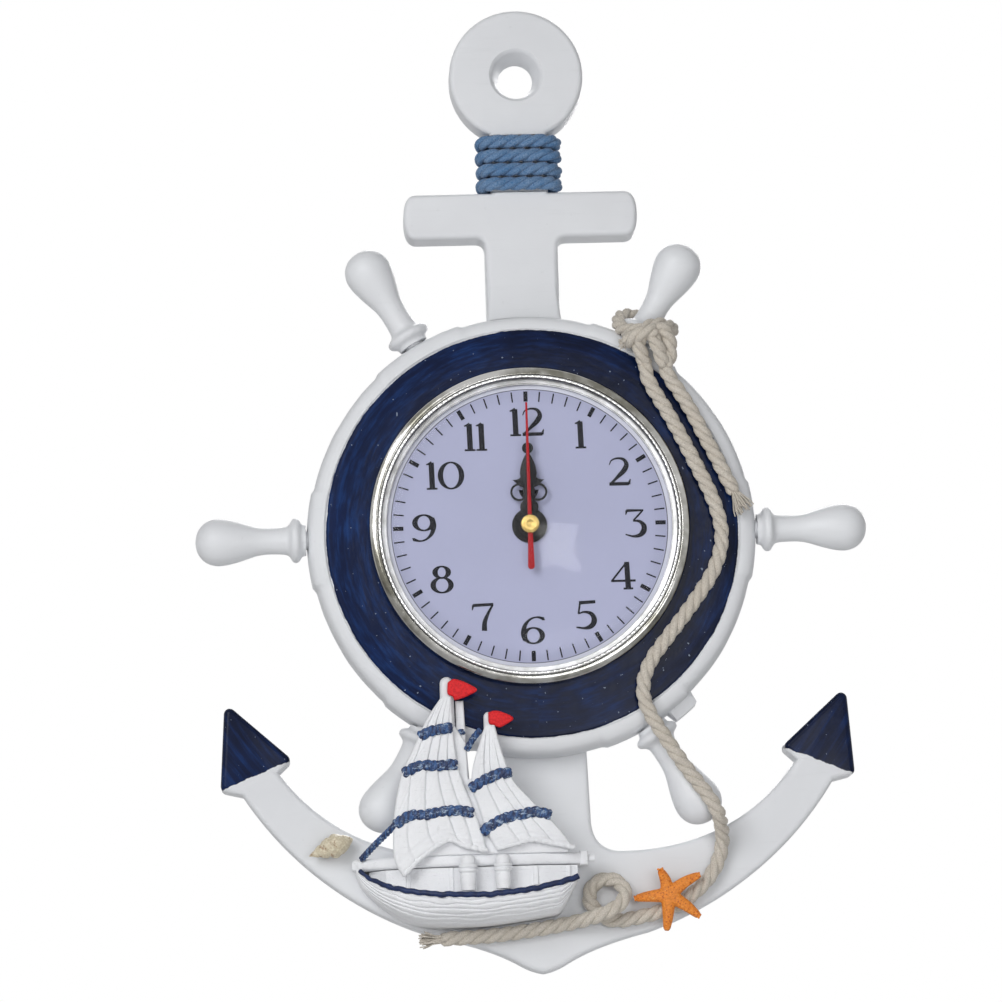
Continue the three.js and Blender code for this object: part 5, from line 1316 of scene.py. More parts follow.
def bezel_rows(sides=900):
    """The bezel's ring: a broad band outside, a groove and a fine beaded ring beside the lens."""
    profile = rounded_profile([
        (DIAL_R + 0.5, BEZEL_BACK), (BEZEL_R, BEZEL_BACK),
        *beside(BEZEL_R, BEZEL_FRONT, (0, 1.7), (-0.5, 1), (-1.7, 0.5), (-2.7, 0.4), (-2.9, 0.7),
                (-3.1, 0.35)),
    ], 0.3, 3)
    bead = [
        (BEZEL_R - 3.1 - (1 - math.cos(t)) / 2, BEZEL_FRONT + 0.35 - 0.33 * math.sin(t), math.sin(t))
        for t in np.radians(np.linspace(12, 168, 9))
    ]
    inside = rounded_profile([
        (BEZEL_R - 4.15, BEZEL_FRONT + 0.4), (LENS_R + SEAT_GAP, BEZEL_FRONT + 1),
        (LENS_R + SEAT_GAP, DIAL_FRONT - 1.3), (SIGHT_R, DIAL_FRONT - 1.3), (SIGHT_R, DIAL_FRONT - SEAT_GAP),
        (DIAL_R + 0.5, DIAL_FRONT - SEAT_GAP),
    ], 0.15, 2)
    rows = [(r, y, 0) for r, y in profile] + bead + [(r, y, 0) for r, y in inside]
    angles = circle(sides)
    beads = np.abs(np.cos(angles * BEADS / 2)) ** 0.7 - 0.6
    out = []
    for r, y, share in [*rows, rows[0]]:
        x, z = INSERT_X + r * np.cos(angles), INSERT_Z + r * np.sin(angles)
        out.append(np.stack([x, y - 0.22 * share * beads, z], 1))
    return out


class CLOCK_OT_insert(bpy.types.Operator):
    """Fit the bezel, the domed lens and the dial"""

    bl_idname = "clock.insert"
    bl_label = "Insert"

    def execute(self, context):
        build("bezel_ring", surface(bezel_rows(), caps=False), 40, chrome, "bright_metal", "bezel")
        dome = [(r, LENS_APEX + r * r / (2 * LENS_DOME_R)) for r in (0, 8, 16, 24, 32, 38, 42, 44.5)]
        shoulder = beside(0, LENS_FOOT, (47.9, -2.9), (49.2, -1.9), (49.9, -1), (49.9, 0), (48.7, 0),
                          (48.5, -0.8), (47.6, -1.9))
        side = [(46.4, LENS_APEX + 2.2), *shoulder, (46.4, LENS_APEX + 2.2 + LENS_T)]
        under = [(r, y + LENS_T) for r, y in dome[::-1]]
        profile = [dome[0], *rounded_profile([*dome[1:], *side, *under[:-1]], 0.6, 3).tolist(), under[-1]]
        lens = lathe(profile, INSERT_X, INSERT_Z, 256)
        build("domed_lens", lens, 50, lens_clear, "clear", "lens")
        paper = disc(DIAL_R, DIAL_BACK, DIAL_FRONT, INSERT_X, INSERT_Z, BUSH_R + 0.3, 192)
        build("dial_disc", paper, 40, dial_paper, "dial_face", "dial")
        return {"FINISHED"}


class CLOCK_OT_dial_print(bpy.types.Operator):
    """Print the minute ticks and the numerals on the dial"""

    bl_idname = "clock.dial_print"
    bl_label = "Dial print"

    def execute(self, context):
        settings = context.scene.clock_dial
        parts = []
        for minute in range(60):
            half = (settings.minute_tick if minute % 5 else settings.hour_tick) / 2
            a = math.radians(6 * minute)
            out, side = np.array([math.sin(a), math.cos(a)]), np.array([math.cos(a), -math.sin(a)])
            centre = np.array([INSERT_X, INSERT_Z]) + out * TICK_R
            reach = TICK_LENGTH / 2
            signs = ((-1, -1), (-1, 1), (1, 1), (1, -1))
            corners = [centre + out * s * reach + side * t * half for s, t in signs]
            parts.append(plate(corners, DIAL_FRONT + 0.02, DIAL_FRONT - PRINT_T))
        for hour in range(1, 13):
            a = math.radians(30 * hour)
            right, up = NUMERAL_SHIFT.get(hour, (0, 0))
            x, z = INSERT_X + NUMERAL_R * math.sin(a) + right, INSERT_Z + NUMERAL_R * math.cos(a) + up
            parts += numeral(str(hour), x, z)
        build("dial_print", together(*parts), 30, printed_black, "black_paint")
        return {"FINISHED"}


# Hands, drawn about their axis and pointing up

HOUR_BACK = -26.8
MINUTE_BACK = -27.55
SECOND_BACK = -28.3
HAND_T = 0.35
CAP_BACK = -28.95


def moved(shape):
    """A shape drawn about the insert's axis, put in its place."""
    points, faces = shape
    return np.asarray(points) + np.array([INSERT_X, 0, INSERT_Z]), faces


def hour_hand():
    back, front = HOUR_BACK, HOUR_BACK - HAND_T
    stem = Outline(0, 2).line(1.3, 2).line(1.3, 3.6).bend(2.9, 4, 3.1, 5.8).bend(3.1, 7.4, 2.2, 8)
    stem.bend(1.4, 9, 1.9, 10.6).bend(2.6, 12, 1.3, 13.6).line(0, 14)
    tip = Outline(0, 12.4).bend(1.8, 12.6, 3.2, 13.4).bend(4.2, 14.4, 5.4, 15.5).bend(3.6, 15.3, 2.8, 16.2)
    tip.bend(2.2, 17.4, 2, 18.6).bend(1.6, 20.4, 0.8, 21.4).line(0, 21.5)
    crescent = Outline(0, 8.4).bend(2.8, 8.6, 3.4, 12).bend(2.2, 10.2, 0, 10)
    parts = [
        disc(4, back, front, hole=2.25),
        plate(stem.mirrored(), back, front, 0.08, 2),
        plate(tip.mirrored(), back + 0.001, front + 0.01, 0.08, 2),
        plate(crescent.mirrored(), back + 0.002, front + 0.02, 0.08, 2),
    ]
    parts += [disc(3.1, back + 0.003, front + 0.005, side * 3.2, 11.2, 2.35, 48) for side in (-1, 1)]
    return together(*parts)


def minute_hand():
    back, front = MINUTE_BACK, MINUTE_BACK - HAND_T
    half = Outline(0, 2).line(0.95, 2).line(0.95, 9).bend(1.1, 12, 1.5, 13.6).bend(2.4, 15.4, 2.9, 17.3)
    half.bend(2.7, 20, 1.7, 22.2).bend(1.2, 23.4, 0.6, 24.2).line(0.5, 25.2).line(0.5, 28)
    half.bend(0.34, 33, 0.2, 37.8).line(0, 38)
    return together(
        disc(4.3, back, front, hole=1.45),
        plate(half.mirrored(), back + 0.001, front + 0.01, 0.06, 2),
        disc(1.9, back + 0.002, front + 0.005, 0, 26.2, sides=40),
    )


def second_hand():
    back, front = SECOND_BACK, SECOND_BACK - HAND_T
    tail = 15.5 - 1.15
    half = Outline(0, -15.5).arc(0, -tail, 1.15, -90, 8, 12).bend(0.95, -8, 0.72, 0).line(0.58, 10)
    half.line(0.35, 41.9).line(0, 42)
    return together(
        plate(half.mirrored(), back, front, 0.08, 2), disc(2.2, back + 0.001, front + 0.01, hole=0.65)
    )


def cap():
    front = CAP_BACK - 0.9
    face = beside(0, front, (2.95, 0.28), (2.3, 0.05), (1.6, 0), (1.2, 0.06), (0.9, 0.22))
    edge = rounded_profile([(3.2, CAP_BACK), (3.2, CAP_BACK - 0.3), *face], 0.12, 3).tolist()
    return lathe([(0, CAP_BACK), *edge, (0, front + 0.25)], 0, 0, 64)


class CLOCK_OT_hands(bpy.types.Operator):
    """Fit the hour, minute and second hands and the brass cap"""

    bl_idname = "clock.hands"
    bl_label = "Hands"

    def execute(self, context):
        for name, node, shape, finish, body, slot in (
            ("short_hand", "hour_hand", hour_hand(), hand_black, "hour_arbor", "black_paint"),
            ("long_hand", "minute_hand", minute_hand(), hand_black, "minute_arbor", "black_paint"),
            ("thin_hand", "second_hand", second_hand(), hand_red, "second_arbor", "red_paint"),
            ("brass_cap", "hand_cap", cap(), brass, "second_arbor", "brass"),
        ):
            build(name, moved(shape), 35, finish, slot, node, body=body)
        return {"FINISHED"}


# Boat

BOAT_LEFT = -63.8
BOAT_RIGHT = 13.8
HULL_BACK = -12.3
HULL_DEPTH = 23.7
DECK_FRONT = -29.8
RAIL_LEFT = -59.7
RAIL_TOP = -109.2
RAIL_BOTTOM = -113.2
# How far the rail reaches past the deck house, and how far behind the bow the hull's stripe starts.
RAIL_REACH = 4.5
STRIPE_START = 2.2
MAST_BACK = -24.8
TALL_MAST_R = 2.5
SHORT_MAST_R = 1.8
SAIL_BACK = -30.1
SAIL_T = 3.0
SAIL_HEIGHT = 46
# A post's radius, by its share of the height.
POST_PROFILE = (
    (2.5, 0), (2.6, 0.45), (2.45, 0.48), (3.05, 0.53), (3.05, 0.58), (2.5, 0.61), (3.1, 0.66), (3.1, 0.71),
    (2.4, 0.75), (2.45, 0.9), (1.9, 0.97),
)
# Stations along the hull: x, height of the sheer line, height of the keel, share of the full depth.
HULL_STATIONS = np.array([
    (BOAT_LEFT, -109.8, -111.6, 0.26), (-61.9, -112, -116.9, 0.36), (-60.4, -113.9, -119.6, 0.43),
    (-55, -117.2, -125, 0.62), (-47.5, -119.8, -130, 0.81), (-40, -121.2, -132.3, 0.94),
    (-32, -121.9, -133, 1), (-20, -122.2, -132.9, 1), (-8, -121.2, -131.6, 0.95),
    (2, -119.4, -130.2, 0.87), (5, -118.7, -129.5, 0.855), (6.7, -118.2, -127.8, 0.84),
    (BOAT_RIGHT - 2.5, -116.8, -119.6, 0.8),
])
HULL_SECTION = ((1, 0), (1, 0.1), (0.99, 0.25), (0.95, 0.45), (0.86, 0.64), (0.72, 0.8), (0.5, 0.92), (0, 1))
PLANK_SEAMS = (0.22, 0.37, 0.51, 0.64, 0.76, 0.88)


class BoatSettings(bpy.types.PropertyGroup):
    white: FloatVectorProperty(
        name="White", description="Colour of the hull and sails", subtype="COLOR", size=3,
        default=(0.86, 0.87, 0.895),
    )
    red: FloatVectorProperty(
        name="Red", description="Colour of the pennants", subtype="COLOR", size=3,
        default=(0.72, 0.01, 0.016),
    )
    pleat: FloatProperty(name="Pleat", description="Depth of the sails' pleats, in mm", default=0.95)


def ripple(seed, count=6, low=0.05, high=0.6):
    """A smooth wandering function of one number, with a size of about one."""
    rng = np.random.default_rng(seed)
    waves = rng.uniform(low, high, count)
    phases = rng.uniform(0, 2 * math.pi, count)
    return lambda s: sum(np.sin(2 * math.pi * w * s + p) for w, p in zip(waves, phases)) / count ** 0.5


def boat_paint():
    """Worn matte white: a light coat of paint over carved marks, greyer in worn patches."""
    colour = bpy.context.scene.clock_boat.white
    f = Finish("boat_white", 0.62, Specular_IOR_Level=0.3)
    base, _ = resin_base(f, colour, 0.5)
    grain = f.noise(1.3, 5, 0.7)
    worn = f.noise(0.5, 4, 0.7)
    base = f.blend(f.eased(worn, 0.62, 0.74, 0, 0.45), base, shade(colour, 0.66))
    base = f.blend(f.eased(grain, 0.25, 0.42, 0.5, 0), base, shade(colour, 0.72))
    scratch = f.noise(1, 5, 0.7, f.stretched((0.12, 0.5, 1.5)))
    base = f.blend(f.eased(scratch, 0.6, 0.72, 0, 0.3), base, shade(colour, 0.5))
    f.colour(base)
    f.bump(grain, 0.6, 0.25)
    f.bump(scratch, 0.5, 0.2)
    return f.bump(f.noise(0.4, 3), 0.35, 0.35)


def band_blue():
    """Blue paint brushed over raised bands, pale in scattered dashes."""
    f = Finish("band_blue", 0.5)
    streak = f.noise(1, 4, 0.7, f.stretched((1.1, 0.4, 0.35), rotation=(0, 0.5, 0)))
    paint = f.blend(f.eased(streak, 0.42, 0.64), (0.005, 0.014, 0.06), (0.03, 0.095, 0.26))
    # pale blue dashes, scattered by noise over the bands
    pale_dashes = f.noise(0.75, 5, 0.75, f.stretched((0.6, 0.5, 1.2)))
    f.colour(f.blend(f.eased(pale_dashes, 0.54, 0.62, 0, 0.75), paint, (0.36, 0.47, 0.62)))
    return f.bump(f.noise(1.6, 4, 0.7), 0.7, 0.25)


def stripe_navy():
    f = Finish("stripe_navy", 0.38, Specular_IOR_Level=0.3)
    f.colour(f.blend(f.eased(f.noise(0.5, 4), 0.35, 0.7), (0.006, 0.014, 0.055), (0.014, 0.032, 0.11)))
    return f.bump(f.noise(0.6, 4, 0.65), 0.5, 0.25)


def pennant_red():
    colour = bpy.context.scene.clock_boat.red
    f = Finish("pennant_red", 0.5, Specular_IOR_Level=0.25)
    grain = f.noise(1.5, 4, 0.7)
    f.colour(f.blend(f.eased(grain, 0.3, 0.65), shade(colour, 0.72), tint(colour, (0.85, 0.03, 0.035), 0.5)))
    return f.bump(grain, 0.8, 0.3)


def hull_at(x):
    return [float(np.interp(x, HULL_STATIONS[:, 0], HULL_STATIONS[:, i])) for i in (1, 2, 3)]


def smooth_stations():
    """The hull's stations with a smooth run between them."""
    scaled = HULL_STATIONS * np.array([1, 1, 1, 20])
    line = smooth_path(scaled[:, [0, 1, 2]], 0.8)
    share = np.interp(line[:, 0], HULL_STATIONS[:, 0], HULL_STATIONS[:, 3])
    kernel = np.ones(9) / 9
    share = np.convolve(np.pad(share, 4, mode="edge"), kernel, mode="valid")
    return np.column_stack([line, share])


def boat_hull():
    section = smooth_path([(r, 0, d) for r, d in HULL_SECTION], 0.02)[:, [0, 2]]
    wander = [ripple(20 + i, 4, 0.02, 0.12) for i in range(len(PLANK_SEAMS))]
    rows = []
    for x, sheer, keel, share in smooth_stations():
        depth, height = HULL_DEPTH * share, sheer - keel
        row = [(x, HULL_BACK, sheer), (x, HULL_BACK - depth + 0.9, sheer)]
        for reach, drop in section:
            cut = 0.0
            for seam, shift in zip(PLANK_SEAMS, wander):
                off = (drop - seam) * height - 0.22 * shift(x)
                cut = max(cut, 0.62 * math.exp(-((off / 0.24) ** 2)))
            out = (depth - 0.35) * reach - cut
            row.append((x, HULL_BACK - max(0, out), sheer - height * drop + 0.3 * cut))
        rows.append(row)
    return surface(rows)


def hull_stripe():
    """Raised strake along the sheer line, thicker amidships and uneven like brushed paint."""
    wobble = ripple(5, 5, 0.05, 0.3)
    path, radius = [], []
    for x, sheer, _, share in smooth_stations():
        if x < BOAT_LEFT + STRIPE_START:
            continue
        swell = 0.6 + 0.55 * min(1, (x - BOAT_LEFT) / 22)
        path.append((x, HULL_BACK - HULL_DEPTH * share + 0.75, sheer - 0.75 * swell + 0.12 * wobble(x)))
        radius.append(swell + 0.08 * wobble(1.7 * x))
    return swept(path, np.minimum(radius, 1.02), 16)


def deck_plan(left, inset_by):
    return [
        (left, HULL_BACK), (BOAT_RIGHT, HULL_BACK), (BOAT_RIGHT, DECK_FRONT + 3 + inset_by),
        (0, DECK_FRONT + inset_by), (-36, DECK_FRONT + inset_by), (-53, DECK_FRONT + 4.5 + inset_by),
        (left, HULL_BACK - 6 + inset_by),
    ]


def denser(points, step=1.0):
    """The closed outline with more points along its sides."""
    out = []
    for a, b in zip(points, [*points[1:], points[0]]):
        count = max(1, int(math.dist(a, b) / step))
        out += [tuple(np.array(a) + (np.array(b) - np.array(a)) * i / count) for i in range(count)]
    return out


def boat_rail():
    levels = round_over(RAIL_BOTTOM, 1.3, 4, 1)[::-1] + round_over(RAIL_TOP, 1.5, 5, -1)
    body = slab(deck_plan(RAIL_LEFT - RAIL_REACH, 0), levels, upright=True)
    front = DECK_FRONT + 4
    end = [(x, y, -111.2) for x, y in beside(BOAT_RIGHT, front, (-1, 1.2), (0.6, 1.1), (3.4, 1.1))]
    stub = swept(resampled(end, 0.4), 1.15, 20)
    knob = beside(BOAT_RIGHT, 0, (-1.6, -113.6), (1.2, -113.6), (1.2, -108.8), (-1.6, -108.8))
    collar = plate(knob, front + 2, front - 1.6, 0.8, 4)
    return together(body, stub, collar)


def boat_deck():
    """Panels of the deck house between the sheer line and the rail, with uprights between them."""
    left, right = RAIL_LEFT + 1.2, BOAT_RIGHT - 2.5
    top = RAIL_BOTTOM - SEAT_GAP
    plan = denser(deck_plan(left, 0.9), 1.2)
    rows = []
    for share in (0, 0.5, 1):
        row = []
        for x, y in tidy(plan):
            x = min(x, right)
            low = hull_at(x)[0] + SEAT_GAP
            low = min(low, top - 0.2)
            row.append((x, y, low + (top - low) * share))
        rows.append(row)
    parts = [surface(rows)]
    for x, width in ((-31.2, 1.6), (-2.9, 1.8), (-45.5, 1.4), (8.2, 1.4)):
        y = DECK_FRONT + float(np.interp(x, (-53, -36, 0, BOAT_RIGHT), (4.5, 0, 0, 3)))
        low = hull_at(x)[0] + SEAT_GAP
        bar = [(x - width / 2, low), (x + width / 2, low), (x + width / 2, top), (x - width / 2, top)]
        parts.append(plate(bar, y + 2, y + 0.25, 0.35, 3))
    return together(*parts)


def between(curve, share):
    """The point a share of the way along a line of points."""
    along = distances(curve)
    return np.stack([np.interp(share * along[-1], along, curve[:, i]) for i in (0, 1)], -1)


def even_curve(points, count):
    line = smooth_path([(x, 0, z) for x, z in points], 0.25)[:, [0, 2]]
    return np.array([between(line, s) for s in np.linspace(0, 1, count)])


def sail_cloth(left, right, foot, pleats, seed, columns=76, rows=150):
    """A sheet between two edges and a curved foot, its front face pleated, its rim rolled over."""
    depth = bpy.context.scene.clock_boat.pleat
    l_edge, r_edge = even_curve(left, rows), even_curve(right, rows)
    f_edge = even_curve(foot, columns)
    u, v = np.linspace(0, 1, columns)[None, :], np.linspace(0, 1, rows)[:, None]
    top = l_edge[0] + (r_edge[0] - l_edge[0]) * u[0][:, None]
    patch = ((1 - u)[..., None] * l_edge[:, None] + u[..., None] * r_edge[:, None]
             + (1 - v)[..., None] * top[None] + v[..., None] * f_edge[None]
             - ((1 - u) * (1 - v))[..., None] * l_edge[0] - (u * (1 - v))[..., None] * r_edge[0]
             - ((1 - u) * v)[..., None] * l_edge[-1] - (u * v)[..., None] * r_edge[-1])
    width = np.linalg.norm(r_edge - l_edge, axis=1)[:, None]
    wander = ripple(seed, 3, 0.4, 1.6)
    relief = np.zeros((rows, columns))
    for i, (at_u, strength) in enumerate(pleats):
        off = (u - at_u - 0.025 * wander(v + 3.1 * i)) * width
        # each fold rises slowly from the left and drops steeply to the right of its crease
        slope = np.clip(1 - off / 3.6, 0, 1) ** 1.5
        fold = np.where(off < 0, np.exp(-((off / 0.3) ** 2)), slope)
        relief = np.maximum(relief, strength * depth * fold * np.clip(v * 6, 0, 1))
    above_foot = (1 - v) * SAIL_HEIGHT
    hem = np.minimum(np.minimum(u, 1 - u) * width, np.minimum(above_foot, v * SAIL_HEIGHT + 0.6))
    edge = np.clip(hem / 1.1, 0, 1)
    rim = 1.1 * (1 - np.sqrt(np.clip(1 - (1 - edge) ** 2, 0, 1)))
    roll = 0.5 * np.exp(-((above_foot - 1.4) / 0.8) ** 2) - 0.35 * np.exp(-((above_foot - 3.2) / 0.6) ** 2)
    rough = 0.07 * ripple(seed + 1, 7, 3, 14)(u + 0.4 * v) * ripple(seed + 2, 7, 4, 20)(v + 0.3 * u)
    belly = 0.35 * (1 - np.sin(math.pi * u)) * (0.4 + 0.6 * v)
    front = SAIL_BACK - SAIL_T + np.clip(relief + rim + belly - roll + rough + 0.36, 0.02, SAIL_T - 0.6)
    face = np.stack([patch[..., 0], front, patch[..., 1]], -1)
    back = np.stack([patch[..., 0], np.full((rows, columns), SAIL_BACK), patch[..., 1]], -1)
    points = np.vstack([back.reshape(-1, 3), face.reshape(-1, 3)])
    count = rows * columns
    faces = grid_faces(rows, columns, False) + [f[::-1] for f in grid_faces(rows, columns, False, count)]
    border = [*range(columns), *range(2 * columns - 1, count, columns),
              *range(count - 2, count - columns - 1, -1), *range(count - 2 * columns, 0, -columns)]
    faces += [(a, b, b + count, a + count) for a, b in zip(border, border[1:] + border[:1])]
    return points, faces


LEFT_SAIL = (
    [(-33, -56.5), (-37, -62.1), (-39.4, -66.4), (-43.1, -74.1), (-46.7, -81.7), (-49.3, -92.3),
     (-50.2, -101.5), (-50, -110.8), (-47.2, -116.4)],
    [(-29.4, -56.5), (-29.2, -66), (-28.6, -74.5), (-27.3, -82), (-24.1, -91.2), (-20.3, -102.2),
     (-18.8, -108.8)],
    [(-47.2, -116.4), (-41.8, -111.2), (-36.5, -107.2), (-31, -104.9), (-26.4, -107), (-18.8, -108.8)],
)
RIGHT_SAIL = (
    [(-18.6, -66.4), (-20.6, -72.5), (-23, -80.3), (-23.5, -86.7), (-21.4, -94), (-19.1, -101.5),
     (-15.9, -108.3)],
    [(-15.2, -66.4), (-12.2, -77.9), (-9.4, -85), (-2.2, -93.4), (5.5, -101.8), (10.4, -108.6)],
    [(-15.9, -108.3), (-9.5, -106.8), (-4, -105.6), (2.1, -106.7), (10.4, -108.6)],
)
# Where each sail's folds run, as a share of its width, and how deep they are.
MAIN_PLEATS = ((0.22, 0.55), (0.47, 0.85), (0.68, 1), (0.86, 0.9))
FORE_PLEATS = ((0.3, 0.9), (0.5, 1), (0.74, 0.75))
# Centre lines of the blue bands on the sails, as [x, z], and of the stays beside them, as [x, y, z].
BANDS = (
    [(-40.4, -69.4), (-35.5, -67.6), (-29.8, -67)],
    [(-46.2, -81.6), (-40.5, -79.4), (-34, -79.6), (-28.4, -79.2)],
    [(-49.4, -99), (-45, -96.2), (-38, -95.6), (-30, -94.8), (-23.4, -95.4)],
    [(-23.8, -87.6), (-19.5, -84.8), (-14.8, -83), (-10.4, -82.6)],
    [(-20.4, -102.2), (-15.6, -98.8), (-8, -96.6), (-2.2, -96), (2.4, -97)],
)
STAYS = (
    [(-49.4, -32.2, -98.9), (-53.6, -28.6, -102.6), (-57.4, -24.8, -105.9), (-61, -20.6, -109.4)],
    [(-20, -30.2, -67.6), (-22.6, -30.2, -70.6), (-24.9, -30.2, -74.4)],
)


def sail_hem(foot, seed, radius=0.95):
    """The rolled, scalloped foot of a sail, with its underside showing below the front face."""
    line = smooth_path([(x, SAIL_BACK - SAIL_T + 1.15, z + 0.55) for x, z in foot], 0.25)
    along = np.linspace(0, len(line) * 0.25, len(line))
    taper = np.minimum(1, np.minimum(along, along[-1] - along) / 1.2 + 0.45)
    size = radius * (1 + 0.12 * ripple(seed, 3, 0.25, 0.5)(along)) * taper
    return swept(line, np.clip(size, 0.3, 1.05), 16)


def sail_web():
    """The part of the casting behind the sails that joins them to the rail."""
    left = beside(2.2, 0, (-38.4, -66.4), (-43.1, -74.1), (-46.7, -81.7), (-48.6, -92.3), (-48.6, -101.5))
    right = beside(-1.6, 0, (10.4, -107.6), (5.5, -101.8), (-2.2, -93.4), (-9.4, -85), (-12.2, -77.9))
    line = [*left, (-44, RAIL_TOP - 0.2), (8, RAIL_TOP - 0.2), *right, (-17, -76), (-21.6, -84),
            (-24.6, -84), (-25, -72), (-28.6, -66)]
    return plate(denser(line, 1.2), SAIL_BACK + 3.2, SAIL_BACK + 0.1, 0.5, 3)


def sail_band(line, seed, radius=1.9):
    """A raised twisted band painted across a sail."""
    path = smooth_path([(x, SAIL_BACK - SAIL_T + 0.75, z) for x, z in line], 0.35)
    path = path + np.array([0, 0, 0.12]) * ripple(seed)(np.linspace(0, 8, len(path)))[:, None]
    points, faces = laid_rope(path, radius, 7.5, 16, 0, ends=0.4, turn=seed)
    middle = SAIL_BACK - SAIL_T + 0.75
    points[:, 1] = middle + (points[:, 1] - middle) * 0.55
    return points, faces


def mast(x, radius, top):
    """A round mast with a domed head."""
    bottom = RAIL_TOP + SEAT_GAP
    profile = [(radius, bottom), (radius, bottom + 10), (radius * 0.96, top - 14), (radius * 0.92, top - 3)]
    for t in np.radians(np.linspace(0, 90, 8)):
        profile.append((radius * 0.92 * math.cos(t), top - radius + radius * math.sin(t)))
    wobble = ripple(int(abs(x)), 4, 0.02, 0.15)
    stations = [((x, MAST_BACK - radius, z), max(r, 0.02) * (1 + 0.025 * wobble(z))) for r, z in profile]
    return surface(hoops(stations, ALONG_X, ALONG_Y, 40))


def turned_post(x, rows_of):
    """An upright turned post, as [radius, height] rows."""
    profile = smooth_path([(r, 0, z) for r, z in rows_of], 0.22)
    stations = [((x, DECK_FRONT - SEAT_GAP - 2.8, z), r) for r, _, z in profile]
    return surface(hoops(stations, ALONG_X, ALONG_Y, 40))


def pennant(line, mast_radius, seed):
    """A small thick flag with soft edges and a wavy face."""
    back = MAST_BACK - 2 * mast_radius - SEAT_GAP
    closed = smooth_path([(x, 0, z) for x, z in [*line, line[0]]], 0.5)[:, [0, 2]]
    points, faces = plate(closed, back, back - 1.6, 0.55, 4)
    wave = ripple(seed, 4, 0.08, 0.3)
    push = 0.22 * wave(points[:, 0]) * (points[:, 1] < back - 0.5)
    points[:, 1] += np.maximum(push, 0)
    return points, faces


LEFT_PENNANT = (
    (-30.6, -51.6), (-28.9, -50.4), (-26.6, -50.8), (-24, -51.9), (-20.7, -54.2), (-23.6, -56), (-26.4, -57),
    (-28.4, -57.4), (-29, -56.2), (-30.6, -55.4),
)
RIGHT_PENNANT = (
    (-17.2, -61.8), (-15, -61.2), (-12.2, -61.9), (-8.7, -64), (-11.4, -66), (-13.6, -66.9), (-15.2, -66.2),
    (-16.9, -65.6),
)
STAY_SAIL = [(-28.1, -57.4), (-28.1, -84), (-26.2, -90), (-24, -86), (-24.8, -72), (-25.4, -57.4)]


class CLOCK_OT_boat(bpy.types.Operator):
    """Cast the boat: hull, deck, rail, masts, sails, bands, posts and pennants"""

    bl_idname = "clock.boat"
    bl_label = "Boat"

    def execute(self, context):
        strip = plate(denser(STAY_SAIL, 1.5), MAST_BACK - 0.6, MAST_BACK - 3.2, 0.6, 3)
        main = together(sail_cloth(*LEFT_SAIL, MAIN_PLEATS, 3), sail_hem(LEFT_SAIL[2], 5))
        fore = together(sail_cloth(*RIGHT_SAIL, FORE_PLEATS, 9), sail_hem(RIGHT_SAIL[2], 7))
        for name, node, shape, angle in (
            ("hull", "boat_hull", boat_hull(), 50),
            ("deck_house", "boat_deck", boat_deck(), 35),
            ("rail", "boat_rail", boat_rail(), 40),
            ("tall_mast", "left_mast", mast(-30.9, TALL_MAST_R, -49.2), 50),
            ("short_mast", "right_mast", mast(-17.1, SHORT_MAST_R, -61.3), 50),
            ("main_sail", "left_sail", main, 50),
            ("fore_sail", "right_sail", fore, 50),
            ("stay_strip", "stay_sail", together(strip, sail_web()), 40),
        ):
            build(name, shape, angle, boat_paint, "boat_white", node)
        for i, x in enumerate((-25.6, -13.9)):
            low, top = hull_at(x)[0] + SEAT_GAP + 0.2, RAIL_TOP - 0.4
            rows_of = [*((r, low + share * (top - low)) for r, share in POST_PROFILE), (0.3, top)]
            post = turned_post(x, rows_of)
            build(f"post_{i + 1}", post, 50, boat_paint, "boat_white", f"boat_post_{i + 1}")
        build("hull_stripe", hull_stripe(), 60, stripe_navy, "boat_white")
        bands = [sail_band(line, i) for i, line in enumerate(BANDS)]
        bands.append(sail_band([(-28, -68.4), (-26.8, -68.1), (-25.4, -68)], 8, 1.1))
        bands[-1][0][:, 1] += 4.3
        build("sail_bands", together(*bands), 50, band_blue, "blue_cord")
        stays = [
            laid_rope(smooth_path(line, 0.3), 1.15, 4.6, 14, 0, ends=0.5, turn=i)
            for i, line in enumerate(STAYS)
        ]
        build("stays", together(*stays), 50, band_blue, "blue_cord")
        for name, node, line, radius, seed in (
            ("tall_flag", "left_pennant", LEFT_PENNANT, TALL_MAST_R, 4),
            ("short_flag", "right_pennant", RIGHT_PENNANT, SHORT_MAST_R, 6),
        ):
            build(name, pennant(line, radius, seed), 45, pennant_red, "red_paint", node)
        return {"FINISHED"}


# Starfish and shell

STAR_CENTRE = (42, -124)
STAR_TIPS = ((53.9, -116.8), (39.2, -114.2), (29.7, -124.9), (40.9, -137.1), (53.2, -132.2))
STAR_BACK = -17.6
STAR_T = 3.4
SHELL_FOOT = (-78.6, -16.4, -107.4)
SHELL_LENGTH = 16.0


def star_orange():
    f = Finish("star_orange", 0.55)
    grain = f.noise(1.6, 4, 0.7)
    dots = f.add("ShaderNodeTexVoronoi")
    f.put(dots, "Vector", f.stretched())
    f.put(dots, "Scale", 0.85)
    base = f.blend(f.eased(grain, 0.3, 0.65), (0.62, 0.16, 0.012), (0.86, 0.29, 0.03))
    base = f.blend(f.eased(dots.outputs["Distance"], 0.18, 0.32, 0.65, 0), base, (0.4, 0.05, 0.012))
    pale = f.noise(0.7, 3, 0.6)
    f.colour(f.blend(f.eased(pale, 0.62, 0.72, 0, 0.6), base, (0.9, 0.46, 0.13)))
    return f.bump(grain, 0.8, 0.3)


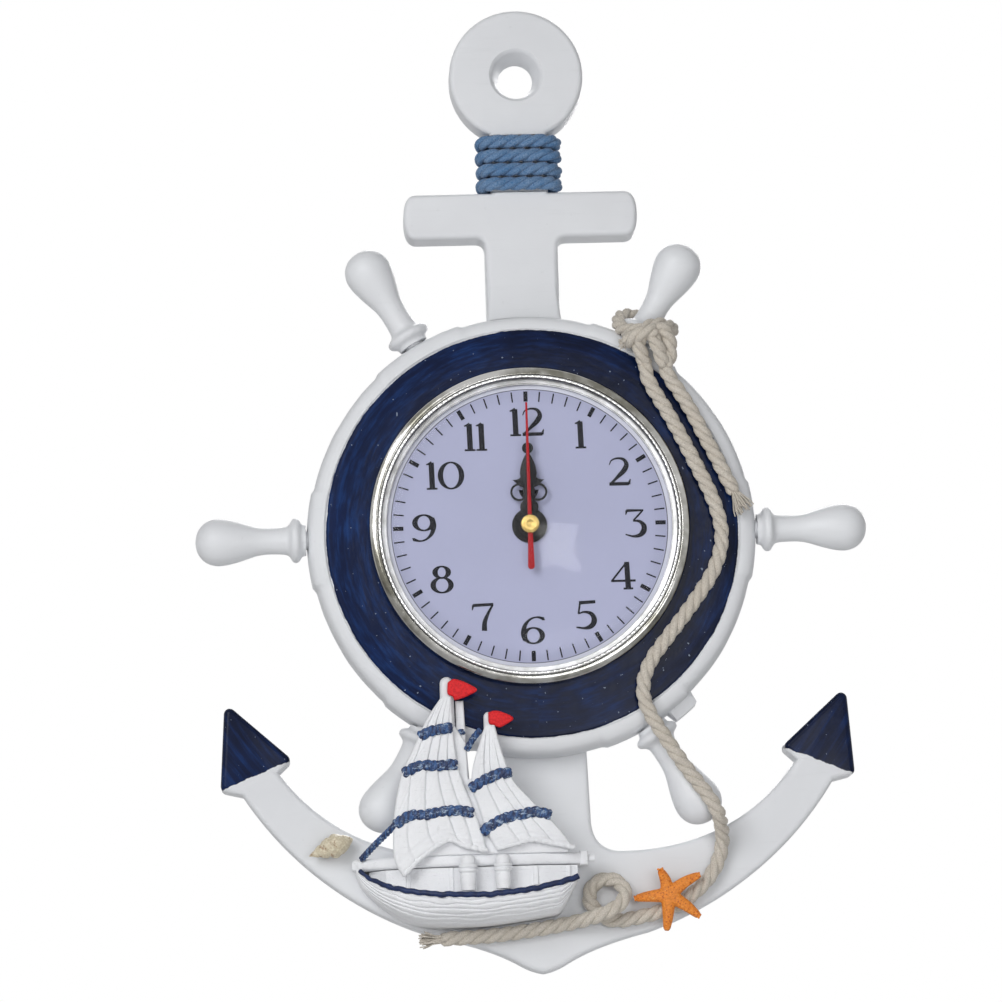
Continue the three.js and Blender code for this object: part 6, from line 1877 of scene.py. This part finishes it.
def shell_cream():
    f = Finish("shell_cream", 0.35)
    spots = f.noise(0.45, 4, 0.6)
    grain = f.noise(1.5, 4, 0.6)
    base = f.blend(f.eased(grain, 0.3, 0.7), (0.55, 0.47, 0.33), (0.74, 0.68, 0.53))
    f.colour(f.blend(f.eased(spots, 0.56, 0.66, 0, 0.7), base, (0.24, 0.12, 0.05)))
    return f.bump(grain, 0.5, 0.15)


def remeshed(piece, voxel, smooth):
    """One even skin over overlapping shapes."""
    skin = piece.modifiers.new("skin", "REMESH")
    skin.mode = "VOXEL"
    skin.voxel_size = voxel * MM
    soft = piece.modifiers.new("soft", "SMOOTH")
    soft.iterations = smooth
    return worked_in(piece, 60)


def ball(centre, radius, sides=12):
    x, y, z = centre
    turn = np.linspace(-math.pi / 2, math.pi / 2, 8)
    stations = [((x, y + radius * math.sin(t), z), radius * math.cos(t)) for t in turn]
    return surface(hoops(stations, ALONG_X, ALONG_Z, sides))


class CLOCK_OT_starfish(bpy.types.Operator):
    """Model the starfish, with a knobbly ridge along each arm"""

    bl_idname = "clock.starfish"
    bl_label = "Starfish"

    def execute(self, context):
        rng = np.random.default_rng(11)
        cx, cz = STAR_CENTRE
        parts = []
        for tip in STAR_TIPS:
            tip = np.array([tip[0], STAR_BACK - 1.25, tip[1]])
            root = np.array([cx, STAR_BACK - 2, cz])
            heading = (tip - root) / np.linalg.norm(tip - root)
            bend = np.array([heading[2], 0, -heading[0]]) * rng.uniform(-0.8, 0.8)
            line = smooth_path([root, root + (tip - root) * 0.5 + bend, tip - heading * 1.1], 0.4)
            size = np.interp(np.linspace(0, 1, len(line)), (0, 0.25, 0.7, 0.93, 1), (3, 2.3, 1.7, 1.25, 0.7))
            points, faces = swept(line, size, 20)
            points[:, 1] = STAR_BACK - 1.35 + (points[:, 1] - (STAR_BACK - 1.35)) * 0.78
            parts.append((points, faces))
            side = np.array([heading[2], 0, -heading[0]])
            for s in np.arange(2.2, np.linalg.norm(tip - root) - 0.8, 1.15):
                top = STAR_BACK - 1.35 - 0.78 * float(np.interp(s, (0, 12), (2.7, 1.3)))
                for across in (-0.62, 0, 0.62):
                    shift = side * across * float(np.interp(s, (0, 12), (1.9, 1)))
                    shift += heading * rng.uniform(-0.2, 0.2)
                    place = root + heading * s + shift
                    place[1] = top + 0.35 * abs(across) ** 1.5 + rng.uniform(-0.05, 0.1)
                    parts.append(ball(place, rng.uniform(0.34, 0.48)))
        parts.append(ball((cx, STAR_BACK - 1.35, cz), 1.9, 20))
        star = remeshed(new_piece("orange_starfish", together(*parts)), 0.2, 3)
        coords = np.zeros(len(star.data.vertices) * 3)
        star.data.vertices.foreach_get("co", coords)
        coords = coords.reshape(-1, 3)
        coords[:, 1] = np.clip(coords[:, 1], (STAR_BACK - STAR_T) * MM, STAR_BACK * MM)
        star.data.vertices.foreach_set("co", coords.ravel())
        star.data.update()
        dress(star, finish_of(star_orange), "clock", "orange_paint", "starfish")
        return {"FINISHED"}


class CLOCK_OT_shell(bpy.types.Operator):
    """Model the small whelk on the left arm"""

    bl_idname = "clock.shell"
    bl_label = "Shell"

    def execute(self, context):
        heading = np.array([15, 0, 5.5])
        heading /= np.linalg.norm(heading)
        side = np.array([-heading[2], 0, heading[0]])
        around = circle(64)
        stations = []
        for s in np.linspace(0, 1, 110):
            envelope = float(np.interp(s, (0, 0.06, 0.2, 0.36, 0.54, 0.66, 0.84, 0.96, 1),
                                       (0.02, 0.55, 1.75, 2.95, 4, 3.95, 2.5, 0.9, 0.02)))
            whorl = 5.2 * (s ** 0.62)
            phase = 2 * math.pi * whorl - around
            rib = 0.5 + 0.5 * np.cos(phase)
            fade = min(1, s * 8) * (1.0 if s < 0.6 else max(0.25, 1 - (s - 0.6) * 2.2))
            fine = 0.03 * np.cos(around * 14 + 20 * s)
            r = envelope * (0.86 + 0.14 * (1 - (1 - rib) ** 3 * fade) + fine * fade)
            stations.append((np.array(SHELL_FOOT) + heading * (s * SHELL_LENGTH), r[:, None]))
        shell = surface(hoops(stations, side, -ALONG_Y, 64))
        build("whelk_shell", shell, 60, shell_cream, "shell", "shell")
        return {"FINISHED"}


# Movement and the back of the insert, about the insert's axis

CASE_HALF = 28.0
CASE_WALL = 1.2
CASE_FRONT = -22.3
CASE_INNER = -21.1
COVER_INNER = -8.2
COVER_BACK = -7.0
BAY_WALL_Z = -12.0
BUSH_FRONT = -26.8
KNOB_AT = (12.79, 7.39)
KNOB_R = 5.0
BATTERY_R = 7.1
BATTERY_HALF = 24.6
BATTERY_MID = (-0.4, -13.7, -19.4)
PAN_R = 49.8
PAN_FRONT = -23.8
PAN_BACK = -14.8


class MovementSettings(bpy.types.PropertyGroup):
    case: FloatVectorProperty(
        name="Case", description="Colour of the movement's plastic", subtype="COLOR", size=3,
        default=(0.018, 0.019, 0.022),
    )
    pan: FloatVectorProperty(
        name="Pan", description="Colour of the insert's pan", subtype="COLOR", size=3,
        default=(0.62, 0.62, 0.61),
    )


def moulded(name, colour, roughness, grain=0.3):
    """Moulded plastic with a fine spark-eroded grain."""
    f = Finish(name, roughness)
    f.colour(f.blend(f.eased(f.noise(0.25, 4), 0.35, 0.7), colour, shade(colour, 0.86)))
    f.rough(f.eased(f.noise(0.5, 3), 0.35, 0.7, roughness - 0.06, roughness + 0.08))
    return f.bump(f.noise(3.2, 4, 0.7), grain, 0.05)


def black_plastic():
    return moulded("black_plastic", bpy.context.scene.clock_movement.case, 0.48)


def white_plastic():
    return moulded("white_plastic", bpy.context.scene.clock_movement.pan, 0.42, 0.2)


def black_rubber():
    return moulded("black_rubber", (0.02, 0.02, 0.022), 0.78, 0.6)


def steel():
    f = Finish("steel", 0.32, Metallic=1)
    f.colour(f.blend(f.eased(f.noise(0.5, 4), 0.3, 0.7), (0.52, 0.53, 0.55), (0.4, 0.41, 0.43)))
    return f.bump(f.noise(1, 4, 0.6, f.stretched((0.2, 2, 2))), 0.2, 0.02)


def copper_wire():
    """Enamelled wire in close turns along the coil."""
    f = Finish("copper_wire", 0.35, Metallic=0.9)
    turns = f.add("ShaderNodeTexWave", wave_type="BANDS", bands_direction="X")
    f.put(turns, "Vector", f.stretched())
    f.put(turns, "Scale", 1.6)
    f.put(turns, "Distortion", 0.3)
    f.colour(f.blend(turns.outputs["Fac"], (0.24, 0.075, 0.025), (0.62, 0.24, 0.09)))
    return f.bump(turns.outputs["Fac"], 0.8, 0.15)


def green_board():
    f = Finish("green_board", 0.42)
    tracks = f.noise(0.35, 1, 0.3, f.stretched((1, 1, 3)))
    f.colour(f.blend(f.eased(tracks, 0.5, 0.53), (0.012, 0.085, 0.03), (0.03, 0.17, 0.06)))
    return f.bump(tracks, 0.4, 0.05)


def battery_wrap():
    """Plain foil: a dark body, a copper-coloured band at the positive end and bare metal at both faces."""
    f = Finish("battery_wrap", 0.3)
    x = f.apart(f.stretched())["X"]
    grain = f.noise(1.2, 4, 0.6)
    dark = f.blend(f.eased(grain, 0.35, 0.7), (0.012, 0.013, 0.016), (0.022, 0.023, 0.028))
    band = f.blend(f.eased(grain, 0.35, 0.7), (0.5, 0.2, 0.06), (0.42, 0.16, 0.05))
    base = f.blend(f.eased(x, 9, 9.2), dark, band)
    right, left = BATTERY_HALF - 0.9 + INSERT_X + BATTERY_MID[0], -BATTERY_HALF - 0.9
    bare = f.maths("ADD", f.eased(x, right, right + 0.1), f.eased(x, left, left + 0.2, 1, 0))
    f.colour(f.blend(bare, base, (0.55, 0.55, 0.56)))
    return f.bump(grain, 0.15, 0.04)


def back_plate(points, front, back, edge=0.0, steps=4):
    """A flat plate whose back edge, towards the wall, is rounded."""
    levels = round_over(back, edge, steps, -1)[::-1] if edge else [(back, 0)]
    return slab(points, [*levels, (front, 0)])


def side_plate(points, left, right, edge=0.3):
    """A plate drawn as [y, z] that faces along X."""
    shape, faces = slab(points, [(right, 0), (left + edge, 0), (left, edge)])
    return shape[:, [1, 0, 2]], faces


def movement_case():
    back = COVER_INNER - SEAT_GAP
    room = CASE_HALF - CASE_WALL
    case = new_piece("movement_box", moved(plate(
        round_box(-CASE_HALF, CASE_HALF, -CASE_HALF, CASE_HALF, 2.6), back, CASE_FRONT, 1.2, 4, 0.3)), 35)
    # the upper room, the battery's bay, the notch for a finger and the arbors' hole
    rooms = [
        plate(round_box(-room, room, BAY_WALL_Z + CASE_WALL, room, 1.6), 0, CASE_INNER),
        plate(round_box(-room, room, -room, BAY_WALL_Z, 1.6), 0, CASE_INNER),
        disc(7, back + 1, back - 6, 0, -30, sides=48),
        disc(2.35, 0, -60, sides=40),
    ]
    case = combined(case, "DIFFERENCE", [new_piece("room", moved(shape)) for shape in rooms], 35)
    thread = [(2.35, CASE_FRONT + 0.4), (BUSH_R - 0.25, CASE_FRONT + 0.4)]
    for y in np.arange(CASE_FRONT, BUSH_FRONT + 0.35, -0.5):
        thread += [(BUSH_R - 0.28, y), (BUSH_R, y - 0.25)]
    thread += [(BUSH_R - 0.35, BUSH_FRONT), (2.35, BUSH_FRONT), (2.35, CASE_FRONT + 0.4)]
    bush = new_piece("bush", moved(lathe(thread, 0, 0, 48)), 20)
    return combined(case, "UNION", [bush], 35)


def movement_cover():
    face = COVER_BACK
    cover = back_plate(round_box(-CASE_HALF, CASE_HALF, BAY_WALL_Z, CASE_HALF, 2.4), COVER_INNER, face, 0.7)
    lip = beside(0, face, (5.5, -0.2), (5.5, 0.25), (6, 0.5), (6.7, 0.5), (7.2, 0.2), (7.2, -0.2),
                 (5.5, -0.2))
    boss = lathe(beside(0, face, (0, -0.2), (0, 0.6), (1.9, 0.6), (2.4, 0.3), (2.4, -0.2)), 0, 0, 40)
    bars = [
        back_plate(round_box(-20, -3, z, z + 0.9, 0.44, 4), face - 0.2, face + 0.35, 0.3, 3)
        for z in np.arange(14, 23, 1.9)
    ]
    pin = beside(0, face, (0, -0.2), (0, 0.2), (1, 0.25), (1.25, -0.2))
    pins = [lathe(pin, x, z, 24) for x in (-24.5, 24.5) for z in (-8.5, 24.5)]
    return moved(together(cover, lathe(lip, *KNOB_AT, 64), boss, *bars, *pins))


def toothed(teeth, tip, root, turn=0.0, x=0.0, z=0.0):
    """A small wheel with rounded teeth."""
    angles = circle(teeth * 12)
    wave = np.clip(1.4 * np.cos(teeth * (angles - turn)), -1, 1)
    radius = (tip + root) / 2 + (tip - root) / 2 * wave
    return [(x + r * math.cos(a), z + r * math.sin(a)) for r, a in zip(radius, angles)]


def set_knob():
    back = COVER_BACK + SEAT_GAP + 2.0
    x, z = KNOB_AT
    head = back_plate(toothed(40, KNOB_R, KNOB_R - 0.32, 0, x, z), back - 2, back, 0.35)
    dish = beside(0, back, (0, -0.2), (0, 0.05), (3, 0.05), (3.5, 0.3), (4, 0.3), (4.3, -0.2))
    shaft = disc(1, back - 1, CASE_INNER + SEAT_GAP, x, z, sides=32)
    pinion = slab(toothed(10, 2.13, 1.47, math.radians(18), x, z), [(-18.8, 0), (-19.6, 0)])
    return moved(together(head, lathe(dish, x, z, 64), shaft, pinion))


def battery():
    """A round cell: crimped ends, a shoulder and a nub at the positive end."""
    half, r = BATTERY_HALF, BATTERY_R
    profile = [
        (0.02, -half + 0.1), (4.2, -half + 0.1), (4.5, -half),
        *beside(r, -half, (-1.1, 0), (-0.7, 0.15), (-0.5, 0.5), (-0.15, 0.55), (0, 0.75)),
        *beside(r, half, (0, -0.8), (-0.2, -0.5), (-0.55, -0.4), (-0.8, -0.1), (-1.4, 0)),
        *beside(0, half, (4, 0), (3.7, -0.15), (3, -0.15), (2.8, 0), (2.7, 0.75), (2.4, 1), (0.02, 1)),
    ]
    cx, cy, cz = BATTERY_MID
    stations = [((cx + s, cy, cz), radius) for radius, s in profile]
    return moved(surface(hoops(stations, ALONG_Y, ALONG_Z, 72)))


def contacts():
    """The bent leaf at the positive end, and the leaf with its flat spring at the negative end."""
    cx, cy, cz = BATTERY_MID
    face = cx + BATTERY_HALF + 1.3
    room = CASE_HALF - CASE_WALL - SEAT_GAP
    leaf = side_plate(round_box(cy - 5, cy + 4, cz - 4, cz + 4, 1.2), room - 0.45, room)
    bent = [(room - 0.4, cy - 4.4, cz), (face + 0.2, cy - 2, cz), (face + 0.12, cy + 1.5, cz),
            (room - 0.4, cy + 3.6, cz)]
    bow = swept(resampled(bent, 0.3), 0.12, 10)
    bow[0][:, 2] = cz + (bow[0][:, 2] - cz) * 18.0
    plus = together(leaf, bow)
    left = -room
    leaf = side_plate(round_box(cy - 5, cy + 4, cz - 5, cz + 5, 1.4), left, left + 0.45)
    spiral = []
    for t in np.linspace(0, 1, 160):
        reach, angle = 3.3 - 1.6 * t, 5.5 * math.pi * t
        spiral.append((left + 0.55 + 0.5 * t, cy + reach * math.cos(angle), cz + reach * math.sin(angle)))
    minus = together(leaf, swept(spiral, 0.18, 10))
    return moved(plus), moved(minus)


def insert_pan():
    """The insert's plastic dish, with a stiffening ring and ribs on its back."""
    floor = PAN_FRONT + 1.2
    wall = [
        (BUSH_R + 0.3, PAN_FRONT), *beside(PAN_R, PAN_FRONT, (-0.4, 0), (0, 0.4)),
        *beside(PAN_R, PAN_BACK, (0, -0.3), (-0.3, 0), (-0.9, 0), (-1.2, -0.3)),
        *beside(PAN_R, floor, (-1.2, 1.2), (-2, 0.3), (-3, 0)),
        *beside(0, floor, (42.5, 0), (42.2, 1), (41.2, 1), (40.9, 0), (BUSH_R + 0.3, 0)),
        (BUSH_R + 0.3, PAN_FRONT),
    ]
    parts = [lathe(wall, 0, 0, 160)]
    for i in range(12):
        a = math.radians(30 * i + 15)
        along, across = np.array([math.sin(a), math.cos(a)]), np.array([math.cos(a), -math.sin(a)])
        corners = ((41.6, -0.5), (41.6, 0.5), (47.9, 0.5), (47.9, -0.5))
        rib = [tuple(along * r + across * w) for r, w in corners]
        parts.append(back_plate(rib, floor - 0.3, floor + 1.6, 0.25, 3))
    return moved(together(*parts))


class CLOCK_OT_movement(bpy.types.Operator):
    """Mould the insert's pan and the movement, and lay in the battery and its contacts"""

    bl_idname = "clock.movement"
    bl_label = "Movement"

    def execute(self, context):
        dark = finish_of(black_plastic)
        plus, minus = contacts()
        case = movement_case()
        case.name = case.data.name = "case_with_bush"
        dress(case, dark, "clock", "black_plastic", "movement_case")
        build("back_cover", movement_cover(), 35, black_plastic, "black_plastic", "movement_cover")
        build("setting_knob", set_knob(), 30, black_plastic, "black_plastic", "set_knob", body="knob")
        build("cell", battery(), 35, battery_wrap, "battery_wrap", "battery", body="cell")
        build("plus_contact", plus, 35, steel, "steel", "positive_contact")
        build("minus_contact", minus, 45, steel, "steel", "negative_contact")
        build("pan_with_ribs", insert_pan(), 32, white_plastic, "white_plastic", "insert_pan")
        wheels = [f"{name}_wheel" for name in ("hour", "minute", "centre", "third", "second", "middle")]
        for make, nodes in (
            (white_plastic, wheels),
            (black_rubber, ("grip_band", "bush_washer")),
            (hand_black, ("bush_nut",)),
            (steel, ("rotor", "stator", "crystal")),
            (copper_wire, ("coil",)),
            (green_board, ("circuit_board",)),
        ):
            for node in nodes:
                paint_node(node, finish_of(make))
        return {"FINISHED"}


# Studio


def lamp(name, place, target, size, power):
    """A soft lamp at a place, turned to a target."""
    light = bpy.data.lights.new(name, "AREA")
    light.shape = "RECTANGLE"
    light.size, light.size_y = size
    light.energy = power
    holder = bpy.data.objects.new(name, light)
    holder.location = place
    aim = Vector(target) - Vector(place)
    holder.rotation_euler = aim.to_track_quat("-Z", "Y").to_euler()
    # a matt surface behind the lens already gathers the lamps through it
    holder.visible_camera = holder.visible_transmission = False
    bpy.context.scene.collection.objects.link(holder)


class CLOCK_OT_camera(bpy.types.Operator):
    """Place the camera at the photograph's viewing angle"""

    bl_idname = "clock.camera"
    bl_label = "Camera"

    def execute(self, context):
        studio = context.scene.clock_studio
        camera = bpy.data.cameras.new("camera")
        camera.lens = studio.lens
        camera.sensor_width = 36.0
        camera.clip_start = 0.01
        holder = bpy.data.objects.new("camera", camera)
        turn = Matrix.Rotation(studio.azimuth, 4, "Z")
        turn = turn @ Matrix.Rotation(math.pi / 2 - studio.elevation, 4, "X")
        turn = turn @ Matrix.Rotation(studio.roll, 4, "Z")
        back = turn.to_3x3() @ Vector((0, 0, 1))
        holder.matrix_world = Matrix.Translation(Vector(studio.aim) + back * studio.distance) @ turn
        context.scene.collection.objects.link(holder)
        context.scene.camera = holder
        return {"FINISHED"}


class CLOCK_OT_studio(bpy.types.Operator):
    """Set up the floor, the soft lamps and the white room"""

    bl_idname = "clock.studio"
    bl_label = "Studio"

    def execute(self, context):
        studio = context.scene.clock_studio
        floor = new_piece("floor", surface([
            [(x, y, studio.floor_height / MM + EYE_HEIGHT) for x in (-1500, 1500)] for y in (-1500, 1500)
        ], closed=False, caps=False))
        paint = Finish("pale_floor", 0.8)
        paint.colour((0.8, 0.8, 0.8))
        floor.data.materials.append(paint.material)
        middle = (0, 0, -0.15)
        lamp("key_lamp", (-0.68, -1.25, 0.32), middle, (0.8, 0.8), studio.key_power)
        lamp("fill_lamp", (1, -1, -0.1), middle, (0.8, 1), studio.fill_power)
        lamp("low_lamp", (0.16, -0.6, -0.26), (0, 0, -0.29), (0.3, 0.12), studio.low_power)
        lamp("back_lamp", (0.3, 1.2, 0.5), middle, (1, 1), studio.back_power)
        glare = at(INSERT_X + 11, -30, INSERT_Z - 7)
        lamp("window_lamp", (0.2, -2.2, 0.09), glare, (0.13, 0.16), studio.window_power)
        world = bpy.data.worlds.new("white_room")
        world.use_nodes = True
        room = Nodes(world.node_tree)
        rays = room.add("ShaderNodeLightPath").outputs
        seen = room.maths("MAXIMUM", rays["Is Glossy Ray"], rays["Is Transmission Ray"])
        seen = room.maths("MAXIMUM", rays["Is Camera Ray"], seen)
        # daylight that a matt surface gathers through the lens stays at the room's own level
        seen = room.maths("MULTIPLY", seen, room.maths("LESS_THAN", rays["Diffuse Depth"], 0.5))
        level = room.add("ShaderNodeMapRange")
        for socket, value in (("Value", seen), ("To Min", studio.world_strength), ("To Max", 1)):
            room.put(level, socket, value)
        background = room.tree.nodes["Background"]
        room.put(background, "Strength", level.outputs["Result"])
        room.put(background, "Color", (1, 1, 1))
        context.scene.world = world
        context.scene.view_settings.view_transform = "Standard"
        return {"FINISHED"}


STEPS = (
    CLOCK_OT_camera, CLOCK_OT_ropes, CLOCK_OT_neck_cord, CLOCK_OT_anchor, CLOCK_OT_wheel, CLOCK_OT_handles,
    CLOCK_OT_insert, CLOCK_OT_dial_print, CLOCK_OT_hands, CLOCK_OT_boat, CLOCK_OT_starfish, CLOCK_OT_shell,
    CLOCK_OT_movement, CLOCK_OT_studio,
)


class CLOCK_PT_pieces(bpy.types.Panel):
    """Lists the clock's pieces and their settings"""

    bl_idname = "CLOCK_PT_pieces"
    bl_label = "Ship wheel wall clock"
    bl_space_type = "VIEW_3D"
    bl_region_type = "UI"
    bl_category = "Clock"

    def draw(self, context):
        for step in STEPS:
            self.layout.operator(step.bl_idname)
        for group in SETTINGS:
            box = self.layout.box()
            settings = getattr(context.scene, group)
            for name in settings.bl_rna.properties.keys():
                if name not in ("rna_type", "name"):
                    box.prop(settings, name)


SETTINGS = {
    "clock_studio": StudioSettings,
    "clock_castings": CastingSettings,
    "clock_ropes": RopeSettings,
    "clock_dial": DialSettings,
    "clock_boat": BoatSettings,
    "clock_movement": MovementSettings,
}


def register():
    for name, group in SETTINGS.items():
        bpy.utils.register_class(group)
        setattr(bpy.types.Scene, name, PointerProperty(type=group))
    for shown in (*STEPS, CLOCK_PT_pieces):
        bpy.utils.register_class(shown)


def unregister():
    for shown in (CLOCK_PT_pieces, *STEPS[::-1]):
        bpy.utils.unregister_class(shown)
    for name, group in SETTINGS.items():
        delattr(bpy.types.Scene, name)
        bpy.utils.unregister_class(group)


def main():
    register()
    for step in STEPS:
        getattr(bpy.ops.clock, step.bl_idname.partition(".")[2])()
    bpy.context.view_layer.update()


if __name__ == "__main__":
    main()
